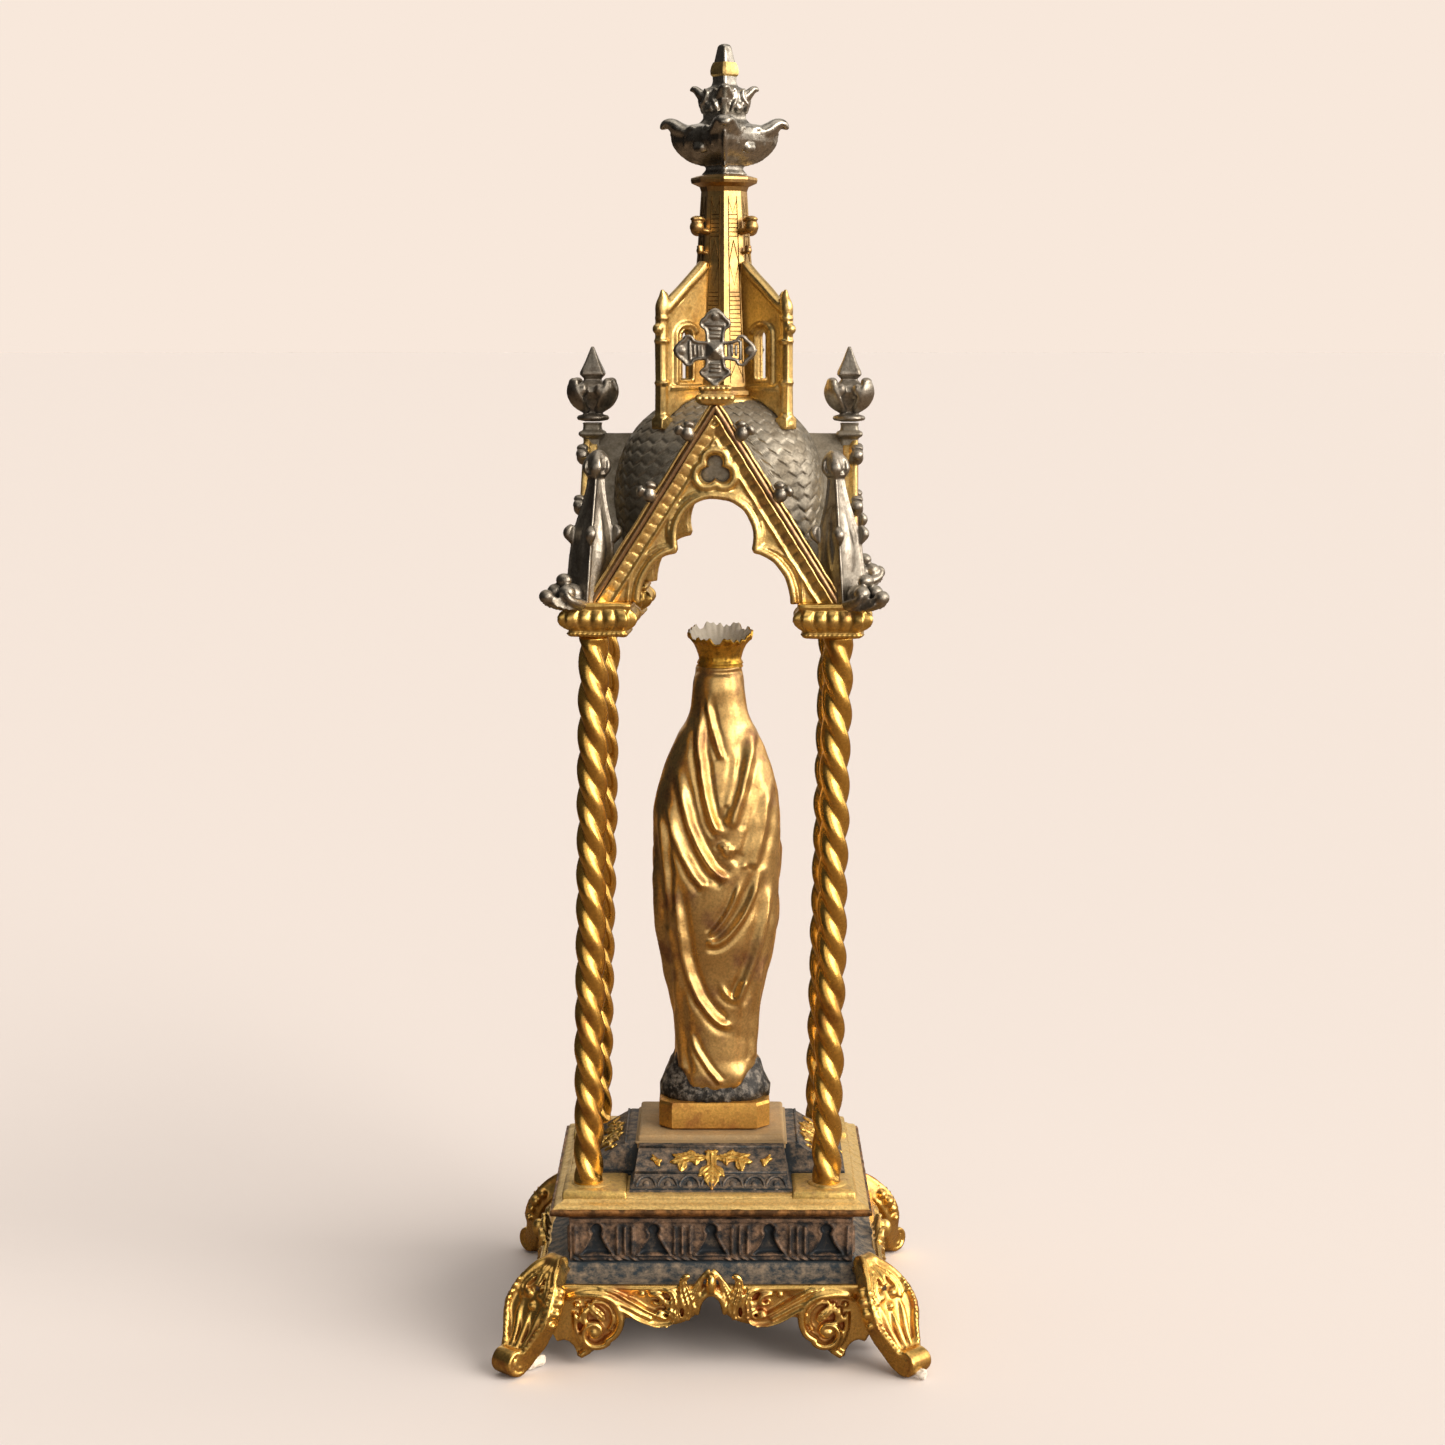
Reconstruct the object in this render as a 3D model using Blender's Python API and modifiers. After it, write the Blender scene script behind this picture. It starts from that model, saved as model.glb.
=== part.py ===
"""Small gilt metal altarpiece: a draped figure under a gabled canopy on four twisted columns.

Metres, +Z up. The origin is on the ground under the middle of the stand. The figure looks along +Y,
and the side that shows its back faces -Y.
"""
import math

import bmesh
import bpy
from mathutils import Matrix, Vector

for old in list(bpy.data.objects):
    bpy.data.objects.remove(old, do_unlink=True)

# Plan of the shrine, set by its four columns
COLUMN_SPAN_X = 0.0648        # between the column axes, side to side
COLUMN_SPAN_Y = 0.0580        # between the column axes, front to back
JOINT_GAP = 0.0003            # clearance between two castings that touch

# Stand: how far each line stands out past the column axes, and its height
FRIEZE_OUT = 0.0059
FRIEZE_FOOT_Z = 0.0262
STAND_TOP_Z = 0.0384
SLOPE_OUT = 0.0146
SLOPE_FOOT_Z = 0.0220
SKIRT_RIM_Z = 0.0208          # lower rim of the shell, just over the middle gap of the skirt
STAND_WALL = 0.0028
SKIRT_THICK = 0.0034
NICHE_COUNT = 5
NICHE_WIDTH = 0.0078
NICHE_HEIGHT = 0.0080
NICHE_DEPTH = 0.0012
LEG_WIDTH = 0.0094            # half width and half thickness of a leg at its broadest
LEG_THICK = 0.0040
KNEE_RADIUS = 0.0024          # small scroll at the head of a leg
KNEE_WIDTH = 0.0044
FOOT_SCROLL_OUT = 0.0213      # centre of the scroll under each foot
FOOT_SCROLL_RADIUS = 0.0044
FOOT_SCROLL_WIDTH = 0.0072
SCROLL_WIRE = 0.0011          # raised rib of the C-scrolls on the skirt
SKIRT_DRAWN_HALF = 0.0470     # the skirt's outline is drawn at this size, and stretched to its wall
SKIRT_DRAWN_HEIGHT = 0.0220
SKIRT_BUD = 0.0060
SKIRT_LEAF = 0.0104

# Base plate with its sloped cross-shaped plinth
PLATE_OUT = 0.0109
PLATE_EDGE_HEIGHT = 0.0034
PLATE_HEIGHT = 0.0066
PLATE_TOP_OUT = 0.0051
BLOCK_HALF = 0.0086           # square block under each column
BLOCK_HEIGHT = 0.0012
PLINTH_ARM_HALF = 0.0222      # half width of an arm of the cross plinth, side to side
PLINTH_HEIGHT = 0.0088
PLATFORM_HEIGHT = 0.0022
PLINTH_OUT = 0.0046           # foot of the plinth's slopes past the column axes
PLINTH_FOOT_RUN = 0.0020
PLINTH_SLOPE_RUN = 0.0116
PLINTH_FOOT_HEIGHT = 0.0016
SPRAY_HALF = 0.0114           # leaf spray on each slope, half its length and its depth
SPRAY_DEPTH = 0.0110
LEAF_THICK = 0.0012

# Twisted columns
COLUMN_RADIUS = 0.0041
COLUMN_GROOVE = 0.0011
COLUMN_PITCH = 0.0285
COLUMN_STRANDS = 3
COLUMN_STEPS = 30
COLUMN_FOOT_SHIFT = -0.0011   # the castings stand a little out of true, as they were screwed together
COLUMN_HEAD_SHIFT = 0.0018
COLUMN_HEAD_TURN = math.radians(-1.0)
COLUMN_HEIGHT = 0.1493

# Canopy, which sits a little to the right and turned on its columns
CANOPY_SHIFT = 0.0026
CANOPY_TURN = math.radians(-2.6)
CAPITAL_IN = 0.0015           # its capitals stand this far inside the column axes
CAPITAL_HALF = 0.0102
CAPITAL_FOOT_HALF = 0.0078
CAPITAL_HEIGHT = 0.0086
GABLE_OUT = 0.0040            # face of a gable wall past the column axes
GABLE_HALF_OUT = 0.0011       # foot of a gable's rake past the column axes
GABLE_WALL = 0.0030
GABLE_RISE_FRONT = 0.0530
GABLE_RISE_SIDE = 0.0440
ROOF_DROP = 0.0022            # how far the roof lies under the rakes
ROOF_WALL = 0.0024
RAKE_ROLL = 0.0014
ARCH_RISE = 0.0288
ARCH_LOBE = 0.0110
ARCH_PIER = 0.0128            # from the rake's foot in to the arch
TREFOIL_LOBE = 0.0021
TREFOIL_RISE = 0.0347
DOME_OUT = -0.0034            # radius of the dome past the column axes
DOME_SPRING = 0.0230
DOME_RISE = 0.0310
DOME_WALL = 0.0024
DOME_SEAT_RADIUS = 0.0105     # flat seat of the spire
CROCKET_RADIUS = 0.0021
CROCKET_OUT = 0.0042          # reach of a crocket out and up from its rake
CROCKET_UP = 0.0050
PINNACLE_HEIGHT = 0.0400
PINNACLE_HALF = 0.0062
PINNACLE_LEAN = 0.0034
POST_HALF = 0.0027
POST_RISE = 0.0022            # top of a side post over the gable
CROSS_FOOT_HALF = 0.0048
CROSS_FOOT_HEIGHT = 0.0040

# Spire with its four buttress fins
SPIRE_SHIFT = 0.0009
SPIRE_HEIGHT = 0.0589            # with its abacus
SPIRE_FOOT_RADIUS = 0.0098
SPIRE_HEAD_RADIUS = 0.0062
ABACUS_RADIUS = 0.0090
ABACUS_HEIGHT = 0.0022
FIN_REACH = 0.0246
FIN_THICK = 0.0024
FIN_EAVES = 0.0262            # height of a fin's outer corner over the seat
FIN_HEAD = 0.0370
FIN_COLONNETTE = 0.0014
SPIRE_CROCKETS = ((0.0022, 0.0112, 0.0462), (0.0012, 0.0094, 0.0394))   # radius, reach, height

# Ornaments
FINIAL_HEIGHT = 0.0350
FINIAL_REACH = 0.0158
CROSS_HEIGHT = 0.0200
CROSS_SPAN = 0.0216
CROSS_THICK = 0.0030
SIDE_FINIAL_HEIGHT = 0.0207
SIDE_FINIAL_REACH = 0.0066

# Figure with its rock and plinth, one casting
FIGURE_HEIGHT = 0.1384        # from the platform to the rim of the crown
FIGURE_PLINTH_HEIGHT = 0.0069
FIGURE_PLINTH_HALF_X = 0.0154
FIGURE_PLINTH_HALF_Y = 0.0128
FIGURE_PLINTH_CHAMFER = 0.0036
FIGURE_SHIFT = 0.0011

WELD = 0.000001
FLAT_ANGLE = math.radians(0.4)

# Levels, each worked out from the casting below it
PLATE_FOOT_Z = STAND_TOP_Z + JOINT_GAP
PLATE_TOP_Z = PLATE_FOOT_Z + PLATE_HEIGHT
COLUMN_FOOT_Z = PLATE_TOP_Z + BLOCK_HEIGHT + JOINT_GAP
COLUMN_HEAD_Z = COLUMN_FOOT_Z + COLUMN_HEIGHT
CAPITAL_FOOT_Z = COLUMN_HEAD_Z + JOINT_GAP
GABLE_FOOT_Z = CAPITAL_FOOT_Z + CAPITAL_HEIGHT
DOME_SPRING_Z = GABLE_FOOT_Z + DOME_SPRING
PLATFORM_Z = PLATE_TOP_Z + PLINTH_HEIGHT + PLATFORM_HEIGHT
FIGURE_FOOT_Z = PLATFORM_Z + JOINT_GAP
CROSS_FOOT_Z = GABLE_FOOT_Z + GABLE_RISE_FRONT + CROSS_FOOT_HEIGHT + JOINT_GAP
SIDE_FINIAL_FOOT_Z = GABLE_FOOT_Z + GABLE_RISE_SIDE + POST_RISE + JOINT_GAP
DOME_SEAT_SHARE = (1.0 - (DOME_SEAT_RADIUS / (COLUMN_SPAN_X / 2 + DOME_OUT)) ** 2.4) ** (1 / 2.4)
SPIRE_FOOT_Z = DOME_SPRING_Z + DOME_RISE * DOME_SEAT_SHARE + JOINT_GAP
FINIAL_FOOT_Z = SPIRE_FOOT_Z + SPIRE_HEIGHT + JOINT_GAP

shrine = bpy.data.collections.new("altarpiece")
cutters = bpy.data.collections.new("cutters")
bpy.context.scene.collection.children.link(shrine)
bpy.context.scene.collection.children.link(cutters)


def plan(out):
    """Half width and half depth of a line that stands out past the column axes."""
    return COLUMN_SPAN_X / 2 + out, COLUMN_SPAN_Y / 2 + out


def new_object(name, bm):
    """Object in the scene's own collection from a bmesh, with its faces pointing out."""
    bmesh.ops.recalc_face_normals(bm, faces=bm.faces)
    mesh = bpy.data.meshes.new(name)
    bm.to_mesh(mesh)
    bm.free()
    obj = bpy.data.objects.new(name, mesh)
    bpy.context.scene.collection.objects.link(obj)
    return obj


def loft(name, rings):
    """Closed skin over a stack of rings that have the same number of points."""
    bm = bmesh.new()
    rows = [[bm.verts.new(point) for point in ring] for ring in rings]
    count = len(rows[0])
    for low, high in zip(rows, rows[1:]):
        for i in range(count):
            j = (i + 1) % count
            bm.faces.new((low[i], low[j], high[j], high[i]))
    bm.faces.new(reversed(rows[0]))
    bm.faces.new(rows[-1])
    return new_object(name, bm)


def rectangle(half_x, half_y, z, centre=(0.0, 0.0)):
    """Corners of a level rectangle, counter-clockwise from above."""
    signs = ((-1, -1), (1, -1), (1, 1), (-1, 1))
    return [Vector((centre[0] + sx * half_x, centre[1] + sy * half_y, z)) for sx, sy in signs]


def level_ring(radius, z, sides, start=0.0, centre=(0.0, 0.0)):
    """Corners of a level regular polygon."""
    angles = [start + 2 * math.pi * i / sides for i in range(sides)]
    return [Vector((centre[0] + radius * math.cos(a), centre[1] + radius * math.sin(a), z)) for a in angles]


def baked(obj):
    """Turn an object with modifiers, or a curve, into a plain welded mesh object."""
    graph = bpy.context.evaluated_depsgraph_get()
    mesh = bpy.data.meshes.new_from_object(obj.evaluated_get(graph))
    bm = bmesh.new()
    bm.from_mesh(mesh)
    bm.transform(obj.matrix_world)
    bmesh.ops.remove_doubles(bm, verts=bm.verts, dist=WELD)
    name = obj.name
    bpy.data.objects.remove(obj, do_unlink=True)
    return new_object(name, bm)


def plate(name, outlines, thickness, frame):
    """Flat plate from 2D outlines, the first its edge and the others holes, set by a frame."""
    curve = bpy.data.curves.new(name, "CURVE")
    curve.dimensions = "2D"
    curve.fill_mode = "BOTH"
    curve.extrude = thickness / 2
    for outline in outlines:
        spline = curve.splines.new("POLY")
        spline.points.add(len(outline) - 1)
        for point, (u, v) in zip(spline.points, outline):
            point.co = (u, v, 0.0, 1.0)
        spline.use_cyclic_u = True
    obj = bpy.data.objects.new(name, curve)
    bpy.context.scene.collection.objects.link(obj)
    obj.matrix_world = frame
    bpy.context.view_layer.update()
    return baked(obj)


def tube(name, points, radii, resolution=0):
    """Tapered round rod through the points."""
    curve = bpy.data.curves.new(name, "CURVE")
    curve.dimensions = "3D"
    curve.bevel_depth = 1.0
    curve.bevel_resolution = resolution
    curve.use_fill_caps = True
    spline = curve.splines.new("POLY")
    spline.points.add(len(points) - 1)
    for point, place, radius in zip(spline.points, points, radii):
        point.co = (*place, 1.0)
        point.radius = radius
    obj = bpy.data.objects.new(name, curve)
    bpy.context.scene.collection.objects.link(obj)
    bpy.context.view_layer.update()
    return baked(obj)


def stub(name, root, tip, radius):
    """Short stout bud that stands out of a face or an edge."""
    return tube(name, [root, tip], [radius * 0.8, radius])


def crocket(name, root, tip, radius):
    """Pointed bud on an edge, broadest where it leaves the edge."""
    bpy.ops.mesh.primitive_cone_add(vertices=4, radius1=radius, depth=1.0)
    obj = bpy.context.object
    obj.name = name
    along = Vector(tip) - Vector(root)
    obj.data.transform(Matrix.Translation((0.0, 0.0, 0.5)))
    obj.data.transform(Matrix.Diagonal((1.0, 1.0, along.length, 1.0)))
    turn = Vector((0.0, 0.0, 1.0)).rotation_difference(along).to_matrix().to_4x4()
    obj.data.transform(Matrix.Translation(Vector(root)) @ turn)
    return obj


def combine(name, pieces):
    """Put the meshes of several objects into one object, as separate shells."""
    bm = bmesh.new()
    for piece in pieces:
        piece.data.transform(piece.matrix_world)
        bm.from_mesh(piece.data)
        bpy.data.objects.remove(piece, do_unlink=True)
    return new_object(name, bm)


def flatten(obj):
    """Take out the edges and points that a join leaves on flat faces and straight edges."""
    bm = bmesh.new()
    bm.from_mesh(obj.data)
    bmesh.ops.dissolve_limit(bm, angle_limit=FLAT_ANGLE, verts=bm.verts, edges=bm.edges)
    bm.to_mesh(obj.data)
    bm.free()


def boolean(target, pieces, operation):
    """Join the pieces to the target, or cut them out of it, and keep the result as a plain mesh."""
    tool = combine(target.name + "_tool", pieces)
    modifier = target.modifiers.new(operation.lower(), "BOOLEAN")
    modifier.object = tool
    modifier.operation = operation
    modifier.solver = "EXACT"
    modifier.use_self = True
    bpy.context.view_layer.update()
    name = target.name
    result = baked(target)
    result.name = name
    flatten(result)
    if operation == "DIFFERENCE":
        bpy.context.scene.collection.objects.unlink(tool)
        cutters.objects.link(tool)
        tool.hide_render = True
        tool.display_type = "WIRE"
    else:
        bpy.data.objects.remove(tool, do_unlink=True)
    return result


def side_frame(side, distance):
    """Frame of a wall: u along the wall, v up, n out of it. Side 0 faces -Y, side 1 +X, 2 +Y, 3 -X."""
    wall = Matrix(((1, 0, 0, 0), (0, 0, -1, -distance), (0, 1, 0, 0), (0, 0, 0, 1)))
    return Matrix.Rotation(side * math.pi / 2, 4, "Z") @ wall


def wall_distance(side, out):
    """How far the wall of that side stands from the axis of the shrine."""
    half_x, half_y = plan(out)
    return half_y if side % 2 == 0 else half_x


def wall_half(side, out):
    """Half the length of the wall of that side."""
    half_x, half_y = plan(out)
    return half_x if side % 2 == 0 else half_y


def finish(name, obj, colour, roughness, metallic, parent=None):
    """Name the piece, give it its material and put it in the shrine's collection."""
    material = bpy.data.materials.new(name + "_finish")
    material.use_nodes = True
    shader = material.node_tree.nodes["Principled BSDF"]
    shader.inputs["Base Color"].default_value = (*colour, 1.0)
    shader.inputs["Roughness"].default_value = roughness
    shader.inputs["Metallic"].default_value = metallic
    obj.name = name
    obj.data.name = name
    obj.data.materials.clear()
    obj.data.materials.append(material)
    obj.data.shade_smooth()
    obj.data.set_sharp_from_angle(angle=math.radians(38))
    for holder in list(obj.users_collection):
        holder.objects.unlink(obj)
    shrine.objects.link(obj)
    if parent is not None:
        obj.parent = parent
    return obj


GILT = (0.60, 0.38, 0.10)
SILVERED = (0.20, 0.19, 0.17)


def skirt_outline(half):
    """Outline of one skirt wall: a middle gap, a leaf lobe and a scroll lobe each side."""
    share = half / SKIRT_DRAWN_HALF
    climb = SLOPE_FOOT_Z / SKIRT_DRAWN_HEIGHT
    scroll_u, scroll_v, scroll_r = 0.0303, 0.0096, 0.0066
    lower = [(0.0, 0.0198), (0.0026, 0.0182), (0.0042, 0.0140)]
    lower += [(0.0115 + 0.0068 * math.sin(a), 0.0150 - 0.0032 * math.cos(a)) for a in (-0.6, 0.6)]
    lower += [(0.0226, 0.0146)]
    for degrees in (206, 252):
        a = math.radians(degrees)
        lower.append((scroll_u + scroll_r * math.cos(a), scroll_v + scroll_r * math.sin(a)))
    lower += [(0.0356, 0.0032), (0.0386, 0.0072), (0.0420, 0.0086)]
    right = [(u * share, v * climb) for u, v in lower]
    left = [(-u, v) for u, v in reversed(right[1:])]
    top = SLOPE_FOOT_Z + 0.0006
    return left + right + [(half - 0.0010, top), (-half + 0.0010, top)]


def scroll_points(side, sign, half):
    """Middle line of the C-scroll on a skirt wall, wound from the lip of the wall in to its eye."""
    share = half / SKIRT_DRAWN_HALF
    climb = SLOPE_FOOT_Z / SKIRT_DRAWN_HEIGHT
    frame = side_frame(side, wall_distance(side, SLOPE_OUT) + SCROLL_WIRE)
    points = [frame @ Vector((sign * share * 0.0180, climb * 0.0140, 0.0))]
    for i in range(5):
        angle = math.radians(140 - 84 * i)
        radius = 0.0060 - 0.0009 * i
        u = 0.0305 + radius * math.cos(angle)
        v = 0.0108 + radius * math.sin(angle)
        points.append(frame @ Vector((sign * share * u, climb * v, 0.0)))
    return points


def leg(name, sign_x, sign_y):
    """Scrolled corner leg, which runs out along the diagonal and down to a scroll foot."""
    axis = Vector((sign_x * COLUMN_SPAN_X / 2, sign_y * COLUMN_SPAN_Y / 2, 0.0))
    along = Vector((sign_x, sign_y, 0.0))
    across = Vector((-sign_y, sign_x, 0.0)).normalized()
    # shares of the foot's distance out, of the height of the frieze's foot, of the width and thickness
    shares = ((0.42, 1.00, 0.28, 0.55), (0.58, 0.83, 0.79, 0.95), (0.69, 0.60, 1.00, 1.00),
              (0.77, 0.39, 0.74, 0.80), (0.98, 0.22, 0.43, 0.60))
    sizes = (FOOT_SCROLL_OUT, FRIEZE_FOOT_Z, LEG_WIDTH, LEG_THICK)
    stations = [[share * size for share, size in zip(row, sizes)] for row in shares]
    rings = []
    for index, (out, z, half_width, half_thick) in enumerate(stations):
        before = stations[max(index - 1, 0)]
        after = stations[min(index + 1, len(stations) - 1)]
        run = along * (after[0] - before[0]) + Vector((0.0, 0.0, after[1] - before[1]))
        normal = across.cross(run).normalized()
        if normal.dot(along) < 0:
            normal = -normal
        centre = axis + along * out + Vector((0.0, 0.0, z))
        ring = []
        for degrees, swell in ((0, 1.0), (45, 0.8), (90, 1.15), (135, 0.8), (180, 1.0)):
            a = math.radians(degrees)
            depth = half_thick * swell * math.sin(a)
            ring.append(centre + across * (half_width * math.cos(a)) + normal * depth)
        rings.append(ring)
    return loft(name, rings)


def foot_scroll(name, sign_x, sign_y, out, z, radius, width, sides):
    """Rolled end of a leg: a short cylinder lying across the diagonal, flat side down."""
    bpy.ops.mesh.primitive_cylinder_add(vertices=sides, radius=radius, depth=width)
    obj = bpy.context.object
    obj.name = name
    flat = Matrix.Rotation(math.pi / sides, 4, "Z")
    lie = Matrix.Rotation(math.pi / 2, 4, "Y")
    turn = Matrix.Rotation(math.atan2(sign_x, -sign_y), 4, "Z")
    centre = Vector((sign_x * (COLUMN_SPAN_X / 2 + out), sign_y * (COLUMN_SPAN_Y / 2 + out), z))
    obj.data.transform(Matrix.Translation(centre) @ turn @ lie @ flat)
    return obj


def niche_outline(centre_u):
    """Bell-shaped niche of the frieze."""
    half = NICHE_WIDTH / 2
    foot = FRIEZE_FOOT_Z + 0.0012
    shape = ((-1.0, 0.0), (1.0, 0.0), (0.34, 1.0), (-0.34, 1.0))
    return [(centre_u + half * u, foot + NICHE_HEIGHT * v) for u, v in shape]


def leaf(name, frame, u, v, length, width, tilt=0.0):
    """Pointed leaf standing on a wall, broad at its foot."""
    bpy.ops.mesh.primitive_cone_add(vertices=4, radius1=width / 2, depth=length)
    obj = bpy.context.object
    obj.name = name
    upright = Matrix.Rotation(tilt, 4, "Z") @ Matrix.Rotation(-math.pi / 2, 4, "X")
    obj.data.transform(frame @ Matrix.Translation(Vector((u, v, 0.0))) @ upright)
    return obj


def build_stand():
    """Hollow casting: frieze, sloped shoulder, skirt walls and four scrolled legs."""
    wall = STAND_WALL
    climb = SLOPE_FOOT_Z / SKIRT_DRAWN_HEIGHT
    rings = [
        rectangle(*plan(FRIEZE_OUT - wall), STAND_TOP_Z - wall),
        rectangle(*plan(FRIEZE_OUT - wall), FRIEZE_FOOT_Z - wall),
        rectangle(*plan(SLOPE_OUT - wall), SKIRT_RIM_Z),
        rectangle(*plan(SLOPE_OUT), SKIRT_RIM_Z),
        rectangle(*plan(SLOPE_OUT), SLOPE_FOOT_Z),
        rectangle(*plan(FRIEZE_OUT + 0.0012), FRIEZE_FOOT_Z - 0.0012),
        rectangle(*plan(FRIEZE_OUT + 0.0008), FRIEZE_FOOT_Z),
        rectangle(*plan(FRIEZE_OUT), FRIEZE_FOOT_Z + 0.0004),
        rectangle(*plan(FRIEZE_OUT), STAND_TOP_Z),
    ]
    body = loft("stand_body", rings)
    pieces = []
    niches = []
    for side in range(4):
        half = wall_half(side, SLOPE_OUT)
        middle = wall_distance(side, SLOPE_OUT) - SKIRT_THICK / 2 + 0.0010
        pieces.append(plate("skirt", [skirt_outline(half)], SKIRT_THICK, side_frame(side, middle)))
        face = side_frame(side, wall_distance(side, SLOPE_OUT) + 0.0008)
        pieces.append(leaf("bud", face, 0.0, SLOPE_FOOT_Z, SKIRT_BUD, SKIRT_BUD * 0.74))
        for sign in (-1, 1):
            wire = [SCROLL_WIRE] * 5 + [SCROLL_WIRE * 1.7]
            pieces.append(tube("scroll", scroll_points(side, sign, half), wire))
            share = half / SKIRT_DRAWN_HALF
            place = (sign * share * 0.0076, climb * 0.0184)
            pieces.append(leaf("leaf", face, *place, SKIRT_LEAF, SKIRT_LEAF * 0.58, sign * 0.30))
        depth_frame = side_frame(side, wall_distance(side, FRIEZE_OUT))
        pitch = 2 * wall_half(side, FRIEZE_OUT) / (NICHE_COUNT + 0.2)
        for i in range(NICHE_COUNT):
            outline = niche_outline((i - (NICHE_COUNT - 1) / 2) * pitch)
            niches.append(plate("niche", [outline], NICHE_DEPTH * 2, depth_frame))
    for sign_x in (-1, 1):
        for sign_y in (-1, 1):
            pieces.append(leg("leg", sign_x, sign_y))
            flat = FOOT_SCROLL_RADIUS * math.cos(math.pi / 8)
            pieces.append(foot_scroll("foot", sign_x, sign_y, FOOT_SCROLL_OUT, flat,
                                      FOOT_SCROLL_RADIUS, FOOT_SCROLL_WIDTH, 8))
            pieces.append(foot_scroll("knee", sign_x, sign_y, FOOT_SCROLL_OUT * 0.42, FRIEZE_FOOT_Z * 1.015,
                                      KNEE_RADIUS, KNEE_WIDTH, 6))
    body = boolean(body, pieces, "UNION")
    body = boolean(body, niches, "DIFFERENCE")
    return finish("stand", body, GILT, 0.38, 1.0)


def leaf_spray_outline():
    """Hanging oak leaf between two smaller ones, as one flat spray."""
    shares = [(0.0, -0.60), (0.35, -0.27), (0.18, 0.05), (0.54, -0.13), (1.0, 0.09), (0.63, 0.40), (0.18, 0.33)]
    half = [(u * SPRAY_HALF, v * SPRAY_DEPTH) for u, v in shares]
    return half + [(-u, v) for u, v in reversed(half[1:])]


def build_base_plate():
    """Moulded plate on the stand, with blocks for the columns and the sloped cross plinth."""
    edge = PLATE_EDGE_HEIGHT
    top = PLATE_TOP_Z
    rings = [
        rectangle(*plan(FRIEZE_OUT + 0.0004), PLATE_FOOT_Z),
        rectangle(*plan(PLATE_OUT - 0.0008), PLATE_FOOT_Z + edge * 0.5),
        rectangle(*plan(PLATE_OUT), PLATE_FOOT_Z + edge * 0.6),
        rectangle(*plan(PLATE_OUT), PLATE_FOOT_Z + edge),
        rectangle(*plan(PLATE_OUT - 0.0014), PLATE_FOOT_Z + edge + 0.0004),
        rectangle(*plan(PLATE_OUT - 0.0030), PLATE_FOOT_Z + edge + 0.0018),
        rectangle(*plan(PLATE_TOP_OUT), top),
        rectangle(*plan(PLATE_TOP_OUT - 0.0040), top),
    ]
    body = loft("plate_body", rings)
    pieces = []
    for sign_x in (-1, 1):
        for sign_y in (-1, 1):
            x = sign_x * (COLUMN_SPAN_X / 2 - 0.0014) + COLUMN_FOOT_SHIFT / 2
            y = sign_y * (COLUMN_SPAN_Y / 2 - 0.0014)
            foot = rectangle(BLOCK_HALF, BLOCK_HALF, top - 0.0016, (x, y))
            head = rectangle(BLOCK_HALF - 0.0012, BLOCK_HALF - 0.0012, top + BLOCK_HEIGHT, (x, y))
            pieces.append(loft("block", [foot, head]))
    half_x, half_y = plan(PLINTH_OUT)
    ankle, shoulder = PLINTH_FOOT_RUN, PLINTH_FOOT_RUN + PLINTH_SLOPE_RUN
    low = PLINTH_FOOT_HEIGHT
    arm_x = PLINTH_ARM_HALF
    arm_y = PLINTH_ARM_HALF - (COLUMN_SPAN_X - COLUMN_SPAN_Y) / 2
    rise = PLINTH_HEIGHT
    pieces.append(loft("arm_y", [
        rectangle(arm_x, half_y, top - 0.0010),
        rectangle(arm_x - 0.0003, half_y - ankle, top + low),
        rectangle(arm_x - 0.0018, half_y - shoulder, top + rise)]))
    pieces.append(loft("arm_x", [
        rectangle(half_x, arm_y, top - 0.0011),
        rectangle(half_x - ankle, arm_y - 0.0003, top + low + 0.0001),
        rectangle(half_x - shoulder, arm_y - 0.0018, top + rise - 0.0001)]))
    pieces.append(loft("platform", [
        rectangle(arm_x - 0.0020, arm_y - 0.0020, top + rise - 0.0010),
        rectangle(arm_x - 0.0022, arm_y - 0.0022, top + rise + PLATFORM_HEIGHT - 0.0005),
        rectangle(arm_x - 0.0028, arm_y - 0.0028, top + rise + PLATFORM_HEIGHT)]))
    run, climb = PLINTH_SLOPE_RUN, rise - low
    for side in range(4):
        distance = (half_y if side % 2 == 0 else half_x) - ankle - run / 2
        frame = side_frame(side, distance) @ Matrix.Translation((0.0, top + low + climb / 2, 0.0))
        frame = frame @ Matrix.Rotation(-math.atan2(run, climb), 4, "X")
        pieces.append(plate("spray", [leaf_spray_outline()], LEAF_THICK * 2, frame))
    body = boolean(body, pieces, "UNION")
    return finish("base_plate", body, GILT, 0.42, 1.0)


def column_foot(sign_x, sign_y):
    """Middle of a column's lower end."""
    return Vector((sign_x * COLUMN_SPAN_X / 2 + COLUMN_FOOT_SHIFT, sign_y * COLUMN_SPAN_Y / 2, COLUMN_FOOT_Z))


def column_head(sign_x, sign_y):
    """Middle of a column's upper end, moved with the canopy."""
    plumb = Vector((sign_x * COLUMN_SPAN_X / 2, sign_y * COLUMN_SPAN_Y / 2, COLUMN_HEAD_Z))
    turned = Matrix.Rotation(COLUMN_HEAD_TURN, 4, "Z") @ plumb
    return turned + Vector((COLUMN_HEAD_SHIFT, 0.0, 0.0))


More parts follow.
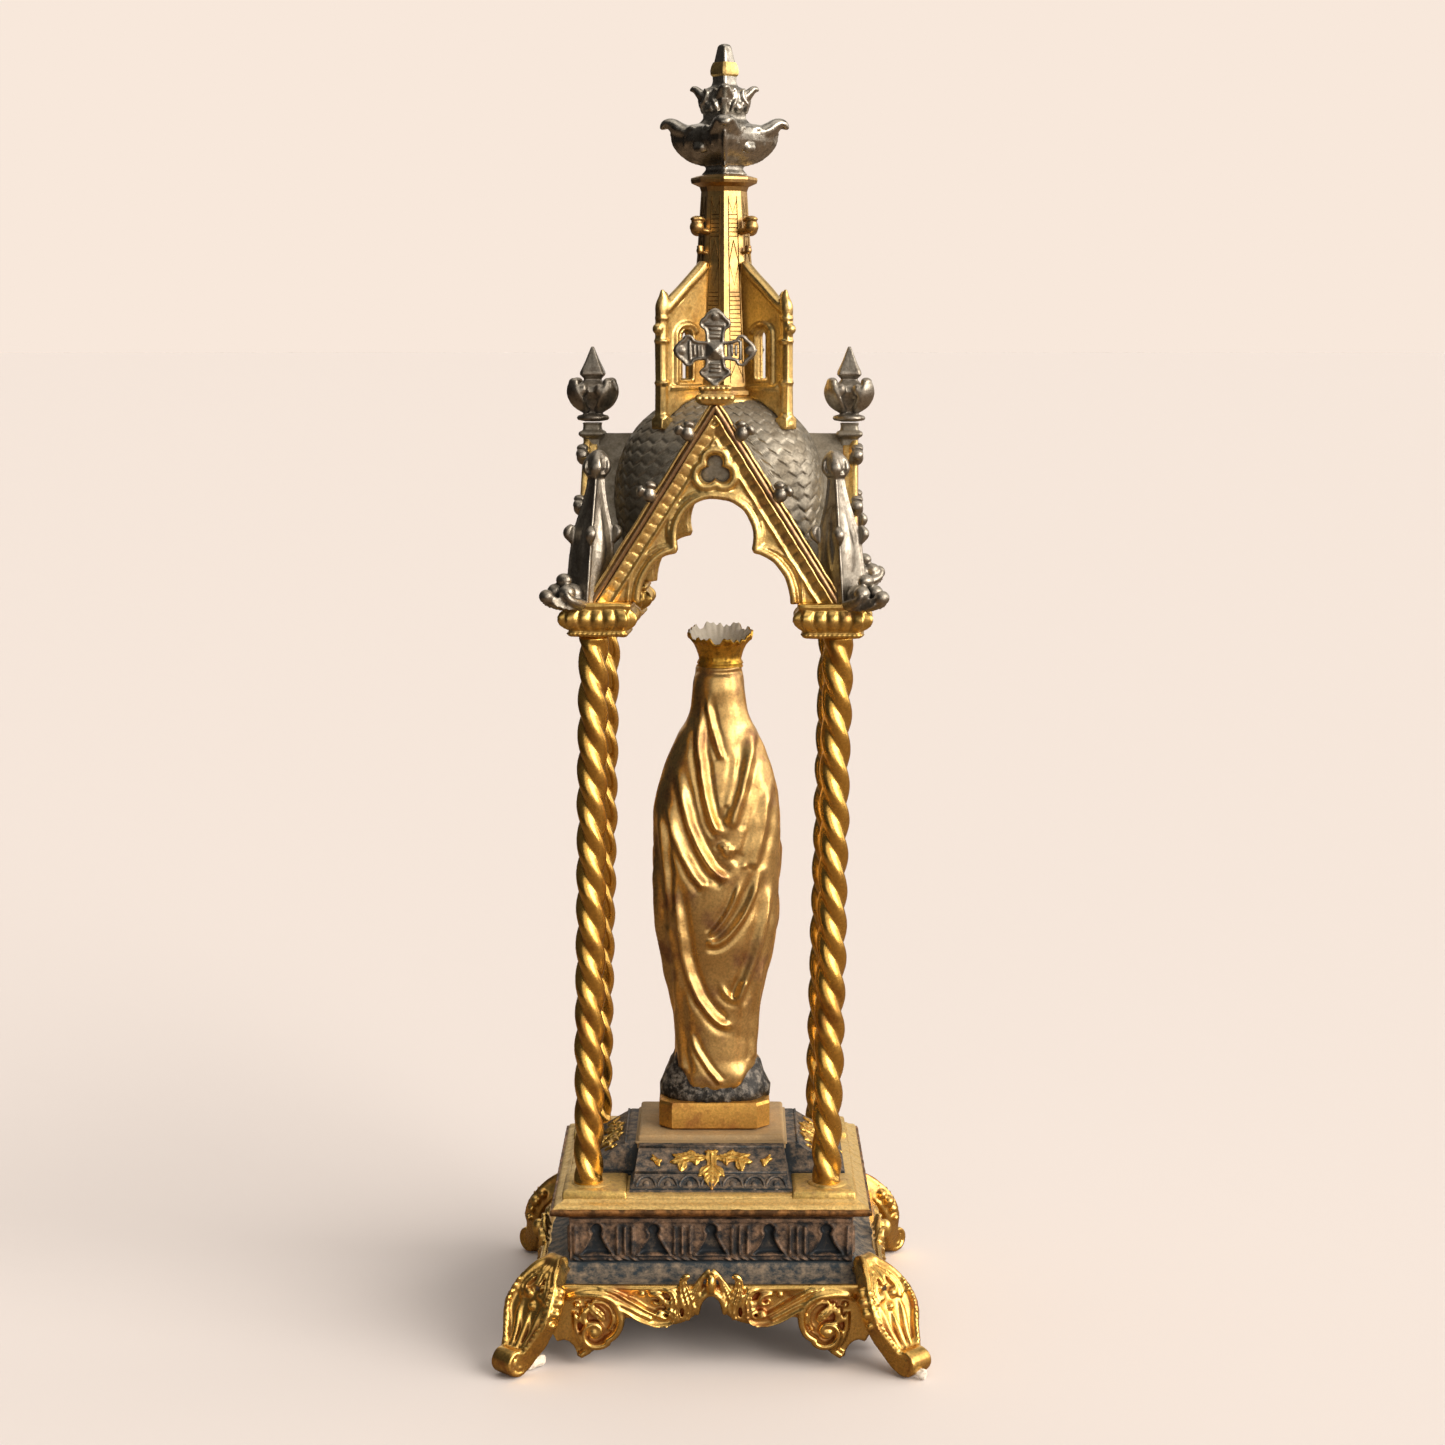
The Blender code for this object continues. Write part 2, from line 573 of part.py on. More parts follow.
def build_column(name, sign_x, sign_y):
    """Three strands twisted to the left, between two plain ends."""
    foot, head = column_foot(sign_x, sign_y), column_head(sign_x, sign_y)
    turns = COLUMN_HEIGHT / COLUMN_PITCH
    rings = []
    for step in range(COLUMN_STEPS + 1):
        share = step / COLUMN_STEPS
        centre = foot.lerp(head, share)
        twist = -2 * math.pi * turns * share
        ring = []
        for i in range(2 * COLUMN_STRANDS):
            radius = COLUMN_RADIUS if i % 2 == 0 else COLUMN_RADIUS - COLUMN_GROOVE
            angle = twist + math.pi * i / COLUMN_STRANDS
            ring.append(centre + Vector((radius * math.cos(angle), radius * math.sin(angle), 0.0)))
        rings.append(ring)
    return finish(name, loft(name, rings), GILT, 0.34, 1.0)


def gable_outline(side, inset, drop=0.0, foot=0.0):
    """Triangle of a gable or of the roof behind it, drawn in by an inset."""
    half = wall_half(side, GABLE_HALF_OUT)
    rise = GABLE_RISE_FRONT if side % 2 == 0 else GABLE_RISE_SIDE
    slope = rise / half
    shift = inset * math.hypot(1.0, slope) + drop
    low = GABLE_FOOT_Z - foot
    reach = (rise - shift + foot) / slope
    return [(-reach, low), (reach, low), (0.0, GABLE_FOOT_Z + rise - shift)]


def arch_outline(side):
    """Opening under a gable, with a round head and a quarter lobe each side."""
    half = wall_half(side, GABLE_HALF_OUT) - ARCH_PIER
    share = half / (COLUMN_SPAN_X / 2 + GABLE_HALF_OUT - ARCH_PIER)
    lobe = ARCH_LOBE
    rise = ARCH_RISE if side % 2 == 0 else ARCH_RISE - 0.0040
    centre_v = GABLE_FOOT_Z + rise - lobe
    upper = []
    for degrees in (-16, 18, 54):
        a = math.radians(degrees)
        upper.append((lobe * share * math.cos(a), centre_v + lobe * math.sin(a)))
    cusp_v = upper[0][1]
    lower = [(half, CAPITAL_FOOT_Z - 0.0040), (half, GABLE_FOOT_Z)]
    for degrees in (32, 64):
        a = math.radians(degrees)
        u = lobe * share * 0.86 + (half - lobe * share * 0.86) * math.cos(a)
        lower.append((u, GABLE_FOOT_Z + (cusp_v - GABLE_FOOT_Z) * math.sin(a)))
    right = lower + upper
    return right + [(0.0, centre_v + lobe)] + [(-u, v) for u, v in reversed(right)]


def trefoil_outline(side):
    """Three small lobes pierced through a gable over its arch."""
    rise = TREFOIL_RISE if side % 2 == 0 else TREFOIL_RISE - 0.0052
    centre_v = GABLE_FOOT_Z + rise
    outline = []
    for lobe_angle in (90, 210, 330):
        a = math.radians(lobe_angle)
        cu, cv = 1.1 * TREFOIL_LOBE * math.cos(a), centre_v + 1.1 * TREFOIL_LOBE * math.sin(a)
        for turn in (-70, 0, 70):
            b = math.radians(lobe_angle + turn)
            outline.append((cu + TREFOIL_LOBE * math.cos(b), cv + TREFOIL_LOBE * math.sin(b)))
    return outline


def dome_radius(height, out):
    """Half width of the dome at a height over its springing, side to side."""
    half = plan(out)[0]
    share = min(max(height / (DOME_RISE + out - DOME_OUT), 0.0), 1.0)
    return half * (1.0 - share ** 2.4) ** (1 / 2.4)


def dome_ring(height, out, z, sides=16):
    """Level ring of the dome, between a circle and a square in plan."""
    half_x = dome_radius(height, out)
    half_y = half_x * plan(out)[1] / plan(out)[0]
    ring = []
    for i in range(sides):
        a = 2 * math.pi * (i + 0.5) / sides
        grow = (abs(math.cos(a)) ** 3.4 + abs(math.sin(a)) ** 3.4) ** (-1 / 3.4)
        ring.append(Vector((half_x * grow * math.cos(a), half_y * grow * math.sin(a), z)))
    return ring


def dome_height(diagonal):
    """Height of the dome over its springing, at a distance from its axis along the diagonal."""
    low, high = 0.0, DOME_RISE
    for _ in range(30):
        middle = (low + high) / 2
        half_x = dome_radius(middle, DOME_OUT)
        half_y = half_x * plan(DOME_OUT)[1] / plan(DOME_OUT)[0]
        reach = (half_x + half_y) / 2 * 2 ** (0.5 - 1 / 3.4)
        if reach > diagonal:
            low = middle
        else:
            high = middle
    return low


def capital(name, sign_x, sign_y):
    """Square capital with three swelling lobes on each face."""
    x = sign_x * (COLUMN_SPAN_X / 2 - CAPITAL_IN)
    y = sign_y * (COLUMN_SPAN_Y / 2 - CAPITAL_IN)
    rows = ((CAPITAL_FOOT_HALF, 0.0, 0.0), (CAPITAL_HALF, 0.0046, 0.0012), (CAPITAL_HALF - 0.0014, 0.0094, 0.0))
    rings = []
    for half, rise, lobe in rows:
        ring = []
        for side in range(4):
            for step in (-0.86, 0.0, 0.86):
                bulge = half + lobe if step == 0.0 else half
                corner = Matrix.Rotation(side * math.pi / 2, 3, "Z") @ Vector((step * half, -bulge, 0.0))
                ring.append(corner + Vector((x, y, CAPITAL_FOOT_Z + rise * CAPITAL_HEIGHT / 0.0086)))
        rings.append(ring)
    return loft(name, rings)


def corner_leaf(name, sign_x, sign_y):
    """Curled leaf with two balls, which springs out from the top of a capital."""
    x, y = sign_x * (COLUMN_SPAN_X / 2 - CAPITAL_IN), sign_y * (COLUMN_SPAN_Y / 2 - CAPITAL_IN)
    z = GABLE_FOOT_Z
    path = ((0.0030, 0.0010, 0.0036), (0.0084, 0.0024, 0.0034),
            (0.0132, 0.0004, 0.0018), (0.0152, 0.0034, 0.0006))
    points = [(x + sign_x * out, y + sign_y * out, z + up) for out, up, _ in path]
    pieces = [tube(name, points, [radius for _, _, radius in path])]
    for shift in (-0.0019, 0.0019):
        centre = Vector((x + sign_x * 0.0066, y + sign_y * 0.0066, z + 0.0040))
        centre += Vector((-sign_y, sign_x, 0.0)) * shift
        pieces.append(stub(name + "_ball", centre, centre + Vector((sign_x, sign_y, 1.0)) * 0.0020, 0.0022))
    return pieces


def pinnacle(name, sign_x, sign_y):
    """Small obelisk on the corner of the canopy, with its edges to the walls and a bud on top."""
    x, y = sign_x * (COLUMN_SPAN_X / 2 + 0.0014), sign_y * (COLUMN_SPAN_Y / 2 + 0.0014)
    lean = PINNACLE_LEAN
    rows = ((PINNACLE_HALF, -0.0020), (PINNACLE_HALF * 0.92, 0.0080), (PINNACLE_HALF * 0.36, 0.0320),
            (PINNACLE_HALF * 0.66, 0.0340), (PINNACLE_HALF * 0.56, 0.0362), (PINNACLE_HALF * 0.10, 0.0400))
    rings = []
    for radius, up in rows:
        share = max(up, 0.0) / 0.0400
        centre = (x - sign_x * lean * share, y - sign_y * lean * share)
        rings.append(level_ring(radius, GABLE_FOOT_Z + up * PINNACLE_HEIGHT / 0.0400, 4, 0.0, centre))
    return loft(name, rings)


def gable_seat(side, apex):
    """Moulded foot of the cross on a front or rear gable, or the square post on a side gable."""
    distance = wall_distance(side, GABLE_OUT) - GABLE_WALL / 2
    frame = Matrix.Rotation(side * math.pi / 2, 4, "Z") @ Matrix.Translation((0.0, -distance, 0.0))
    if side % 2 == 0:
        half = CROSS_FOOT_HALF
        rows = ((half * 0.7, -0.0030), (half, -0.0002),
                (half, CROSS_FOOT_HEIGHT * 0.4), (half * 0.8, CROSS_FOOT_HEIGHT))
    else:
        rows = ((POST_HALF, -0.0100), (POST_HALF, POST_RISE))
    depth = 0.8 if side % 2 == 0 else 1.0
    rings = [[frame @ corner for corner in rectangle(half, half * depth, apex + up)] for half, up in rows]
    return loft("gable_seat", rings)


def build_canopy(parent):
    """Hollow roof with four gables, a tiled dome, capitals, pinnacles and crockets, one casting."""
    roof = []
    void = []
    for side in (0, 1):
        length = 2 * (wall_distance(side, GABLE_OUT) - GABLE_WALL / 2)
        roof.append(plate("roof", [gable_outline(side, 0.0, ROOF_DROP, 0.0004 * (1 + side))], length,
                          side_frame(side, 0.0)))
        inner = 2 * (wall_distance(side, GABLE_OUT) - GABLE_WALL)
        void.append(plate("attic", [gable_outline(side, ROOF_WALL, ROOF_DROP, 0.0080 + 0.0010 * side)], inner,
                          side_frame(side, 0.0)))
    levels = [share * DOME_RISE for share in (0.0, 0.36, 0.66, 0.85)]
    levels.append(DOME_RISE * DOME_SEAT_SHARE)
    outer = [dome_ring(0.0, DOME_OUT, GABLE_FOOT_Z + 0.0052)]
    outer += [dome_ring(h, DOME_OUT, DOME_SPRING_Z + h) for h in levels]
    roof.append(loft("dome", outer))
    inside = [dome_ring(0.0, DOME_OUT - DOME_WALL, GABLE_FOOT_Z - 0.0100, 12)]
    inside += [dome_ring(h, DOME_OUT - DOME_WALL, DOME_SPRING_Z + h, 12) for h in (levels[0], levels[1])]
    inside.append(dome_ring(levels[3], DOME_OUT - DOME_WALL, DOME_SPRING_Z + levels[3], 12))
    void.append(loft("vault", inside))
    pieces = []
    for side in range(4):
        middle = wall_distance(side, GABLE_OUT) - GABLE_WALL / 2
        frame = side_frame(side, middle)
        roof.append(plate("gable", [gable_outline(side, 0.0)], GABLE_WALL, frame))
        void.append(plate("arch", [arch_outline(side)], GABLE_WALL * 2.6, frame))
        void.append(plate("trefoil", [trefoil_outline(side)], GABLE_WALL * 2.6, frame))
        _, foot, apex = gable_outline(side, 0.0)
        face = side_frame(side, middle + GABLE_WALL / 2)
        for sign in (-1, 1):
            low = face @ Vector((sign * foot[0], foot[1], 0.0))
            high = face @ Vector((0.0, apex[1] - 0.0002, 0.0))
            pieces.append(tube("rake", [low, high], [RAKE_ROLL, RAKE_ROLL]))
            for share in (0.30, 0.66):
                spot = low.lerp(high, share)
                rise = face.to_3x3() @ Vector((sign * CROCKET_OUT, CROCKET_UP, 0.0))
                pieces.append(crocket("crocket", spot, spot + rise, CROCKET_RADIUS))
        pieces.append(gable_seat(side, apex[1]))
    for sign_x in (-1, 1):
        for sign_y in (-1, 1):
            pieces.append(capital("capital", sign_x, sign_y))
            pieces.append(pinnacle("pinnacle", sign_x, sign_y))
            pieces += corner_leaf("corner_leaf", sign_x, sign_y)
    body = boolean(roof[0], roof[1:], "UNION")
    body = boolean(body, void, "DIFFERENCE")
    body = boolean(body, pieces, "UNION")
    return finish("canopy", body, GILT, 0.40, 1.0, parent)


def build_spire(parent):
    """Eight-sided spire on the dome, held by four pierced buttress fins, one casting."""
    foot = SPIRE_FOOT_Z
    start = -math.pi / 2
    ledge = SPIRE_FOOT_RADIUS + 0.0012
    neck = SPIRE_HEIGHT - ABACUS_HEIGHT
    stages = ((ledge, 0.0), (ledge, 0.0014), (SPIRE_FOOT_RADIUS, 0.0022),
              (SPIRE_HEAD_RADIUS + 0.0014, FIN_HEAD), (SPIRE_HEAD_RADIUS, neck - 0.0006),
              (ABACUS_RADIUS, neck + ABACUS_HEIGHT * 0.4), (ABACUS_RADIUS, neck + ABACUS_HEIGHT * 0.6),
              (ABACUS_RADIUS - 0.0024, SPIRE_HEIGHT))
    centre = (SPIRE_SHIFT, 0.0)
    body = loft("spire_body", [level_ring(radius, foot + up, 8, start, centre) for radius, up in stages])
    reach = FIN_REACH
    reaches = (SPIRE_FOOT_RADIUS * 0.5, SPIRE_FOOT_RADIUS + 0.0010, reach * 0.66, reach * 0.84, reach)
    lower = []
    for r in reaches:
        dome = DOME_SPRING_Z + dome_height(max(r - SPIRE_SHIFT, 0.0))
        lower.append((r, min(foot + 0.0002, dome + JOINT_GAP * 2)))
    lower[0] = (lower[0][0], foot + 0.0002)
    eaves = foot + FIN_EAVES
    upper = [(reach, eaves - 0.0016), (reach - 0.0014, eaves), (SPIRE_FOOT_RADIUS * 0.5, foot + FIN_HEAD)]
    slot_in, slot_out = reach * 0.53, reach * 0.73
    middle, half = (slot_in + slot_out) / 2, (slot_out - slot_in) / 2
    sill, springing = foot + 0.0052, foot + 0.0166
    shoulder, crown = half * 0.6, springing + half * 0.8
    slot = [(slot_in, sill), (slot_out, sill), (slot_out, springing),
            (middle + shoulder, crown), (middle - shoulder, crown), (slot_in, springing)]
    pieces = []
    for quarter in range(4):
        turn = Matrix.Rotation(math.pi / 4 + quarter * math.pi / 2, 4, "Z")
        place = Matrix.Translation((SPIRE_SHIFT, 0.0, 0.0)) @ turn
        wall = place @ Matrix(((1, 0, 0, 0), (0, 0, -1, 0), (0, 1, 0, 0), (0, 0, 0, 1)))
        pieces.append(plate("fin", [lower + upper, slot], FIN_THICK, wall))
        r = reach - FIN_COLONNETTE * 1.3
        base = place @ Vector((r, 0.0, lower[-1][1] + 0.0016))
        top = place @ Vector((r, 0.0, eaves - 0.0010))
        tip = place @ Vector((r, 0.0, eaves + 0.0030))
        pieces.append(tube("colonnette", [base, top, tip], [FIN_COLONNETTE, FIN_COLONNETTE, 0.0003]))
        for radius, out, up in SPIRE_CROCKETS:
            root, bud = place @ Vector((0.0056, 0.0, foot + up - 0.0012)), place @ Vector((out, 0.0, foot + up))
            pieces.append(stub("crocket", root, bud, radius))
    body = boolean(body, pieces, "UNION")
    return finish("spire", body, GILT, 0.36, 1.0, parent)


def turned(name, profile, steps, foot, turn=0.0, centre=(0.0, 0.0)):
    """Piece turned from a profile of radius and height, with few flat sides."""
    bm = bmesh.new()
    points = [bm.verts.new((radius, 0.0, up)) for radius, up in reversed(profile)]
    for high, low in zip(points, points[1:]):
        bm.edges.new((high, low))
    mesh = bpy.data.meshes.new(name)
    bm.to_mesh(mesh)
    bm.free()
    obj = bpy.data.objects.new(name, mesh)
    bpy.context.scene.collection.objects.link(obj)
    screw = obj.modifiers.new("screw", "SCREW")
    screw.steps = steps
    screw.render_steps = steps
    screw.use_merge_vertices = True
    screw.merge_threshold = WELD
    obj.matrix_world = Matrix.Translation((centre[0], centre[1], foot)) @ Matrix.Rotation(turn, 4, "Z")
    bpy.context.view_layer.update()
    return baked(obj)


def curled_leaf(name, path, foot, angle, centre=(0.0, 0.0)):
    """Leaf that springs from a stem and curls over at its tip. Path rows are radius, height, thickness."""
    x, y = centre
    points = [(x + r * math.cos(angle), y + r * math.sin(angle), foot + up) for r, up, _ in path]
    return tube(name, points, [thick for _, _, thick in path])


def build_finial(parent):
    """Top ornament of the spire: a square stem with two tiers of four curled leaves and a blunt point."""
    scale = FINIAL_HEIGHT / 0.0350
    spread = FINIAL_REACH / 0.0158
    profile = ((0.0, 0.0), (0.0052, 0.0), (0.0048, 0.0030), (0.0086, 0.0062), (0.0080, 0.0108),
               (0.0054, 0.0152), (0.0064, 0.0196), (0.0034, 0.0250),
               (0.0038, 0.0264), (0.0037, 0.0298), (0.0015, 0.0350), (0.0, 0.0350))
    foot = FINIAL_FOOT_Z
    centre = (SPIRE_SHIFT, 0.0)
    body = turned("finial_stem", [(r, up * scale) for r, up in profile], 4, foot, 0.0, centre)
    lower = ((0.0040, 0.0052, 0.0030), (0.0112, 0.0070, 0.0038), (0.0156, 0.0138, 0.0012))
    upper = ((0.0030, 0.0180, 0.0018), (0.0062, 0.0192, 0.0022), (0.0084, 0.0234, 0.0006))
    pieces = []
    for quarter in range(4):
        angle = quarter * math.pi / 2
        for tier in (lower, upper):
            path = [(r * spread, up * scale, thick) for r, up, thick in tier]
            pieces.append(curled_leaf("finial_leaf", path, foot, angle, centre))
    body = boolean(body, pieces, "UNION")
    return finish("finial", body, SILVERED, 0.45, 1.0, parent)


def build_side_finial(name, side, parent):
    """Small square finial on the post of a side gable: ring, cup of four leaves and a pyramid."""
    scale = SIDE_FINIAL_HEIGHT / 0.0207
    profile = ((0.0, 0.0), (0.0044, 0.0), (0.0048, 0.0014), (0.0044, 0.0030), (0.0032, 0.0042),
               (0.0038, 0.0070), (0.0050, 0.0120), (0.0026, 0.0140), (0.0026, 0.0152), (0.0038, 0.0158),
               (0.0004, 0.0207), (0.0, 0.0207))
    foot = SIDE_FINIAL_FOOT_Z
    x = (1 if side == 1 else -1) * (wall_distance(side, GABLE_OUT) - GABLE_WALL / 2)
    body = turned(name + "_stem", [(r, up * scale) for r, up in profile], 4, foot, math.pi / 4, (x, 0.0))
    tier = ((0.0024, 0.0058, 0.0022), (0.0078, 0.0128, 0.0012))
    spread = SIDE_FINIAL_REACH / 0.0066
    path = [(r * spread, up * scale, thick) for r, up, thick in tier]
    pieces = [curled_leaf("cup_leaf", path, foot, math.pi / 4 + quarter * math.pi / 2, (x, 0.0))
              for quarter in range(4)]
    body = boolean(body, pieces, "UNION")
    return finish(name, body, SILVERED, 0.45, 1.0, parent)


def build_cross(name, side, parent):
    """Gable cross with pointed lobed ends and a pyramid boss."""
    half = CROSS_SPAN / 2
    drop = CROSS_HEIGHT - half
    arm = ((0.0020, 0.0020), (half * 0.44, 0.0020), (half * 0.60, 0.0034), (half * 0.80, 0.0032))
    outline = []
    for quarter, tip in enumerate((half, half, half, drop)):
        angle = quarter * math.pi / 2
        rows = arm if tip == half else ((0.0020, 0.0020), (drop * 0.70, 0.0020), (drop, 0.0027))
        side_a = [(along, -across) for along, across in rows]
        side_b = [(along, across) for along, across in reversed(rows)]
        shape = side_a + ([(tip, 0.0)] if tip == half else []) + side_b[:-1]
        for along, across in shape:
            outline.append((along * math.cos(angle) - across * math.sin(angle),
                            along * math.sin(angle) + across * math.cos(angle)))
    distance = wall_distance(side, GABLE_OUT) - GABLE_WALL / 2
    centre = CROSS_FOOT_Z + drop
    frame = side_frame(side, distance) @ Matrix.Translation((0.0, centre, 0.0))
    body = plate(name, [outline], CROSS_THICK, frame)
    bpy.ops.mesh.primitive_cone_add(vertices=4, radius1=0.0026, depth=0.0030)
    boss = bpy.context.object
    boss.data.transform(frame @ Matrix.Translation((0.0, 0.0, CROSS_THICK / 2 + 0.0009)))
    body = boolean(body, [boss], "UNION")
    return finish(name, body, SILVERED, 0.42, 1.0, parent)


# Rows of the figure in thousandths of its height: height, half width, depth over width, sideways place
FIGURE_ROWS = (
    (46, 110, 0.80, 0), (72, 108, 0.80, 0), (101, 103, 0.80, 1), (123, 94, 0.82, 2), (145, 88, 0.86, 3),
    (198, 85, 0.88, 3), (246, 91, 0.86, 3), (302, 103, 0.82, 3), (347, 114, 0.78, 6), (439, 126, 0.74, 2),
    (553, 127, 0.72, 4), (650, 126, 0.70, 4), (701, 116, 0.72, 5), (751, 98, 0.76, 5), (789, 81, 0.84, 5),
    (816, 62, 0.98, 6), (848, 53, 1.04, 8), (882, 49, 1.06, 9), (921, 41, 1.04, 11),
)
FIGURE_CROWN = ((936, 44), (957, 51), (984, 60), (982, 52), (950, 36))
FIGURE_SIDES = 20
FOLDS_FROM, FOLDS_TO = 128, 880     # the part of its height over which the mantle hangs in folds
FOLD_COUNT = 8
FOLD_DROOP = 84                     # how far a fold hangs lower in the middle than at the sides
FOLD_CREST, FOLD_HOLLOW = 15, -11
HANDS_FROM, HANDS_TO = 610, 770     # the hands joined under the mantle in front
HANDS_LIFT = 20
FACE_FROM, FACE_TO = 800, 925


def figure_row(share):
    """Half width, depth ratio and sideways place of the figure at a share of its height."""
    rows = FIGURE_ROWS
    for low, high in zip(rows, rows[1:]):
        if share <= high[0]:
            t = (share - low[0]) / (high[0] - low[0])
            return [a + (b - a) * t for a, b in zip(low[1:], high[1:])]
    return list(rows[-1][1:])


def figure_ring(level, fold, scallop=0.0):
    """Ring round the draped figure. It hangs down in a point at the back and in front, as a fold of
    the mantle does, and stands out on a crest or in on a hollow."""
    unit = FIGURE_HEIGHT / 1000
    hung = min(max((level - FOLDS_FROM) / (FOLDS_TO - FOLDS_FROM), 0.0), 1.0)
    slack = math.sin(math.pi * hung)
    ring = []
    for i in range(FIGURE_SIDES):
        a = 2 * math.pi * i / FIGURE_SIDES
        from_back = abs(math.remainder(a + math.pi / 2, 2 * math.pi)) / math.pi
        from_side = abs(math.remainder(a, math.pi)) / (math.pi / 2)
        share = level - FOLD_DROOP * slack * (2 * from_side - 1)
        half, ratio, sway = figure_row(share)
        grow = fold * slack ** 0.5 * (0.35 + 0.65 * from_side) + scallop * math.sin(5 * a)
        if HANDS_FROM < share < HANDS_TO:
            swell = math.sin(math.pi * (share - HANDS_FROM) / (HANDS_TO - HANDS_FROM))
            grow += HANDS_LIFT * swell * max(0.0, 4 * from_back - 3)
        x = (half + grow) * math.cos(a) + sway
        y = (half * ratio + grow) * math.sin(a)
        ring.append(Vector((FIGURE_SHIFT + x * unit, y * unit, FIGURE_FOOT_Z + share * unit)))
    return ring


def build_figure():
    """Crowned figure in a mantle on a low rock and a chamfered plinth, cast in one."""
    unit = FIGURE_HEIGHT / 1000
    rings = [figure_ring(46, 0.0, 3.0), figure_ring(88, 0.0, 4.0), figure_ring(FOLDS_FROM, 0.0)]
    step = (FOLDS_TO - FOLDS_FROM) / (2 * FOLD_COUNT + 1)
    for i in range(2 * FOLD_COUNT):
        rings.append(figure_ring(FOLDS_FROM + (i + 1) * step, FOLD_CREST if i % 2 else FOLD_HOLLOW))
    rings += [figure_ring(FOLDS_TO, 0.0), figure_ring(921, 0.0)]
    for index, (share, radius) in enumerate(FIGURE_CROWN):
        ring = []
        for i in range(FIGURE_SIDES):
            a = 2 * math.pi * i / FIGURE_SIDES
            lift = 8 * math.cos(FIGURE_SIDES / 2 * a) if index in (2, 3) else 0.0
            x = FIGURE_SHIFT + (11 + radius * math.cos(a)) * unit
            ring.append(Vector((x, radius * math.sin(a) * unit, FIGURE_FOOT_Z + (share + lift) * unit)))
        rings.append(ring)
    body = loft("figure_body", rings)
    face_z = FIGURE_FOOT_Z + (FACE_FROM + FACE_TO) / 2 * unit
    face = Vector((FIGURE_SHIFT + 9 * unit, 0.0, face_z))
    chin = face + Vector((0.0, 48 * unit, -38 * unit))
    brow = face + Vector((0.0, 46 * unit, 34 * unit))
    x, y, cut = FIGURE_PLINTH_HALF_X, FIGURE_PLINTH_HALF_Y, FIGURE_PLINTH_CHAMFER
    corners = [(x - cut, -y), (x, -y + cut), (x, y - cut), (x - cut, y),
               (-x + cut, y), (-x, y - cut), (-x, -y + cut), (-x + cut, -y)]
    height = FIGURE_PLINTH_HEIGHT
    frame = Matrix.Translation((FIGURE_SHIFT, 0.0, FIGURE_FOOT_Z + height / 2))
    pieces = [plate("figure_plinth", [corners], height, frame),
              tube("face", [chin, face + Vector((0.0, 50 * unit, 0.0)), brow], [14 * unit, 24 * unit, 18 * unit])]
    body = boolean(body, pieces, "UNION")
    return finish("statue", body, GILT, 0.36, 1.0)


canopy_seat = bpy.data.objects.new("canopy_seat", None)
shrine.objects.link(canopy_seat)
canopy_seat.location = (CANOPY_SHIFT, 0.0, 0.0)
canopy_seat.rotation_euler = (0.0, 0.0, CANOPY_TURN)

build_stand()
build_base_plate()
for sign_y, row in ((-1, "front"), (1, "rear")):
    for sign_x, hand in ((-1, "left"), (1, "right")):
        build_column(f"column_{row}_{hand}", sign_x, sign_y)
build_canopy(canopy_seat)
build_spire(canopy_seat)
build_finial(canopy_seat)
build_cross("cross_front", 0, canopy_seat)
build_cross("cross_rear", 2, canopy_seat)
build_side_finial("side_finial_right", 1, canopy_seat)
build_side_finial("side_finial_left", 3, canopy_seat)
build_figure()
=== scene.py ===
"""Looks of a small gilt metal altarpiece, dressed section by section in the order in which it is
put together. Sizes here are millimetres, turned to metres when a mesh is made."""
import math
import random

import bmesh
import bpy
import numpy as np
from mathutils import Matrix, Vector


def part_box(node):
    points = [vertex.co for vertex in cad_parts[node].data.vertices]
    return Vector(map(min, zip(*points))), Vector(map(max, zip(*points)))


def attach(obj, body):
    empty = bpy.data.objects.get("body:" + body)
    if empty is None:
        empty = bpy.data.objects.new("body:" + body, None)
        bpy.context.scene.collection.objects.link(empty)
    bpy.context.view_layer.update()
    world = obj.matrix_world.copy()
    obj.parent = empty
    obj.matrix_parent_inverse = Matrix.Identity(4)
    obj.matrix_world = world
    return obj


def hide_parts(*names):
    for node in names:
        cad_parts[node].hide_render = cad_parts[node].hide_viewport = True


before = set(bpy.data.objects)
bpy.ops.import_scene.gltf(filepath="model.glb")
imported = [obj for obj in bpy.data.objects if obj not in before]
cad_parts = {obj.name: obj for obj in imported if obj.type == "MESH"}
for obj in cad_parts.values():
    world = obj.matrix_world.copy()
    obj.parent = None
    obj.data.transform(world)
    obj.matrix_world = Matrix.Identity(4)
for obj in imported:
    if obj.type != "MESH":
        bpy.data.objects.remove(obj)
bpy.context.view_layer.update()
MM = 0.001


# The view: a long lens a little above the middle of the object, looking slightly down at its -Y side,
# over a plain pale floor in soft studio light that comes mostly from the right.
CAMERA_PLACE = (3.07, -740.0, 273.9)
CAMERA_DOWN = 8.063                  # degrees below level
PICTURE_SIDE = 1445                  # pixels
FOCAL_PIXELS = 2700
SENSOR = 36.0
BACKDROP = "#F8E8DB"
FLOOR_RADIUS = 60000.0
LAMP_COLOUR = "#FFF4E6"
ROOM_LIGHT = 0.06                    # brightness of the walls of the studio
